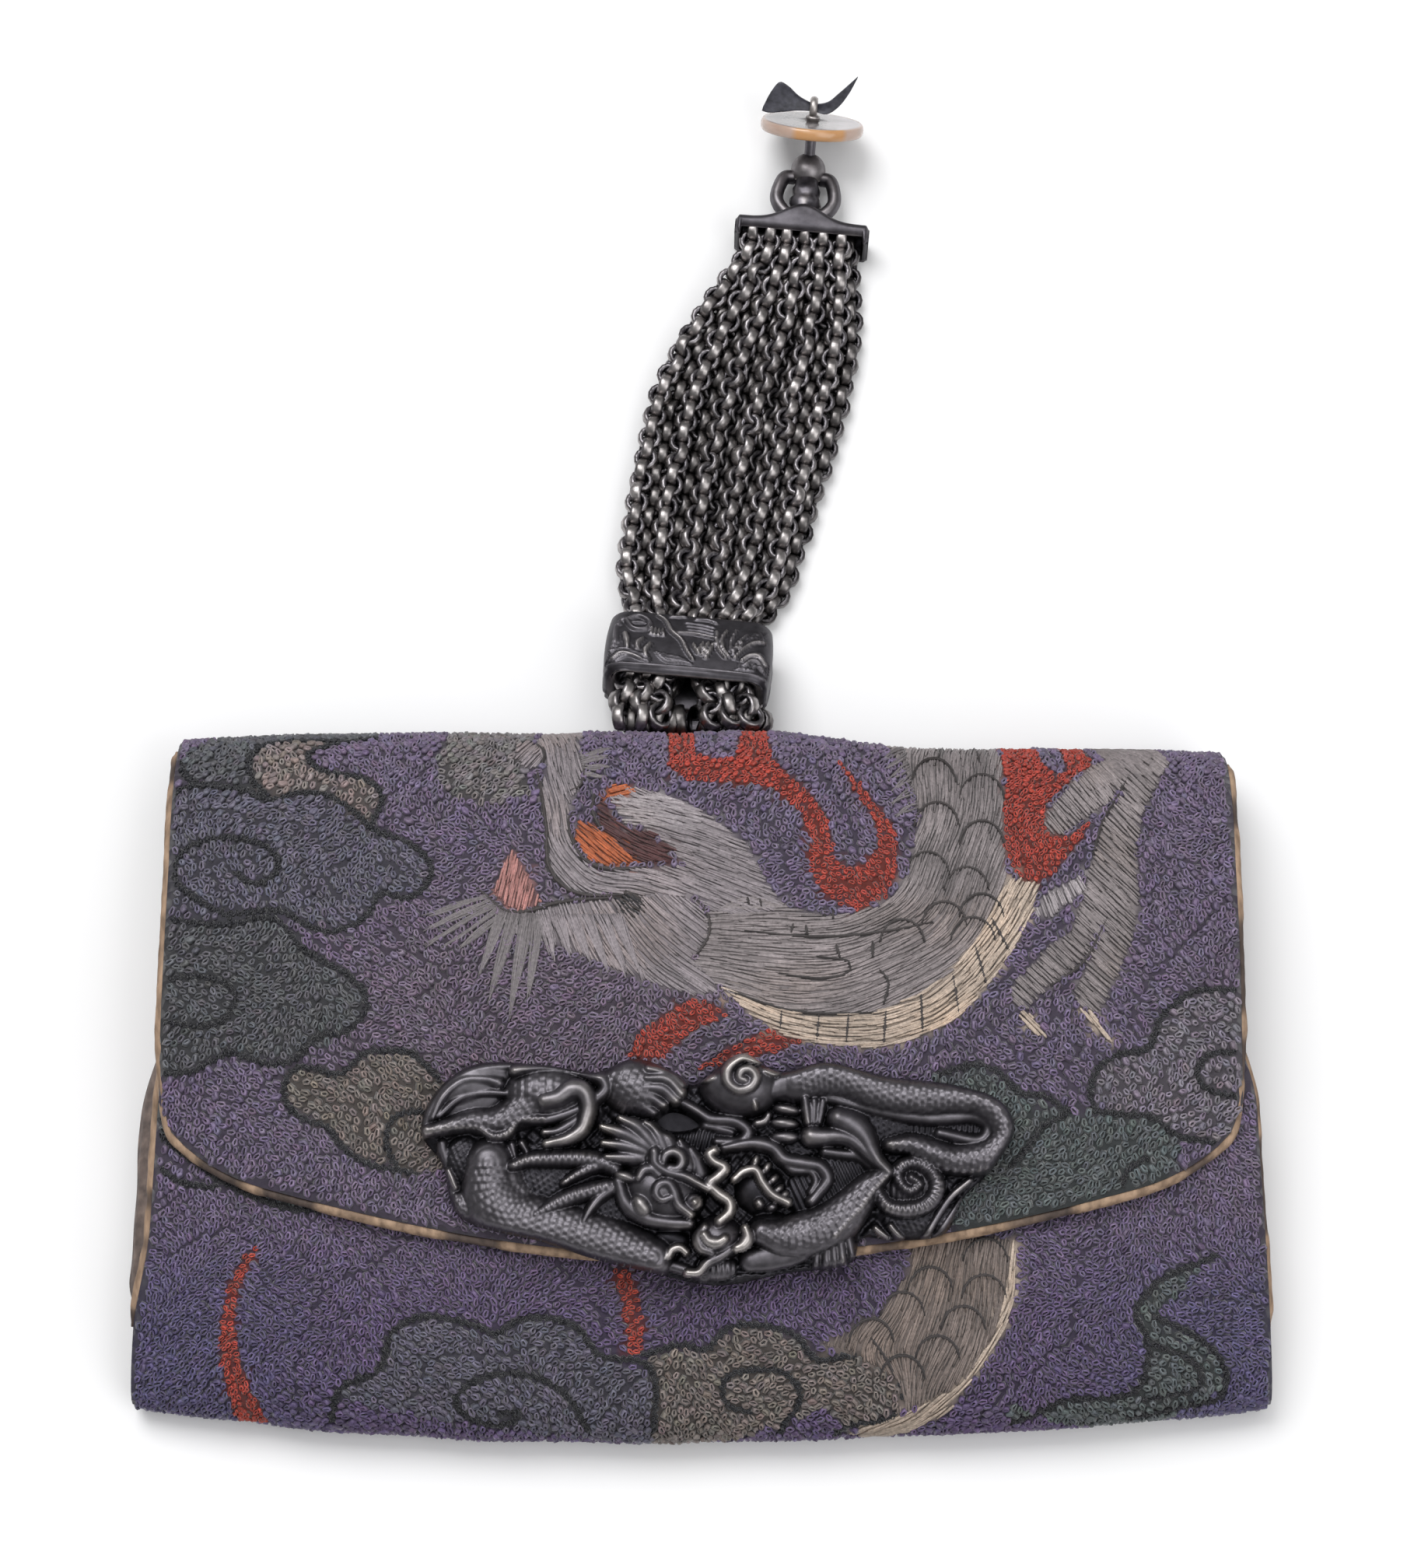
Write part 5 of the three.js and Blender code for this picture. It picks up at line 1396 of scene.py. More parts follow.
# Masses in pixels: centre, half sizes in mm, tilt, foot and top heights, polish, which also paints highlights
CLASP_DOMES = {
    "rough": [
        ((601, 1493), (2.6, 3.2), 8, 1.0, 2.5, -0.1),
        ((597, 1552), (2.3, 1.9), -20, 1.0, 2.7, 0.1),
        ((658, 1537), (3.2, 2.6), -20, 1.0, 3.2, 0.1),
        ((705, 1520), (6.5, 4.6), 0, 1.0, 2.4, -0.2),
        ((770, 1550), (6.0, 3.4), -15, 1.0, 2.6, -0.2),
        ((1110, 1440), (6.0, 3.6), -10, 1.0, 2.6, -0.1),
        ((1181, 1568), (4.8, 2.4), 10, 0.8, 2.3, -0.1),
    ],
    "smooth": [
        ((610, 1415), (4.4, 2.6), 35, 1.0, 2.4, 0.0),
        ((610, 1390), (5.0, 2.6), 25, 1.2, 3.0, 0.0),
        ((852, 1531), (4.9, 3.8), -25, 1.2, 5.0, 0.05),
        ((806, 1514), (1.4, 0.62), -15, 3.6, 4.9, 0.6),
        ((826, 1551), (1.5, 1.05), -55, 3.4, 5.2, 0.8),
        ((892, 1547), (0.95, 0.95), 0, 4.4, 5.2, 0.3),
        ((893, 1547), (0.42, 0.42), 0, 4.9, 5.7, 0.7),
        ((855, 1534), (1.25, 1.25), 0, 4.4, 5.3, 0.1),
        ((864, 1593), (2.2, 1.2), -10, 1.0, 2.4, -0.1),
        ((922, 1593), (3.0, 2.5), 0, 1.2, 4.6, 0.0),
        ((952, 1394), (4.7, 3.6), 0, 1.2, 5.4, 0.15),
        ((911, 1386), (1.0, 0.5), 10, 4.0, 4.9, 0.7),
        ((990, 1378), (1.1, 0.48), -10, 4.0, 4.9, 0.7),
        ((969, 1419), (0.45, 0.85), 10, 3.6, 4.9, 0.7),
        ((1010, 1426), (1.6, 0.62), -8, 2.4, 3.7, 0.3),
        ((1007, 1444), (1.6, 0.66), -4, 2.4, 3.6, 0.3),
        ((1008, 1462), (1.6, 0.7), 0, 2.4, 3.5, 0.25),
        ((976, 1531), (3.0, 2.9), 0, 1.0, 3.0, -0.1),
        ((975, 1548), (0.6, 0.7), 20, 2.6, 3.7, 0.6),
        ((991, 1553), (0.7, 0.5), 30, 2.4, 3.4, 0.4),
        ((970, 1494), (0.42, 0.8), -20, 3.0, 4.0, 0.35),
        ((984, 1503), (0.42, 0.8), -30, 3.0, 4.0, 0.4),
        ((992, 1518), (0.42, 0.75), -45, 3.0, 4.0, 0.45),
        ((999, 1530), (0.42, 0.7), -55, 3.0, 4.0, 0.5),
        ((1007, 1537), (0.42, 0.6), -60, 3.0, 4.0, 0.6),
        ((1218, 1449), (3.3, 1.1), -4, 1.2, 2.2, -0.1),
        ((989, 1577), (2.6, 1.6), 0, 1.0, 3.2, -0.1),
        ((1070, 1606), (2.6, 2.2), 0, 0.6, 2.0, 0.0),
    ],
    "scales": [
        ((705, 1405), (5.0, 3.2), 0, 1.2, 4.3, 0.1),
        ((817, 1396), (4.5, 3.4), -20, 1.2, 4.4, 0.1),
        ((640, 1525), (3.6, 5.0), 15, 1.2, 3.4, 0.0),
    ],
    "ribs": [
        ((1210, 1450), (6.0, 2.6), -5, 1.0, 2.3, -0.1),
        ((1070, 1520), (6.0, 4.0), 25, 1.0, 2.6, -0.1),
        ((895, 1460), (6.0, 2.6), -15, 1.0, 2.4, -0.1),
        ((922, 1631), (2.4, 1.6), 0, 0.8, 3.0, 0.0),
        ((1166, 1522), (3.2, 2.8), 0, 1.0, 3.0, 0.0),
    ],
}
# Strokes in pixels: path, radii in mm, foot and top heights, polish, which also paints highlights
CLASP_STROKES = {
    "smooth": [
        ([(538, 1458), (550, 1434), (567, 1408), (588, 1385), (617, 1373), (647, 1367), (667, 1365)],
         [0.8, 1.0, 0.6], 1.2, 2.9, 0.1),
        ([(559, 1437), (573, 1408), (597, 1389), (626, 1387), (643, 1391)],
         [0.3, 0.45, 0.5], 2.0, 3.2, 0.35),
        ([(567, 1434), (594, 1411), (626, 1404), (653, 1405)], [0.3, 0.35, 0.3], 2.0, 2.9, 0.1),
        ([(664, 1376), (694, 1367), (729, 1367), (758, 1376), (777, 1390), (779, 1400), (761, 1418)],
         [0.5, 0.7, 0.7, 0.5], 2.4, 4.2, 0.15),
        ([(702, 1415), (720, 1411), (735, 1401), (748, 1401), (755, 1408), (758, 1423), (755, 1437),
         (749, 1452), (732, 1464), (705, 1471)], [0.75, 0.9, 0.75, 0.6, 0.35], 3.2, 5.0, 0.55),
        ([(752, 1434), (735, 1446), (717, 1455), (702, 1456)], [0.6, 0.55, 0.3], 2.4, 4.0, 0.4),
        ([(757, 1420), (741, 1428), (705, 1439), (673, 1440)], [0.5, 0.45, 0.3], 2.6, 3.8, 0.25),
        ([(638, 1472), (636, 1485)], [0.35, 0.2], 1.6, 2.8, 0.45),
        ([(648, 1472), (648, 1488)], [0.35, 0.2], 1.6, 2.8, 0.5),
        ([(660, 1472), (664, 1486)], [0.35, 0.2], 1.6, 2.8, 0.5),
        ([(673, 1470), (680, 1482)], [0.35, 0.2], 1.6, 2.8, 0.35),
        ([(834, 1374), (861, 1378), (878, 1393)], [0.35, 0.55, 0.4], 3.0, 4.4, 0.2),
        ([(831, 1386), (858, 1388), (875, 1405)], [0.35, 0.55, 0.5], 3.2, 4.6, 0.45),
        ([(826, 1398), (852, 1400), (868, 1414)], [0.35, 0.55, 0.5], 3.2, 4.5, 0.4),
        ([(817, 1410), (837, 1411), (853, 1421)], [0.35, 0.5, 0.45], 3.0, 4.2, 0.3),
        ([(811, 1420), (829, 1423), (843, 1432)], [0.35, 0.5, 0.4], 2.6, 3.8, 0.2),
        ([(834, 1475), (805, 1459), (775, 1449)], [0.9, 0.8, 0.25], 2.8, 4.8, 0.45),
        ([(829, 1481), (805, 1474), (777, 1470)], [0.8, 0.65, 0.25], 2.8, 4.7, 0.5),
        ([(826, 1490), (802, 1489), (781, 1488)], [0.8, 0.6, 0.25], 2.8, 4.6, 0.55),
        ([(840, 1472), (820, 1450), (798, 1438)], [0.9, 0.8, 0.25], 2.8, 4.9, 0.35),
        ([(852, 1475), (843, 1453), (830, 1444)], [0.9, 0.7, 0.25], 2.8, 4.8, 0.2),
        ([(864, 1479), (858, 1464), (848, 1454)], [0.8, 0.6, 0.25], 2.8, 4.6, 0.1),
        ([(884, 1500), (880, 1482), (874, 1468)], [0.9, 0.7, 0.25], 2.4, 4.2, 0.1),
        ([(900, 1510), (895, 1492), (888, 1478)], [0.9, 0.7, 0.25], 2.2, 3.9, 0.05),
        ([(853, 1494), (856, 1486), (866, 1482), (875, 1487), (877, 1496), (871, 1504), (862, 1503)],
         [0.4, 0.5, 0.4], 4.0, 5.4, 0.4),
        ([(842, 1482), (843, 1496), (858, 1508), (881, 1514), (896, 1522), (911, 1530)],
         [0.5, 0.5, 0.4, 0.3], 4.0, 5.5, 0.35),
        ([(822, 1516), (829, 1506), (840, 1505), (847, 1512)], [0.35, 0.5, 0.35], 4.0, 5.3, 0.3),
        ([(863, 1541), (851, 1544), (844, 1535), (848, 1525), (859, 1523), (866, 1532), (872, 1549),
         (888, 1563)], [0.3, 0.4, 0.5, 0.5, 0.3], 4.4, 5.6, 0.3),
        ([(796, 1520), (806, 1548), (829, 1566), (860, 1573), (886, 1574)],
         [0.5, 0.7, 0.6, 0.5], 3.0, 4.4, 0.2),
        ([(752, 1572), (761, 1555), (773, 1540), (788, 1529)], [0.3, 0.5, 0.6], 2.2, 4.0, 0.35),
        ([(579, 1506), (583, 1516), (589, 1527)], [0.2, 0.35, 0.2], 2.2, 3.0, 0.6),
        ([(571, 1470), (575, 1508), (586, 1543), (600, 1566)], [0.5, 0.6, 0.6], 1.0, 2.2, 0.0),
        ([(1064, 1411), (1123, 1427), (1194, 1438), (1253, 1436), (1267, 1447), (1259, 1465),
         (1205, 1457)], [0.5, 0.6, 0.6, 0.5], 1.8, 3.2, 0.05),
        ([(826, 1617), (849, 1624), (882, 1634), (905, 1643)], [0.4, 0.5, 0.5], 1.2, 2.4, 0.0),
        ([(846, 1607), (850, 1618), (859, 1616), (864, 1608), (874, 1605), (882, 1611)],
         [0.28, 0.36, 0.28], 2.6, 3.7, 0.9),
        ([(918, 1480), (911, 1485), (917, 1494), (931, 1503), (922, 1514), (912, 1523), (922, 1535),
         (937, 1547), (937, 1559), (924, 1572)], [0.36, 0.42, 0.45, 0.45, 0.4], 3.8, 5.4, 0.75),
        ([(905, 1589), (911, 1597), (922, 1599), (931, 1594)], [0.35, 0.5, 0.35], 4.2, 5.4, 0.9),
        ([(957, 1580), (960, 1592), (954, 1602), (946, 1606)], [0.3, 0.55, 0.35], 3.6, 5.0, 0.85),
        ([(906, 1580), (898, 1592), (902, 1606), (914, 1611)], [0.4, 0.5, 0.4], 3.4, 4.8, 0.1),
        ([(940, 1606), (926, 1616), (909, 1625), (898, 1637), (884, 1638)],
         [0.3, 0.4, 0.35, 0.3], 3.0, 4.2, 0.35),
        ([(975, 1363), (952, 1360), (936, 1373), (935, 1391), (948, 1402), (964, 1398), (970, 1386),
         (963, 1376), (952, 1378), (950, 1387), (957, 1390)],
         [0.3, 0.42, 0.42, 0.42, 0.35], 5.0, 6.0, 0.7),
        ([(866, 1410), (894, 1427), (912, 1438), (946, 1442), (961, 1455), (952, 1467), (921, 1468)],
         [0.4, 0.55, 0.55, 0.4], 1.8, 3.2, 0.1),
        ([(900, 1446), (920, 1450), (940, 1455)], [0.3, 0.4, 0.3], 1.8, 2.8, 0.1),
        ([(972, 1444), (982, 1441), (987, 1433)], [0.3, 0.35, 0.25], 2.4, 3.4, 0.4),
        ([(985, 1402), (1000, 1395), (1020, 1386)], [1.0, 1.4, 1.6], 1.6, 4.0, 0.05),
        ([(1041, 1461), (1056, 1462), (1074, 1461), (1093, 1466), (1111, 1482), (1126, 1496),
         (1137, 1506)], [0.9, 0.75, 0.7, 0.6], 2.2, 4.3, 0.45),
        ([(1076, 1438), (1093, 1446), (1108, 1461), (1117, 1479), (1126, 1494), (1138, 1507)],
         [1.0, 1.3, 1.0, 0.7, 0.6], 2.2, 4.5, 0.3),
        ([(1059, 1481), (1080, 1484), (1102, 1487), (1119, 1500)], [0.45, 0.5, 0.5], 2.0, 3.3, 0.1),
        ([(1033, 1412), (1037, 1443)], [0.35, 0.4, 0.3], 2.6, 3.8, 0.3),
        ([(1045, 1415), (1044, 1443)], [0.3, 0.35, 0.25], 2.4, 3.5, 0.1),
        ([(1056, 1415), (1051, 1443)], [0.3, 0.35, 0.25], 2.4, 3.4, 0.1),
        ([(943, 1517), (955, 1507), (970, 1505), (979, 1521), (992, 1537), (1011, 1547)],
         [0.3, 0.38, 0.4, 0.35], 3.2, 4.5, 0.8),
        ([(930, 1476), (967, 1470), (992, 1476), (1007, 1491), (1031, 1496), (1053, 1501), (1062, 1516),
         (1050, 1534), (1041, 1545)], [0.4, 0.65, 0.65, 0.65, 0.5], 1.8, 3.6, 0.05),
        ([(998, 1485), (1016, 1504), (1041, 1507), (1047, 1519), (1040, 1534)],
         [0.3, 0.4, 0.4, 0.3], 1.8, 3.2, 0.15),
        ([(1137, 1594), (1123, 1580)], [0.3, 0.22], 1.6, 2.6, 0.6),
        ([(1155, 1594), (1142, 1577)], [0.3, 0.22], 1.8, 2.8, 0.6),
        ([(1186, 1592), (1194, 1577), (1218, 1540), (1243, 1518)], [0.3, 0.3, 0.25], 1.8, 2.9, 0.4),
        ([(1200, 1592), (1212, 1574), (1233, 1544)], [0.28, 0.28, 0.2], 1.6, 2.6, 0.2),
        ([(1050, 1594), (1047, 1628)], [0.45, 0.5, 0.3], 1.2, 2.6, 0.1),
        ([(1060, 1594), (1060, 1633)], [0.45, 0.5, 0.3], 1.2, 2.8, 0.15),
        ([(1068, 1592), (1071, 1633)], [0.45, 0.5, 0.3], 1.2, 2.9, 0.35),
        ([(1077, 1589), (1081, 1625)], [0.45, 0.5, 0.3], 1.2, 2.9, 0.5),
        ([(1086, 1586), (1094, 1615)], [0.45, 0.5, 0.3], 1.2, 2.6, 0.2),
        ([(964, 1621), (992, 1616), (1019, 1611), (1042, 1604)], [1.0, 1.2, 1.1, 0.8], 1.4, 2.8, 0.05),
    ],
    "scales": [
        ([(546, 1455), (575, 1449), (608, 1441), (640, 1442), (662, 1432), (690, 1412)],
         [0.5, 0.8, 1.2, 1.5, 2.2], 1.2, 3.9, 0.1),
        ([(632, 1495), (634, 1535), (660, 1566), (720, 1582), (779, 1598), (840, 1618)],
         [2.2, 2.8, 2.8, 2.6, 2.4, 1.8], 1.2, 4.0, 0.05),
        ([(1138, 1506), (1114, 1526), (1096, 1547), (1077, 1567), (1059, 1579), (1031, 1588),
         (1004, 1591), (979, 1586)], [0.6, 1.2, 1.6, 1.9, 2.0, 2.0, 1.7, 1.2], 1.6, 4.2, 0.1),
    ],
    "beads": [
        ([(546, 1458), (579, 1450), (617, 1449), (638, 1461), (655, 1457), (668, 1441), (702, 1438)],
         [0.3, 0.35, 0.4, 0.3], 2.6, 3.8, 0.5),
        ([(660, 1500), (682, 1492), (711, 1490), (743, 1490), (770, 1493), (792, 1503)],
         [0.45, 0.75, 0.8, 0.7], 2.0, 3.9, 0.3),
        ([(726, 1522), (741, 1512), (758, 1503), (778, 1496)], [0.3, 0.5, 0.6], 2.0, 3.8, 0.35),
        ([(688, 1565), (711, 1552), (735, 1540), (758, 1533), (786, 1526)],
         [0.45, 0.7, 0.75, 0.7], 2.2, 4.0, 0.35),
        ([(1138, 1510), (1118, 1532), (1102, 1554), (1087, 1571), (1070, 1590)],
         [0.3, 0.4, 0.35, 0.3], 3.0, 4.2, 0.6),
    ],
    "spine": [
        ([(1022, 1388), (1056, 1381), (1087, 1383), (1120, 1398), (1154, 1407), (1191, 1411),
         (1227, 1410), (1261, 1416), (1283, 1436), (1288, 1460), (1275, 1480), (1249, 1489),
         (1218, 1490), (1191, 1480), (1166, 1471), (1140, 1472)],
         [2.0, 2.3, 2.2, 2.0, 1.8, 1.7, 1.7, 1.6, 1.4, 1.2, 0.6], 1.4, 4.2, 0.1),
    ],
    "ribs": [
        ([(1126, 1534), (1138, 1551), (1166, 1556), (1191, 1547), (1201, 1525), (1191, 1504),
         (1169, 1495), (1151, 1505), (1154, 1521), (1166, 1531), (1178, 1523), (1168, 1515)],
         [0.5, 0.7, 0.7, 0.6, 0.5, 0.4], 2.2, 3.8, 0.3),
    ],
}
CLASP_HOLE = [(846, 1440), (862, 1429), (882, 1433), (898, 1446), (878, 1453), (856, 1451)]
CLASP_PIT = [(1110, 1592), (1124, 1587), (1136, 1596), (1122, 1605)]


def clasp_place(pixels):
    """Places in the clasp's own plane, in mm, from pixels of the photograph."""
    return (np.asarray(pixels, float) - CLASP_PIXEL) * CLASP_PIXEL_SIZE


def clasp_to_pouch(points):
    """From the clasp's own plane to the pouch."""
    seat = FLAP_CREST[1] - (FLAP_CREST[0] - CLASP_CENTRE[1]) * math.tan(SEAT_SLOPE)
    cos, sin = math.cos(SEAT_SLOPE), math.sin(SEAT_SLOPE)
    x, y, z = points[:, 0], points[:, 1], points[:, 2] + CLASP_LIFT
    middle_x, middle_y = CLASP_CENTRE
    return np.stack([x + middle_x, middle_y + y * cos - z * sin, seat + y * sin + z * cos], axis=1)


def boundary_loops(faces):
    """The open edges of a set of quads, chained into loops."""
    edges = np.concatenate([faces[:, [k, (k + 1) % 4]] for k in range(4)])
    kept = {tuple(edge) for edge in edges.tolist()}
    following = {a: b for a, b in kept if (b, a) not in kept}
    loops = []
    while following:
        start = next(iter(following))
        loop = [start]
        step = following.pop(start)
        while step != start:
            loop.append(step)
            step = following.pop(step)
        loops.append(loop)
    return loops


def clasp_surface(cells, grid_shape, rim):
    """The height of the clasp's front at each cell, and its wear with painted light: dark oxide and painted
    shade in the hollows, wear and painted highlight on ridges and polished spots.
    """
    domes, strokes = [], []
    for texture, rows in CLASP_DOMES.items():
        for centre, half, tilt, foot, top, polish in rows:
            domes.append((clasp_place([centre])[0], half, tilt, foot, top, texture, polish))
    for texture, rows in CLASP_STROKES.items():
        for path, radii, foot, top, polish in rows:
            grown = [STROKE_GROWS * radius + STROKE_ADDS for radius in radii]
            strokes.append((clasp_place(path), grown, foot, top, texture, polish))
    plate = CLASP_PLATE + 0.12 * wobble(cells[:, 0], cells[:, 1], 3.0, 4)
    height, shine = relief(cells, plate, domes, strokes)
    raised = height > plate + 0.2
    rings_round = blur(raised.reshape(grid_shape).astype(float), 7).ravel()
    bend = 0.5 * wobble(cells[:, 0], cells[:, 1], 4.0, 8)
    grooves = np.sin((cells[:, 0] + bend) * PLATE_GROOVES) * np.sin((cells[:, 1] - bend) * PLATE_GROOVES)
    height = np.where(raised, height, plate + 0.25 * np.cos(rings_round * 20) + 0.13 * grooves)
    pit = inside(cells, clasp_place(CLASP_PIT))
    height[pit] = CLASP_RIM
    to_rim = nearest_distance(cells, rim)
    fall = np.sqrt(1 - (1 - np.clip(to_rim / CLASP_EDGE, 0, 1))**2)
    height = CLASP_RIM + (height - CLASP_RIM) * (0.35 + 0.65 * fall)
    field = height.reshape(grid_shape)
    # Ridges painted brighter and hollows darker: painted highlight and painted shade over the real wear and
    # oxide
    edges = (field - blur(field, 4)) / 0.42 + 0.3 * (field - blur(field, 14)) / 0.8
    hollow = HOLLOW_OXIDE_AND_PAINTED_SHADE * (~raised | (shine < 0))
    wear = edges.ravel() * RIDGE_WEAR_AND_PAINTED_LIGHT - PLAIN_DARK - hollow + POLISH_AND_PAINTED_HIGHLIGHT * shine**2
    return height, np.clip(wear, -1, 1)


def add_clasp():
    outline = spline(CLASP_OUTLINE, 0.1, closed=True)
    hole = spline(clasp_place(CLASP_HOLE), 0.1, closed=True)
    rim = np.vstack([outline, hole])
    low, high = outline.min(axis=0) - CLASP_CELL, outline.max(axis=0) + CLASP_CELL
    x, y = np.arange(low[0], high[0], CLASP_CELL), np.arange(low[1], high[1], CLASP_CELL)
    grid_x, grid_y = np.meshgrid(x, y, indexing="ij")
    cells = np.stack([grid_x.ravel(), grid_y.ravel()], axis=1)
    height, wear = clasp_surface(cells, grid_x.shape, rim)
    kept = inside(cells, outline) & ~inside(cells, hole)
    quads = grid_faces(len(x), len(y))
    quads = quads[kept[quads].all(axis=1)]
    loops = boundary_loops(quads)
    for loop in loops:
        gap = cells[loop][:, None, :] - rim[None]
        cells[loop] = rim[(gap**2).sum(axis=2).argmin(axis=1)]
        height[loop] = np.minimum(height[loop], CLASP_RIM + 0.5)
    points = np.column_stack([cells, height])
    bottoms, walls = [], []
    for loop in loops:
        loop = np.array(loop)
        start = len(points) + sum(len(b) for b in bottoms)
        foot = start + np.arange(len(loop))
        bottoms.append(np.column_stack([cells[loop], np.zeros(len(loop))]))
        walls.append(np.column_stack([np.roll(loop, -1), loop, foot, np.roll(foot, -1)]))
    points = np.vstack([points] + bottoms)
    faces = np.vstack([quads] + walls)
    faces = np.vstack([faces[:, [0, 1, 2]], faces[:, [0, 2, 3]]])
    edge = [resample(loop, 0.8)[:-1] for loop in (outline, hole)]
    ends = np.cumsum([0] + [len(loop) for loop in edge])
    joins = [(a + k, a + (k + 1) % (b - a)) for a, b in zip(ends, ends[1:]) for k in range(b - a)]
    under = delaunay_2d_cdt([Vector(p) for p in np.vstack(edge)], joins, [], 4, 1e-5)
    faces = np.vstack([faces, np.array(under[2]) + len(points)])
    points = np.vstack([points, [(p.x, p.y, 0.0) for p in under[0]]])
    tint = np.tile(SILVER_DARK, (len(points), 1))
    tint[:len(cells)] = silver_tint(wear)
    used, faces = np.unique(faces, return_inverse=True)
    points = clasp_to_pouch(points[used])
    piece = make_object("clasp_relief", points, faces.reshape(-1, 3), CAST_SILVER, tint[used])
    close_shell(piece, fill_ends=False)
    piece.data.shade_smooth()
    dress(piece, "pouch", "front_clasp")


add_clasp()


# The chain strap

STRANDS = 12
STRAP_YAW = math.radians(5.5)
# Down the strap: x, y, half spread, split between the two groups, z, half height between its two layers
STRAP = np.array([
    (-1.2, 41.3, 6.4, 1.9, 9.0, 0.8), (-1.4, 43.3, 5.8, 2.0, 8.5, 0.9), (-1.75, 46.3, 5.0, 1.9, 7.15, 1.0),
    (-1.6, 49.8, 6.2, 0, 5.6, 1.0),
    (-1.3, 54.7, 6.25, 0, 3.6, 1.0), (0.1, 60.5, 9.0, 0, 1.9, 0.75), (2.9, 73, 10.2, 0, 1.75, 0.6),
    (6.0, 85, 10.5, 0, 1.75, 0.6), (9.4, 95, 8.6, 0, 2.1, 0.8), (11.6, 101.8, 6.1, 0, 2.9, 1.0),
    (12.0, 104.8, 6.0, 0, 3.1, 1.0),
])
LINK_RADIUS = 1.08
STRAND_ROLL = 0.7
LINK_PITCH = 1.37
FIRST_LINK = 0.9
STRAND_STEP = 0.05
LINK_SECTIONS = 12
LINK_SECTION = np.array([
    (-0.32, 0.0), (-0.25, -0.62), (0.22, -0.66), (0.36, -0.34), (0.36, 0.34), (0.22, 0.66), (-0.25, 0.62),
])
# Painted light round the link's wire: painted shade on its inner side, painted light on its outer face
LINK_PAINTED_LIGHT = np.array([-0.9, -0.4, 0.15, 0.45, 0.45, 0.15, -0.4])
LARGE_LINK = 1.22
# Painted shade on the strands of the lower layer, which lie under the upper ones
LOWER_STRAND_PAINTED_SHADE = 0.5
LARGE_LINK_BELOW = 47.5
END_RING_RADIUS = 1.75
# The end rings behind the fold are painted dark, as painted shadow
END_RING_PAINTED_SHADE = 0.35
END_RING_LEAN = 0.6
LOOSE_ROLL = 0.6
TIGHT_ROLL = 0.2
END_RING_Y = 42.0
END_RING_Z = 7.9
LOWEST_LINK = 1.32


def strand_path(number):
    across = (number - (STRANDS - 1) / 2) / ((STRANDS - 1) / 2)
    x, y, spread, split, z, layer = STRAP.T
    aside = spread * across + split * np.sign(across)
    yaw = np.where(np.arange(len(STRAP)) == 0, 0, STRAP_YAW)
    z = z + layer * (1 if number % 2 == 0 else -1)
    path = spline(np.stack([x + aside * np.cos(yaw), y - aside * np.sin(yaw), z], axis=1), STRAND_STEP)
    path[:, 2] = np.maximum(path[:, 2], LOWEST_LINK)
    return path


def link_places(path):
    """Which points of a strand's path hold links, and how large each link is."""
    places, scales = [], []
    at = FIRST_LINK
    while at / STRAND_STEP < len(path) - 4:
        index = int(at / STRAND_STEP)
        scale = LARGE_LINK if path[index, 1] < LARGE_LINK_BELOW else 1.0
        places.append(index)
        scales.append(scale)
        at += LINK_PITCH * scale
    places, scales = np.array(places), np.array(scales)
    return np.round(places * (len(path) - 5) / places[-1]).astype(int), scales


def end_ring(number):
    """The larger ring that a strand hangs on behind the fold: points and quads."""
    across = 2 * number / (STRANDS - 1) - 1
    centre = np.array([[6.1 * across + 0.5 * np.sign(across) - 1.4, END_RING_Y, END_RING_Z]])
    axis = unit(np.array([[1.0, *rng.uniform(-END_RING_LEAN, END_RING_LEAN, 2)]]))
    side = unit(np.cross(axis, [0, 0, 1.0]))
    radius = np.array([END_RING_RADIUS])
    return rings(centre, side, np.cross(axis, side), axis, radius, radius, LINK_SECTION, 2 * LINK_SECTIONS)


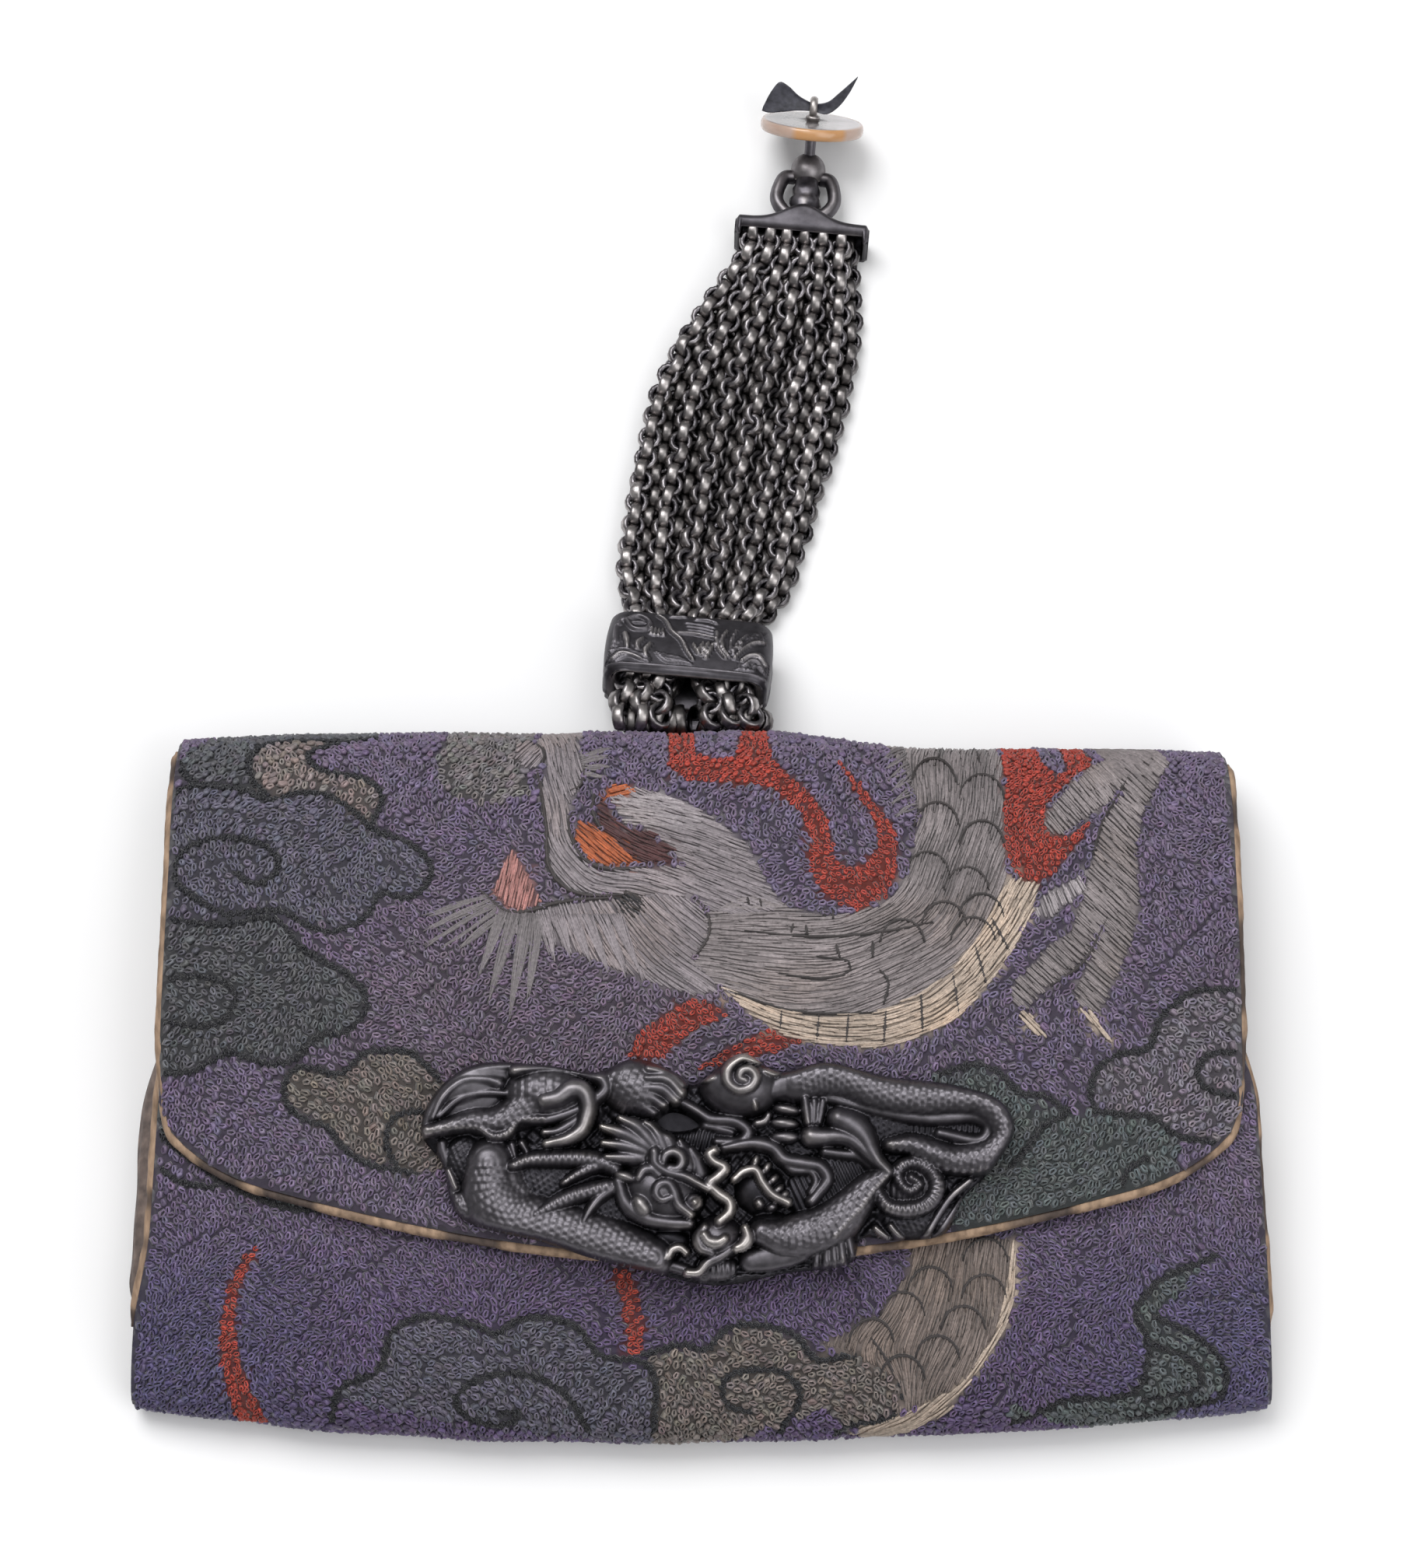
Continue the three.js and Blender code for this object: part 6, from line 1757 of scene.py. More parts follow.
def add_strand(number):
    path = strand_path(number)
    heading = unit(np.gradient(path, axis=0))
    places, scales = link_places(path)
    count = len(places)
    from_bar = count - 1 - np.arange(count)
    centre = path[places] + rng.normal(0, 0.07, (count, 3)) * [1, 0.3, 0.4]
    along = unit(heading[places] + rng.normal(0, 0.06, (count, 3)))
    side = unit(np.cross(along, [0, 0, 1.0]))
    up = np.cross(side, along)
    middle = math.sin(math.pi * (number + 0.5) / STRANDS) ** 2
    roll = (from_bar + 1) % 2 * math.pi / 2 + STRAND_ROLL * middle * smooth((from_bar - 3) / 8)
    roll = roll + rng.normal(0, 1, count) * np.where(scales > 1, LOOSE_ROLL, TIGHT_ROLL)
    axis = up * np.cos(roll)[:, None] + side * np.sin(roll)[:, None]
    radius = LINK_RADIUS * scales
    across = np.cross(axis, along)
    points, faces = rings(centre, along, across, axis, radius, radius, LINK_SECTION, LINK_SECTIONS)
    points[:, 2] = np.maximum(points[:, 2], 0.02)
    shade = np.repeat(rng.uniform(0.75, 1.25, count), LINK_SECTIONS * len(LINK_SECTION))[:, None]
    # Strands of the lower layer are painted darker, as shade under the upper layer
    depth = 1.0 if number % 2 == 0 else LOWER_STRAND_PAINTED_SHADE
    # The wire's colour carries painted shade inside each link and painted light on its outer face
    wire = silver_tint(LINK_PAINTED_LIGHT)
    ring, ring_faces = end_ring(number)
    links = np.tile(wire, (count * LINK_SECTIONS, 1)) * shade * depth
    # End rings painted dark, as shadow behind the fold
    tint = np.vstack([links, np.tile(wire * END_RING_PAINTED_SHADE, (2 * LINK_SECTIONS, 1))])
    faces = np.vstack([faces, ring_faces + len(points)])
    piece = make_object(f"links_{number + 1:02d}", np.vstack([points, ring]), faces, CHAIN_SILVER, tint)
    dress(piece, "pouch", f"chain_strand_{number + 1:02d}")


for strand in range(STRANDS):
    add_strand(strand)


# The carved slider

SLIDER_AT = np.array([-1.6, 49.8, 5.6])
SLIDER_TILT = math.radians(-22)
SLIDER_WIDTH = 19.6
SLIDER_DEPTH = 8.0
SLIDER_LENGTH = 8.9
SLIDER_CORNER = 2.4
SLIDER_PINCH = 0.7
SLIDER_LIP = 0.55
# The opening for the strands, and its rounded mouth: width, depth and corner
SLIDER_HOLE = (16.0, 5.5, 0.8)
SLIDER_MOUTH = (17.1, 6.6, 1.1)
SLIDER_ROUND = 240
SLIDER_ROWS = 72
SLIDER_STROKE_WIDTH = 0.85
# Carving on the slider's face, in mm from its middle: path, radii, height, polish
SLIDER_STROKES = [
    ([(-4.0, 3.7), (-3.05, 3.0), (-2.2, 1.4), (-0.9, 0.1), (-0.2, -1.3), (0.6, -2.5)],
     [0.2, 0.32, 0.28, 0.2], 0.5, 0.6),
    ([(-4.5, 1.7), (-4.6, 0.8)], [0.16, 0.2], 0.4, 0.8),
    ([(-4.1, 1.6), (-4.15, 0.6)], [0.16, 0.2], 0.4, 0.8),
    ([(-3.7, 1.5), (-3.65, 0.6)], [0.16, 0.2], 0.4, 0.8),
    ([(-3.3, 1.6), (-3.1, 0.7)], [0.16, 0.2], 0.4, 0.7),
    ([(-7.5, 0.3), (-7.2, -0.8), (-7.1, -1.6)], [0.4, 0.4, 0.2], 0.55, 0.6),
    ([(-5.4, -0.1), (-6.0, -0.9), (-5.9, -1.6)], [0.25, 0.4, 0.25], 0.5, 0.5),
    ([(-4.5, -0.8), (-5.0, -1.8), (-4.8, -2.6)], [0.25, 0.4, 0.25], 0.5, 0.7),
    ([(-2.5, 3.7), (-0.8, 3.9)], [0.16, 0.2, 0.16], 0.35, 0.5),
    ([(-1.6, 1.2), (0.3, 1.3), (2.9, 0.9)], [0.2, 0.24, 0.2], 0.4, 0.5),
    ([(0.4, 3.6), (1.8, 3.7), (3.0, 3.3)], [0.16, 0.2, 0.16], 0.35, 0.3),
    ([(0.5, -0.3), (1.0, -1.4)], [0.2, 0.3, 0.18], 0.5, 0.8),
    ([(1.6, 0.0), (1.1, -1.6)], [0.2, 0.3, 0.18], 0.5, 0.8),
    ([(2.2, 0.1), (1.7, -1.7)], [0.2, 0.3, 0.18], 0.5, 0.8),
    ([(2.8, 0.0), (2.1, -2.1)], [0.2, 0.3, 0.18], 0.5, 0.7),
    ([(3.0, 1.9), (3.2, 0.2), (3.6, -0.9), (4.4, -1.9)], [0.2, 0.26, 0.26, 0.18], 0.5, 0.5),
    ([(4.2, 2.2), (3.7, 0.8), (4.0, -0.6), (4.7, -1.6)], [0.2, 0.26, 0.26, 0.18], 0.5, 0.6),
    ([(5.4, -1.8), (6.3, -0.4), (7.5, 0.7), (8.7, 1.1)], [0.2, 0.26, 0.26, 0.18], 0.5, 0.5),
    ([(5.2, -1.2), (5.6, 0.4), (6.6, 1.8)], [0.2, 0.26, 0.18], 0.45, 0.3),
    ([(4.9, -0.8), (4.8, 0.6), (5.3, 2.4)], [0.2, 0.26, 0.18], 0.45, 0.3),
    ([(5.3, -0.3), (5.9, -0.1), (6.1, 0.6)], [0.16, 0.22, 0.16], 0.4, 0.7),
    ([(6.2, -2.1), (7.1, -1.3), (8.1, -1.2), (8.9, -2.1)], [0.2, 0.3, 0.3, 0.2], 0.5, 0.6),
    ([(6.7, -2.6), (7.4, -1.9), (8.1, -1.9), (8.7, -2.9)], [0.16, 0.22, 0.22, 0.16], 0.4, 0.4),
    ([(-8.6, -3.2), (-7.8, -2.5), (-6.6, -2.6), (-5.3, -3.1)], [0.2, 0.28, 0.28, 0.18], 0.45, 0.5),
    ([(-8.9, -2.2), (-8.5, -0.4), (-8.6, 1.4), (-8.0, 2.8)], [0.2, 0.3, 0.3, 0.2], 0.45, 0.1),
    ([(-7.6, 2.6), (-6.2, 3.4), (-4.9, 2.6), (-5.1, 1.5), (-6.6, 1.3), (-7.6, 2.6)],
     [0.3, 0.3, 0.3, 0.3], 0.45, 0.15),
    ([(-6.9, 2.3), (-5.4, 2.4)], [0.18, 0.24, 0.16], 0.3, 0.2),
    ([(-9.0, -3.9), (0, -3.75), (9.0, -3.9)], [0.22, 0.22, 0.22], 0.35, 0.35),
]
# Fine lines: hatching, waves at both lower corners, grass at the right, and streaks of cloud at the top
SLIDER_FINE = [([(-3.6 + 0.42 * k, -1.9 - 0.06 * k), (-3.0 + 0.44 * k, -2.6), (-2.3 + 0.45 * k, -3.1)],
                [0.12, 0.16, 0.12], 0.28, 0.3) for k in range(7)]
SLIDER_FINE += [([(-9.4 + 0.35 * k, -3.5), (-8.7 + 0.4 * k, -2.0 - 0.3 * k), (-6.6 + 0.2 * k, -1.9 - 0.3 * k),
                  (-4.4, -2.8 - 0.2 * k)], [0.12, 0.15, 0.12], 0.26, 0.35) for k in range(4)]
SLIDER_FINE += [([(5.9 + 0.35 * k, -3.3), (6.5 + 0.35 * k, -1.7 - 0.35 * k), (8.0, -0.7 - 0.45 * k),
                  (9.4, -1.6 - 0.4 * k)], [0.12, 0.15, 0.12], 0.26, 0.35) for k in range(5)]
SLIDER_FINE += [([(6.6 + 0.55 * k, 0.35 * k), (6.9 + 0.5 * k, 1.2 + 0.3 * k), (7.6 + 0.4 * k, 2.3 + 0.2 * k)],
                 [0.12, 0.14, 0.12], 0.24, 0.25) for k in range(4)]
SLIDER_FINE += [([(-0.6 + 0.2 * k, 3.0 - 0.5 * k), (1.2, 2.9 - 0.5 * k), (2.7, 2.6 - 0.5 * k)],
                 [0.1, 0.13, 0.1], 0.2, 0.25) for k in range(4)]


def turn_x(points, angle):
    x, y, z = np.moveaxis(points, -1, 0)
    cos, sin = math.cos(angle), math.sin(angle)
    return np.stack([x, y * cos - z * sin, y * sin + z * cos], axis=-1)


def turn_z(points, angle):
    x, y, z = np.moveaxis(points, -1, 0)
    cos, sin = math.cos(angle), math.sin(angle)
    return np.stack([x * cos - y * sin, x * sin + y * cos, z], axis=-1)


def rounded_loop(width, depth, corner, count):
    """Points (x, z) round a rectangle with round corners, evenly apart, and their outward directions."""
    arc = np.linspace(0, math.pi / 2, 12)
    loop = []
    for k, (sx, sz) in enumerate(((1, 1), (-1, 1), (-1, -1), (1, -1))):
        centre = np.array([sx * (width / 2 - corner), sz * (depth / 2 - corner)])
        angle = arc + k * math.pi / 2
        loop.append(centre + corner * np.stack([np.cos(angle), np.sin(angle)], axis=1))
    loop = np.vstack(loop + [loop[0][:1]])
    loop = resample(loop, np.linalg.norm(np.diff(loop, axis=0), axis=1).sum() / count)[:count]
    along = np.roll(loop, -1, axis=0) - np.roll(loop, 1, axis=0)
    return loop, unit(np.stack([along[:, 1], -along[:, 0]], axis=1))


def slider_row(v, strokes):
    """One ring of points round the slider's outside, at a share of its half length, and its wear."""
    pinch = SLIDER_PINCH * v**2 + SLIDER_LIP * smooth((abs(v) - 0.9) / 0.1)**2
    loop, out = rounded_loop(SLIDER_WIDTH - pinch, SLIDER_DEPTH - pinch, SLIDER_CORNER, SLIDER_ROUND)
    y = np.full(SLIDER_ROUND, v * SLIDER_LENGTH / 2)
    down = np.clip(SLIDER_DEPTH / 2 - loop[:, 1] - 1.2, 0, 9)
    face = np.column_stack([loop[:, 0] + np.sign(loop[:, 0]) * down * 0.25, y])
    carve, shine = relief(face, np.zeros(SLIDER_ROUND), [], strokes)
    upper = smooth((loop[:, 1] + 1.5) / 1.5)
    ripple = 0.1 * np.cos(loop[:, 1] * 5.5 + y * 1.4) * (1 - upper)
    carve = carve * upper + ripple
    at = loop + out * carve[:, None]
    wear = np.clip(-0.6 + carve * 1.3 + shine * upper * 0.5, -1, 1)
    return np.column_stack([at[:, 0], y, at[:, 1]]), wear


def add_slider():
    carving = [(row, SLIDER_STROKE_WIDTH) for row in SLIDER_STROKES] + [(row, 1.0) for row in SLIDER_FINE]
    strokes = [(path, [r * width for r in radii], 0, top, "smooth", polish)
               for (path, radii, top, polish), width in carving]
    rows, wears = [], []
    for v in np.linspace(-1, 1, SLIDER_ROWS):
        row, wear = slider_row(v, strokes)
        rows.append(row)
        wears.append(wear)
    hole, _ = rounded_loop(*SLIDER_HOLE, SLIDER_ROUND)
    rim, _ = rounded_loop(*SLIDER_MOUTH, SLIDER_ROUND)
    inner = ((1.0, rim, 0.4), (0.96, hole, -0.3), (0, hole, -1), (-0.96, hole, -0.3), (-1.02, rim, 0.5))
    for v, loop, wear in inner:
        y = np.full(SLIDER_ROUND, v * SLIDER_LENGTH / 2)
        rows.append(np.column_stack([loop[:, 0], y, loop[:, 1]]))
        wears.append(np.full(SLIDER_ROUND, wear))
    points = turn_z(turn_x(np.vstack(rows), SLIDER_TILT), -STRAP_YAW) + SLIDER_AT
    faces = grid_faces(len(rows), SLIDER_ROUND, wrap_rows=True, wrap_columns=True)
    tint = silver_tint(np.concatenate(wears))
    piece = make_object("carved_slider", points, faces, CAST_SILVER, tint)
    dress(piece, "pouch", "chain_slider")


add_slider()


# End bar with scroll arms and dome

END_AT = np.array([11.9, 103.5, 0.0])
BAR_HALF_WIDTH = 8.1
BAR_END_LENGTH = 2.4
BAR_MID_RISE = 2.1
BAR_HEIGHT = 6.2
BAR_FLOOR = 0.05
BAR_MID_WIDTH = 3.1
BAR_ROUND = 0.7
SLOT_HALF_WIDTH = 7.45
SLOT_DEPTH = 1.65
SLOT_LOW = 0.7
SLOT_HIGH = 5.5
ROOF_SETBACK = 1.0
DOME_AT = np.array([0, 10.2, 2.7])
DOME_RADIUS = 2.1
TOGGLE_TILT = math.radians(35)
ARM_PATH = [
    (0.5, 3.7, 3.1), (2.3, 4.3, 3.1), (3.45, 5.9, 3.0), (3.3, 7.8, 2.8), (2.7, 9.1, 2.5), (1.6, 9.4, 2.2),
]
ARM_SECTION = ellipse(0.82, 1.1, 14)
LATHE_SIDES = 48
# Wear and painted light round the bar's section: foot, back, roof, whose front edge has a painted highlight,
# and slot, which has painted shade
BAR_WEAR_AND_PAINTED_LIGHT = (np.full(3, -0.6), np.linspace(-0.6, -0.4, 5), np.linspace(-0.45, 0.1, 5), (-0.3, -1, -1, -0.5))
# Turned sections as (radius, y)
NECK = [
    (0.05, 3.2), (2.6, 3.2), (2.4, 4.0), (1.9, 4.6), (1.75, 5.0), (1.95, 5.4), (1.9, 6.1),
    (1.55, 6.4), (1.7, 6.8), (1.75, 7.4), (1.5, 7.8), (1.3, 9.2), (0.05, 9.2),
]
DOME_BORE = [(0.75, 0.9), (0.75, -0.9)]


def lathe(section):
    """A turned shape round the y axis from (radius, y) points, closed from the last point to the first."""
    angle = np.linspace(0, 2 * math.pi, LATHE_SIDES, endpoint=False)
    cos, sin = np.cos(angle), np.sin(angle)
    rows = [np.column_stack([r * cos, np.full(LATHE_SIDES, y), -r * sin]) for r, y in section]
    return np.vstack(rows), grid_faces(len(section), LATHE_SIDES, wrap_rows=True, wrap_columns=True)


def arc_points(radius, low, high, count):
    return [(radius * math.cos(a), radius * math.sin(a)) for a in np.linspace(low, high, count)]


def end_to_pouch(points):
    return turn_z(points, -STRAP_YAW) + END_AT


def toggle_to_pouch(points):
    return end_to_pouch(turn_x(points, TOGGLE_TILT) + DOME_AT)


def bar_section(x):
    """The bar's outline (y, z) at one place across it, slot included."""
    end = smooth((BAR_HALF_WIDTH - abs(x)) / 0.5)
    in_slot = smooth((SLOT_HALF_WIDTH - abs(x)) / 0.15)
    top = BAR_HEIGHT - 0.5 * (1 - end)
    back = (BAR_END_LENGTH + BAR_MID_RISE * math.exp(-(abs(x) / BAR_MID_WIDTH)**2.0)) - 0.4 * (1 - end)
    front = 0.3 * (1 - end)
    pocket = front + SLOT_DEPTH * in_slot
    roof = front + ROOF_SETBACK * in_slot
    r = BAR_ROUND
    turn = np.linspace(0, math.pi / 2, 5)
    back_top = [(back - r + r * math.sin(a), top - r + r * math.cos(a)) for a in turn[::-1]]
    front_top = [(roof + r - r * math.sin(a), top - r + r * math.cos(a)) for a in turn]
    bottom = [(front, BAR_FLOOR), (back - 0.4, BAR_FLOOR), (back, BAR_FLOOR + 0.4)]
    slot = [(roof, SLOT_HIGH), (pocket, SLOT_HIGH - 0.05), (pocket, SLOT_LOW + 0.05), (front, SLOT_LOW)]
    return np.array(bottom + back_top + front_top + slot)


def add_end_bar():
    ends = np.linspace(7.2, BAR_HALF_WIDTH, 12)
    across = np.concatenate([-ends[::-1], np.linspace(-7, 7, 57), ends])
    sections = [bar_section(x) for x in across]
    count = len(sections[0])
    rows = np.vstack([np.column_stack([np.full(count, x), sec]) for x, sec in zip(across, sections)])
    # Painted highlight along the roof's front edge and painted shade in the slot, with a wobble of wear
    wear = np.tile(np.concatenate(BAR_WEAR_AND_PAINTED_LIGHT), len(across)) + 0.18 * wobble(rows[:, 0], rows[:, 1], 1.5, 6)
    faces = [grid_faces(len(across), count, wrap_columns=True)]
    parts, tints = [rows], [silver_tint(np.clip(wear, -1, 1))]

    def join(points, quads, worn):
        faces.append(quads + sum(len(p) for p in parts))
        parts.append(points)
        tints.append(silver_tint(worn))

    points, quads = lathe(NECK)
    x, y, z = points.T
    points = points * [1, 1, 0.9] + [0, 0, 3.0] + 0.08 * wobble(x * 3, y * 3 + z * 2, 2, 9)[:, None]
    join(points, quads, np.clip(-0.2 + 0.5 * wobble(points[:, 0], points[:, 1], 1.1, 3), -1, 1))
    points, quads = lathe(DOME_BORE + arc_points(DOME_RADIUS, -0.5, 1.2, 20))
    # A painted highlight on the dome's lower rim
    rim = smooth((-points[:, 1] - 0.2) / 0.8) * (np.hypot(points[:, 0], points[:, 2]) > 1.6)
    join(turn_x(points, TOGGLE_TILT) + DOME_AT, quads, 0.2 + 0.5 * rim)
    for side in (-1, 1):
        path = spline(np.array(ARM_PATH) * [side, 1, 1], 0.18)
        points, _ = bar_along(path, ARM_SECTION, np.ones(len(path)))
        quads = grid_faces(len(path), len(ARM_SECTION), wrap_columns=True)
        # The arms are lighter on their upper side
        join(points, quads, np.tile(-0.45 + 0.6 * np.clip(ARM_SECTION[:, 1], 0, 1), len(path)))
    points = end_to_pouch(np.vstack(parts))
    piece = make_object("bar_and_dome", points, np.vstack(faces), CAST_SILVER, np.vstack(tints))
    close_shell(piece, fill_ends=True)
    dress(piece, "pouch", "end_bar")


add_end_bar()


# Toggle: post with eye, shell disc, leather strip

POST_RADIUS = 0.65
POST = [
    (0.02, -3.0), (0.77, -3.0), (1.1, -2.6), (1.1, -2.2), (0.66, -2.15), (POST_RADIUS, -1),
    (POST_RADIUS, 4.6), (0.72, 6.2), (0.86, 6.45), (0.86, 6.65), (0.5, 6.9), (0.02, 6.95),
]
EYE_FOOT = 6.0
EYE_AT = 7.75
EYE_RING = 0.95
EYE_WIRE = 0.38
DISC_AT = 5.4
DISC_RADIUS = 6.25
DISC_THICKNESS = 1.4
DISC_HOLE = 0.95
DISC_RINGS = (5.6, 4.6, 3.4, 2.2, DISC_HOLE)
SHELL_SHADE = [(0.3, (0.9, 0.89, 0.88)), (0.7, (1.06, 1.05, 1.05))]
STRIP_LOW = [
    (-6.2, 6.9), (-5.4, 6.75), (-3.4, 7.05), (-1.8, 7.3), (0, 7.3), (1.6, 7.1), (2.9, 8.0), (4.1, 9.8),
    (5.0, 11.85),
]
STRIP_HIGH = [
    (-6.1, 7.4), (-5.3, 9.3), (-4.3, 10.6), (-3.3, 10.2), (-1.8, 9.0), (0, 8.3), (1.6, 8.6), (2.9, 9.8),
    (5.0, 12.0),
]
STRIP_Z = [(-6.2, 0.5), (-3.4, 0.4), (0, 0), (2.9, 0.2), (4.75, 0.4)]
STRIP_HALF_THICKNESS = 0.33
STRIP_STEPS = 48
DISC_FACE = srgb(150, 145, 146)
DISC_LIGHT = srgb(168, 162, 165)
DISC_GREY = srgb(126, 122, 123)
DISC_PEACH = srgb(182, 158, 144)
DISC_ORANGE = srgb(192, 146, 100)


def add_post():
    points, quads = lathe(POST)
    centre, along, up, axis = np.array([[[0, EYE_AT, 0]], [[0, 1, 0]], [[0, 0, 1]], [[1, 0, 0]]], float)
    radius = np.array([EYE_RING])
    wire = ellipse(EYE_WIRE, EYE_WIRE * 1.25, 12)
    ring, ring_faces = rings(centre, along, up, axis, radius, radius, wire, 32)
    wear = np.r_[np.where(points[:, 1] > EYE_FOOT, 0.6, -0.05), np.full(len(ring), 0.75)]
    faces = np.vstack([quads, ring_faces + len(points)])
    points = toggle_to_pouch(np.vstack([points, ring]))
    piece = make_object("post_and_eye", points, faces, CAST_SILVER, silver_tint(wear))
    dress(piece, "toggle", "swivel_post")


def add_disc():
    surface = {"roughness": 0.22, "coat": 0.5, "subsurface": 0.25}
    material, shader = grain_material("shell", 260.0, 4.0, SHELL_SHADE, tinted=True, **surface)
    shader.inputs["Subsurface Radius"].default_value = (1.0, 0.8, 0.7)
    shader.inputs["Subsurface Scale"].default_value = 0.0012
    shader.inputs["Coat Roughness"].default_value = 0.12
    low, high = DISC_AT - DISC_THICKNESS / 2, DISC_AT + DISC_THICKNESS / 2
    edge = [(DISC_RADIUS - 0.3 + 0.3 * math.cos(a), DISC_AT + (DISC_THICKNESS / 2) * math.sin(a))
            for a in np.linspace(-1.35, 1.35, 9)]
    face = [(r, high) for r in DISC_RINGS]
    back = [(r, low) for r in DISC_RINGS[::-1]]
    points, quads = lathe(back + edge + face)
    x, y, z = points.T
    radius = np.hypot(x, z)
    top = y > DISC_AT + 0.55
    on_rim = radius > 5.7
    tone = np.tile(DISC_FACE, (len(points), 1))
    tone[top & (x < 1.5) & (radius < 5.0)] = DISC_GREY
    tone[top & (x > 3.2)] = DISC_LIGHT
    tone[on_rim] = DISC_PEACH
    tone[on_rim & (z > 3.0) & (x > -2.2) & (x < 4.0)] = DISC_ORANGE
    piece = make_object("shell_disc", toggle_to_pouch(points), quads, material, tone)
    dress(piece, "toggle", "toggle_disc")


def add_strip():
    tones = [(0.3, srgb(36, 36, 43)), (0.75, srgb(70, 70, 80))]
    material, _ = grain_material("strip_leather", 1500.0, 4.0, tones, (0.4, 0.0001), roughness=0.5)
    low, high = (even_points(spline(edge, 0.05), STRIP_STEPS) for edge in (STRIP_LOW, STRIP_HIGH))
    middle, half = (low + high) / 2, (high - low) / 2
    z = np.interp(middle[:, 0], *np.array(STRIP_Z).T)
    cos, sin = ellipse(1, 1, 20).T
    swing = np.abs(cos)**0.7 * np.sign(cos)
    belly = np.abs(sin)**0.5 * np.sign(sin) * STRIP_HALF_THICKNESS
    rows = []
    for k in range(STRIP_STEPS):
        curl = 0.35 * swing**2 * min(1.0, np.linalg.norm(half[k]))
        flat = middle[k] + half[k] * swing[:, None]
        rows.append(np.column_stack([flat, z[k] + belly + curl]))
    quads = grid_faces(STRIP_STEPS, len(swing), wrap_columns=True)
    piece = make_object("leather_strip", toggle_to_pouch(np.vstack(rows)), quads, material)
    close_shell(piece, fill_ends=True)
    dress(piece, "toggle", "retaining_strip")


add_post()
add_disc()
add_strip()


# Edge bindings and gussets

BINDING_OUT = 0.4
BINDING_TOP = 39.2
BINDING_FOOT = -31.0
BINDING_TAN = srgb(158, 134, 112)
BINDING_DARK = srgb(78, 66, 60)
BINDING_SECTION = ellipse(0.62, 0.85, 10)
BINDING_STEP = 0.45
BINDING_SHADE = [(0.35, (0.55, 0.52, 0.5)), (0.65, (1.15, 1.12, 1.1))]
GUSSET_INSET = 1.6
GUSSET_MOUTH = 23.0
GUSSET_FOOT = -31.0
GUSSET_THICKNESS = 1.2
GUSSET_GAP = 0.3
GUSSET_ROWS = 110
GUSSET_COLUMNS = 22


def add_binding(name, node, path, worn_seed, material):
    path = spline(path, BINDING_STEP)
    place = np.arange(len(path)) * BINDING_STEP
    level = place * 0
    patches = wobble(place, level + worn_seed, 9, worn_seed) + wobble(place, level, 2.6, worn_seed + 1) * 0.5
    wear = smooth((patches - 0.1) / 0.5)
    size = 1.0 - 0.22 * wear + 0.06 * wobble(place, level, 1.3, worn_seed + 2)
    size = size * (0.35 + 0.65 * smooth(np.minimum(place, place[-1] - place) / 2.0))
    points, triangles = bar_along(path, BINDING_SECTION, size)
    tint = BINDING_TAN + (BINDING_DARK - BINDING_TAN) * wear[:, None]
    piece = make_object(name, points, triangles, material, np.repeat(tint, len(BINDING_SECTION), axis=0))
    dress(piece, "pouch", node)


def edge_path(s, side, out):
    """The middle of the cloth's thickness at its side edge, a little way out."""
    x = side * half_width(s)
    return lift(s, x, np.full_like(s, -CLOTH / 2)) + np.array([side * out, 0, 0])


def add_bindings():
    material, _ = grain_material("edge_binding", 1200.0, 5.0, BINDING_SHADE, (0.6, 0.00025), (1.0, 0.35, 1.0),
                                 tinted=True, roughness=0.75)
    fold = np.linspace(S_FOLD_FRONT, S_SEAT, 60)
    fold = fold[cloth_base(fold, fold * 0)[:, 1] < BINDING_TOP][::4]
    x = np.linspace(-FLAP_HALF_WIDTH, FLAP_HALF_WIDTH, 91)[1:-1]
    rim = lift(flap_limit(x), x, np.full_like(x, -CLOTH / 2))
    along = np.gradient(rim, axis=0)
    out = unit(np.stack([along[:, 1], -along[:, 0], 0 * x], axis=1)) * BINDING_OUT
    left, right = (edge_path(fold, side, BINDING_OUT) for side in (-1, 1))
    add_binding("flap_edge", "flap_binding", np.vstack([left, rim + out, right[::-1]]), 3, material)
    front = np.linspace(0.0, S_BACK, 60)
    front = front[(cloth_base(front, front * 0)[:, 1] > BINDING_FOOT)][::3]
    for side, label, out in ((-1, "left", 0.4), (1, "right", 0.1)):
        path = edge_path(front, side, out)
        add_binding("front_edge_" + label, "front_binding_" + label, path, 5 + side, material)


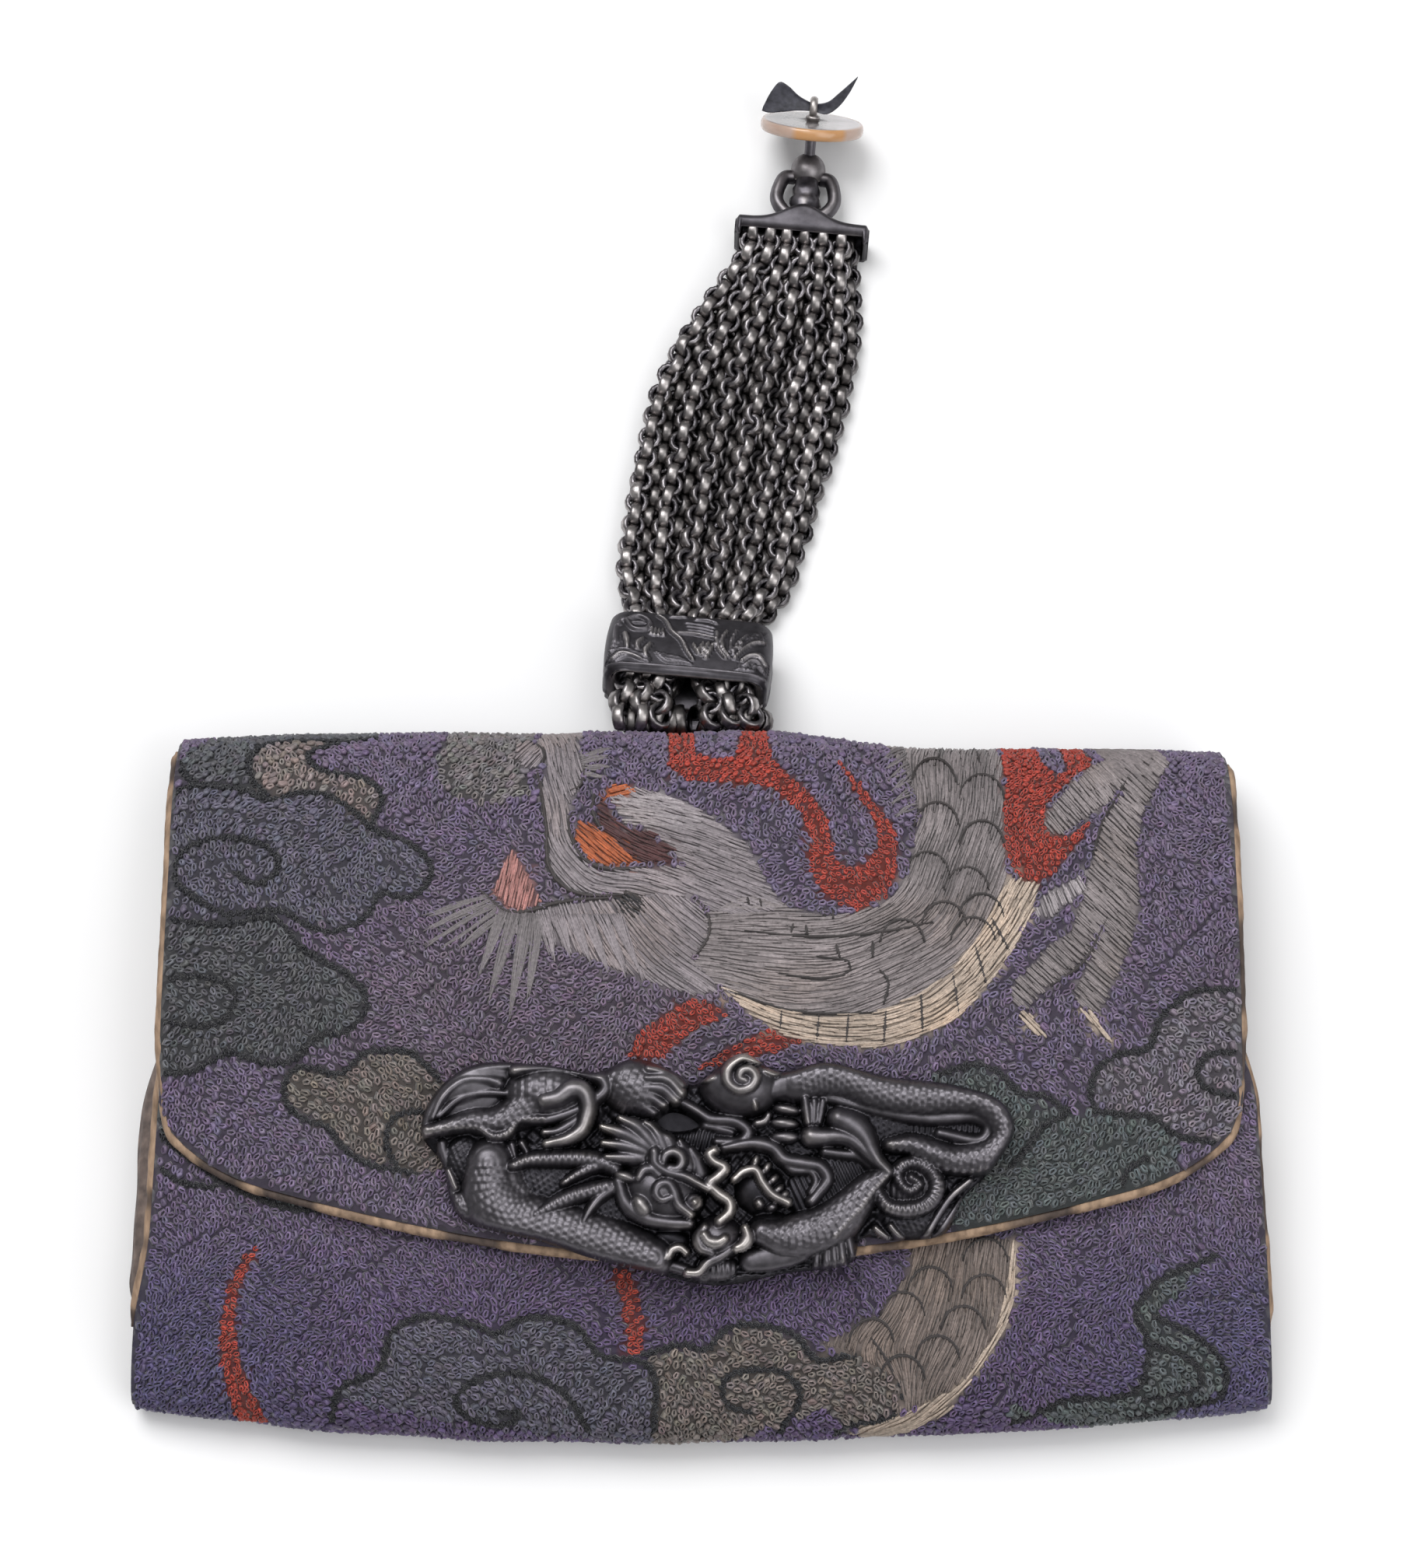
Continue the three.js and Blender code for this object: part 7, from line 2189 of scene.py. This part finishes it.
def add_gusset(side, label, bulge, material):
    y = np.linspace(GUSSET_FOOT, GUSSET_MOUTH, GUSSET_ROWS)
    across = np.linspace(0, 1, GUSSET_COLUMNS)
    front = np.array([name.startswith("front") for name in VIEW_NAME])
    order = np.argsort(VIEW_Y[front])
    z_front = np.interp(y, VIEW_Y[front][order], VIEW_Z[front][order]) * (1 - SIDE_DROP)
    low = CLOTH + GUSSET_GAP
    high = z_front - CLOTH - GUSSET_GAP
    edge = body_half_width(y) - front_tuck(y) - GUSSET_INSET
    ends = smooth((y - GUSSET_FOOT) / 9) * smooth((GUSSET_MOUTH - y) / 12)
    grid_y, grid_a = np.meshgrid(y, across, indexing="ij")
    folds = 0.16 * np.cos(grid_a * 26 + 0.8 * wobble(grid_y, grid_a * 4, 14, 3))
    crease = folds + 0.16 * wobble(grid_y, grid_a * 8, 5, 7)
    swell = (bulge * 4 * grid_a * (1 - grid_a) + crease * np.sin(grid_a * math.pi)) * ends[:, None]
    z = low + (high - low)[:, None] * grid_a
    outer = np.stack([side * (edge[:, None] + swell), grid_y, z], axis=-1)
    inner = np.stack([side * (edge[:, None] + swell - GUSSET_THICKNESS), grid_y, z], axis=-1)
    points = np.concatenate([outer, inner[:, ::-1]], axis=1)
    faces = skin_faces(GUSSET_ROWS, GUSSET_COLUMNS)
    piece = make_object("leather_wall_" + label, points, faces if side < 0 else faces[:, ::-1], material)
    dress(piece, "pouch", "gusset_" + label)


def add_gussets():
    tones = [(0.3, srgb(74, 64, 60)), (0.55, srgb(108, 94, 88)), (0.8, srgb(140, 122, 112))]
    material, _ = grain_material("gusset_leather", 700.0, 5.0, tones, (0.5, 0.0003), roughness=0.7)
    add_gusset(-1, "left", 2.9, material)
    add_gusset(1, "right", 1.6, material)


add_bindings()
add_gussets()


# Plain bars behind the fold keep their solids

def dress_anchors():
    tones = [(0.3, SILVER_DARK), (0.7, SILVER_MID)]
    material, _ = grain_material("anchor_silver", 900.0, 4.0, tones, metallic=1.0, roughness=0.4)
    for node in ("chain_anchor_left", "chain_anchor_right"):
        bar = bpy.data.objects[node]
        bar.data.materials.clear()
        bar.data.materials.append(material)


dress_anchors()
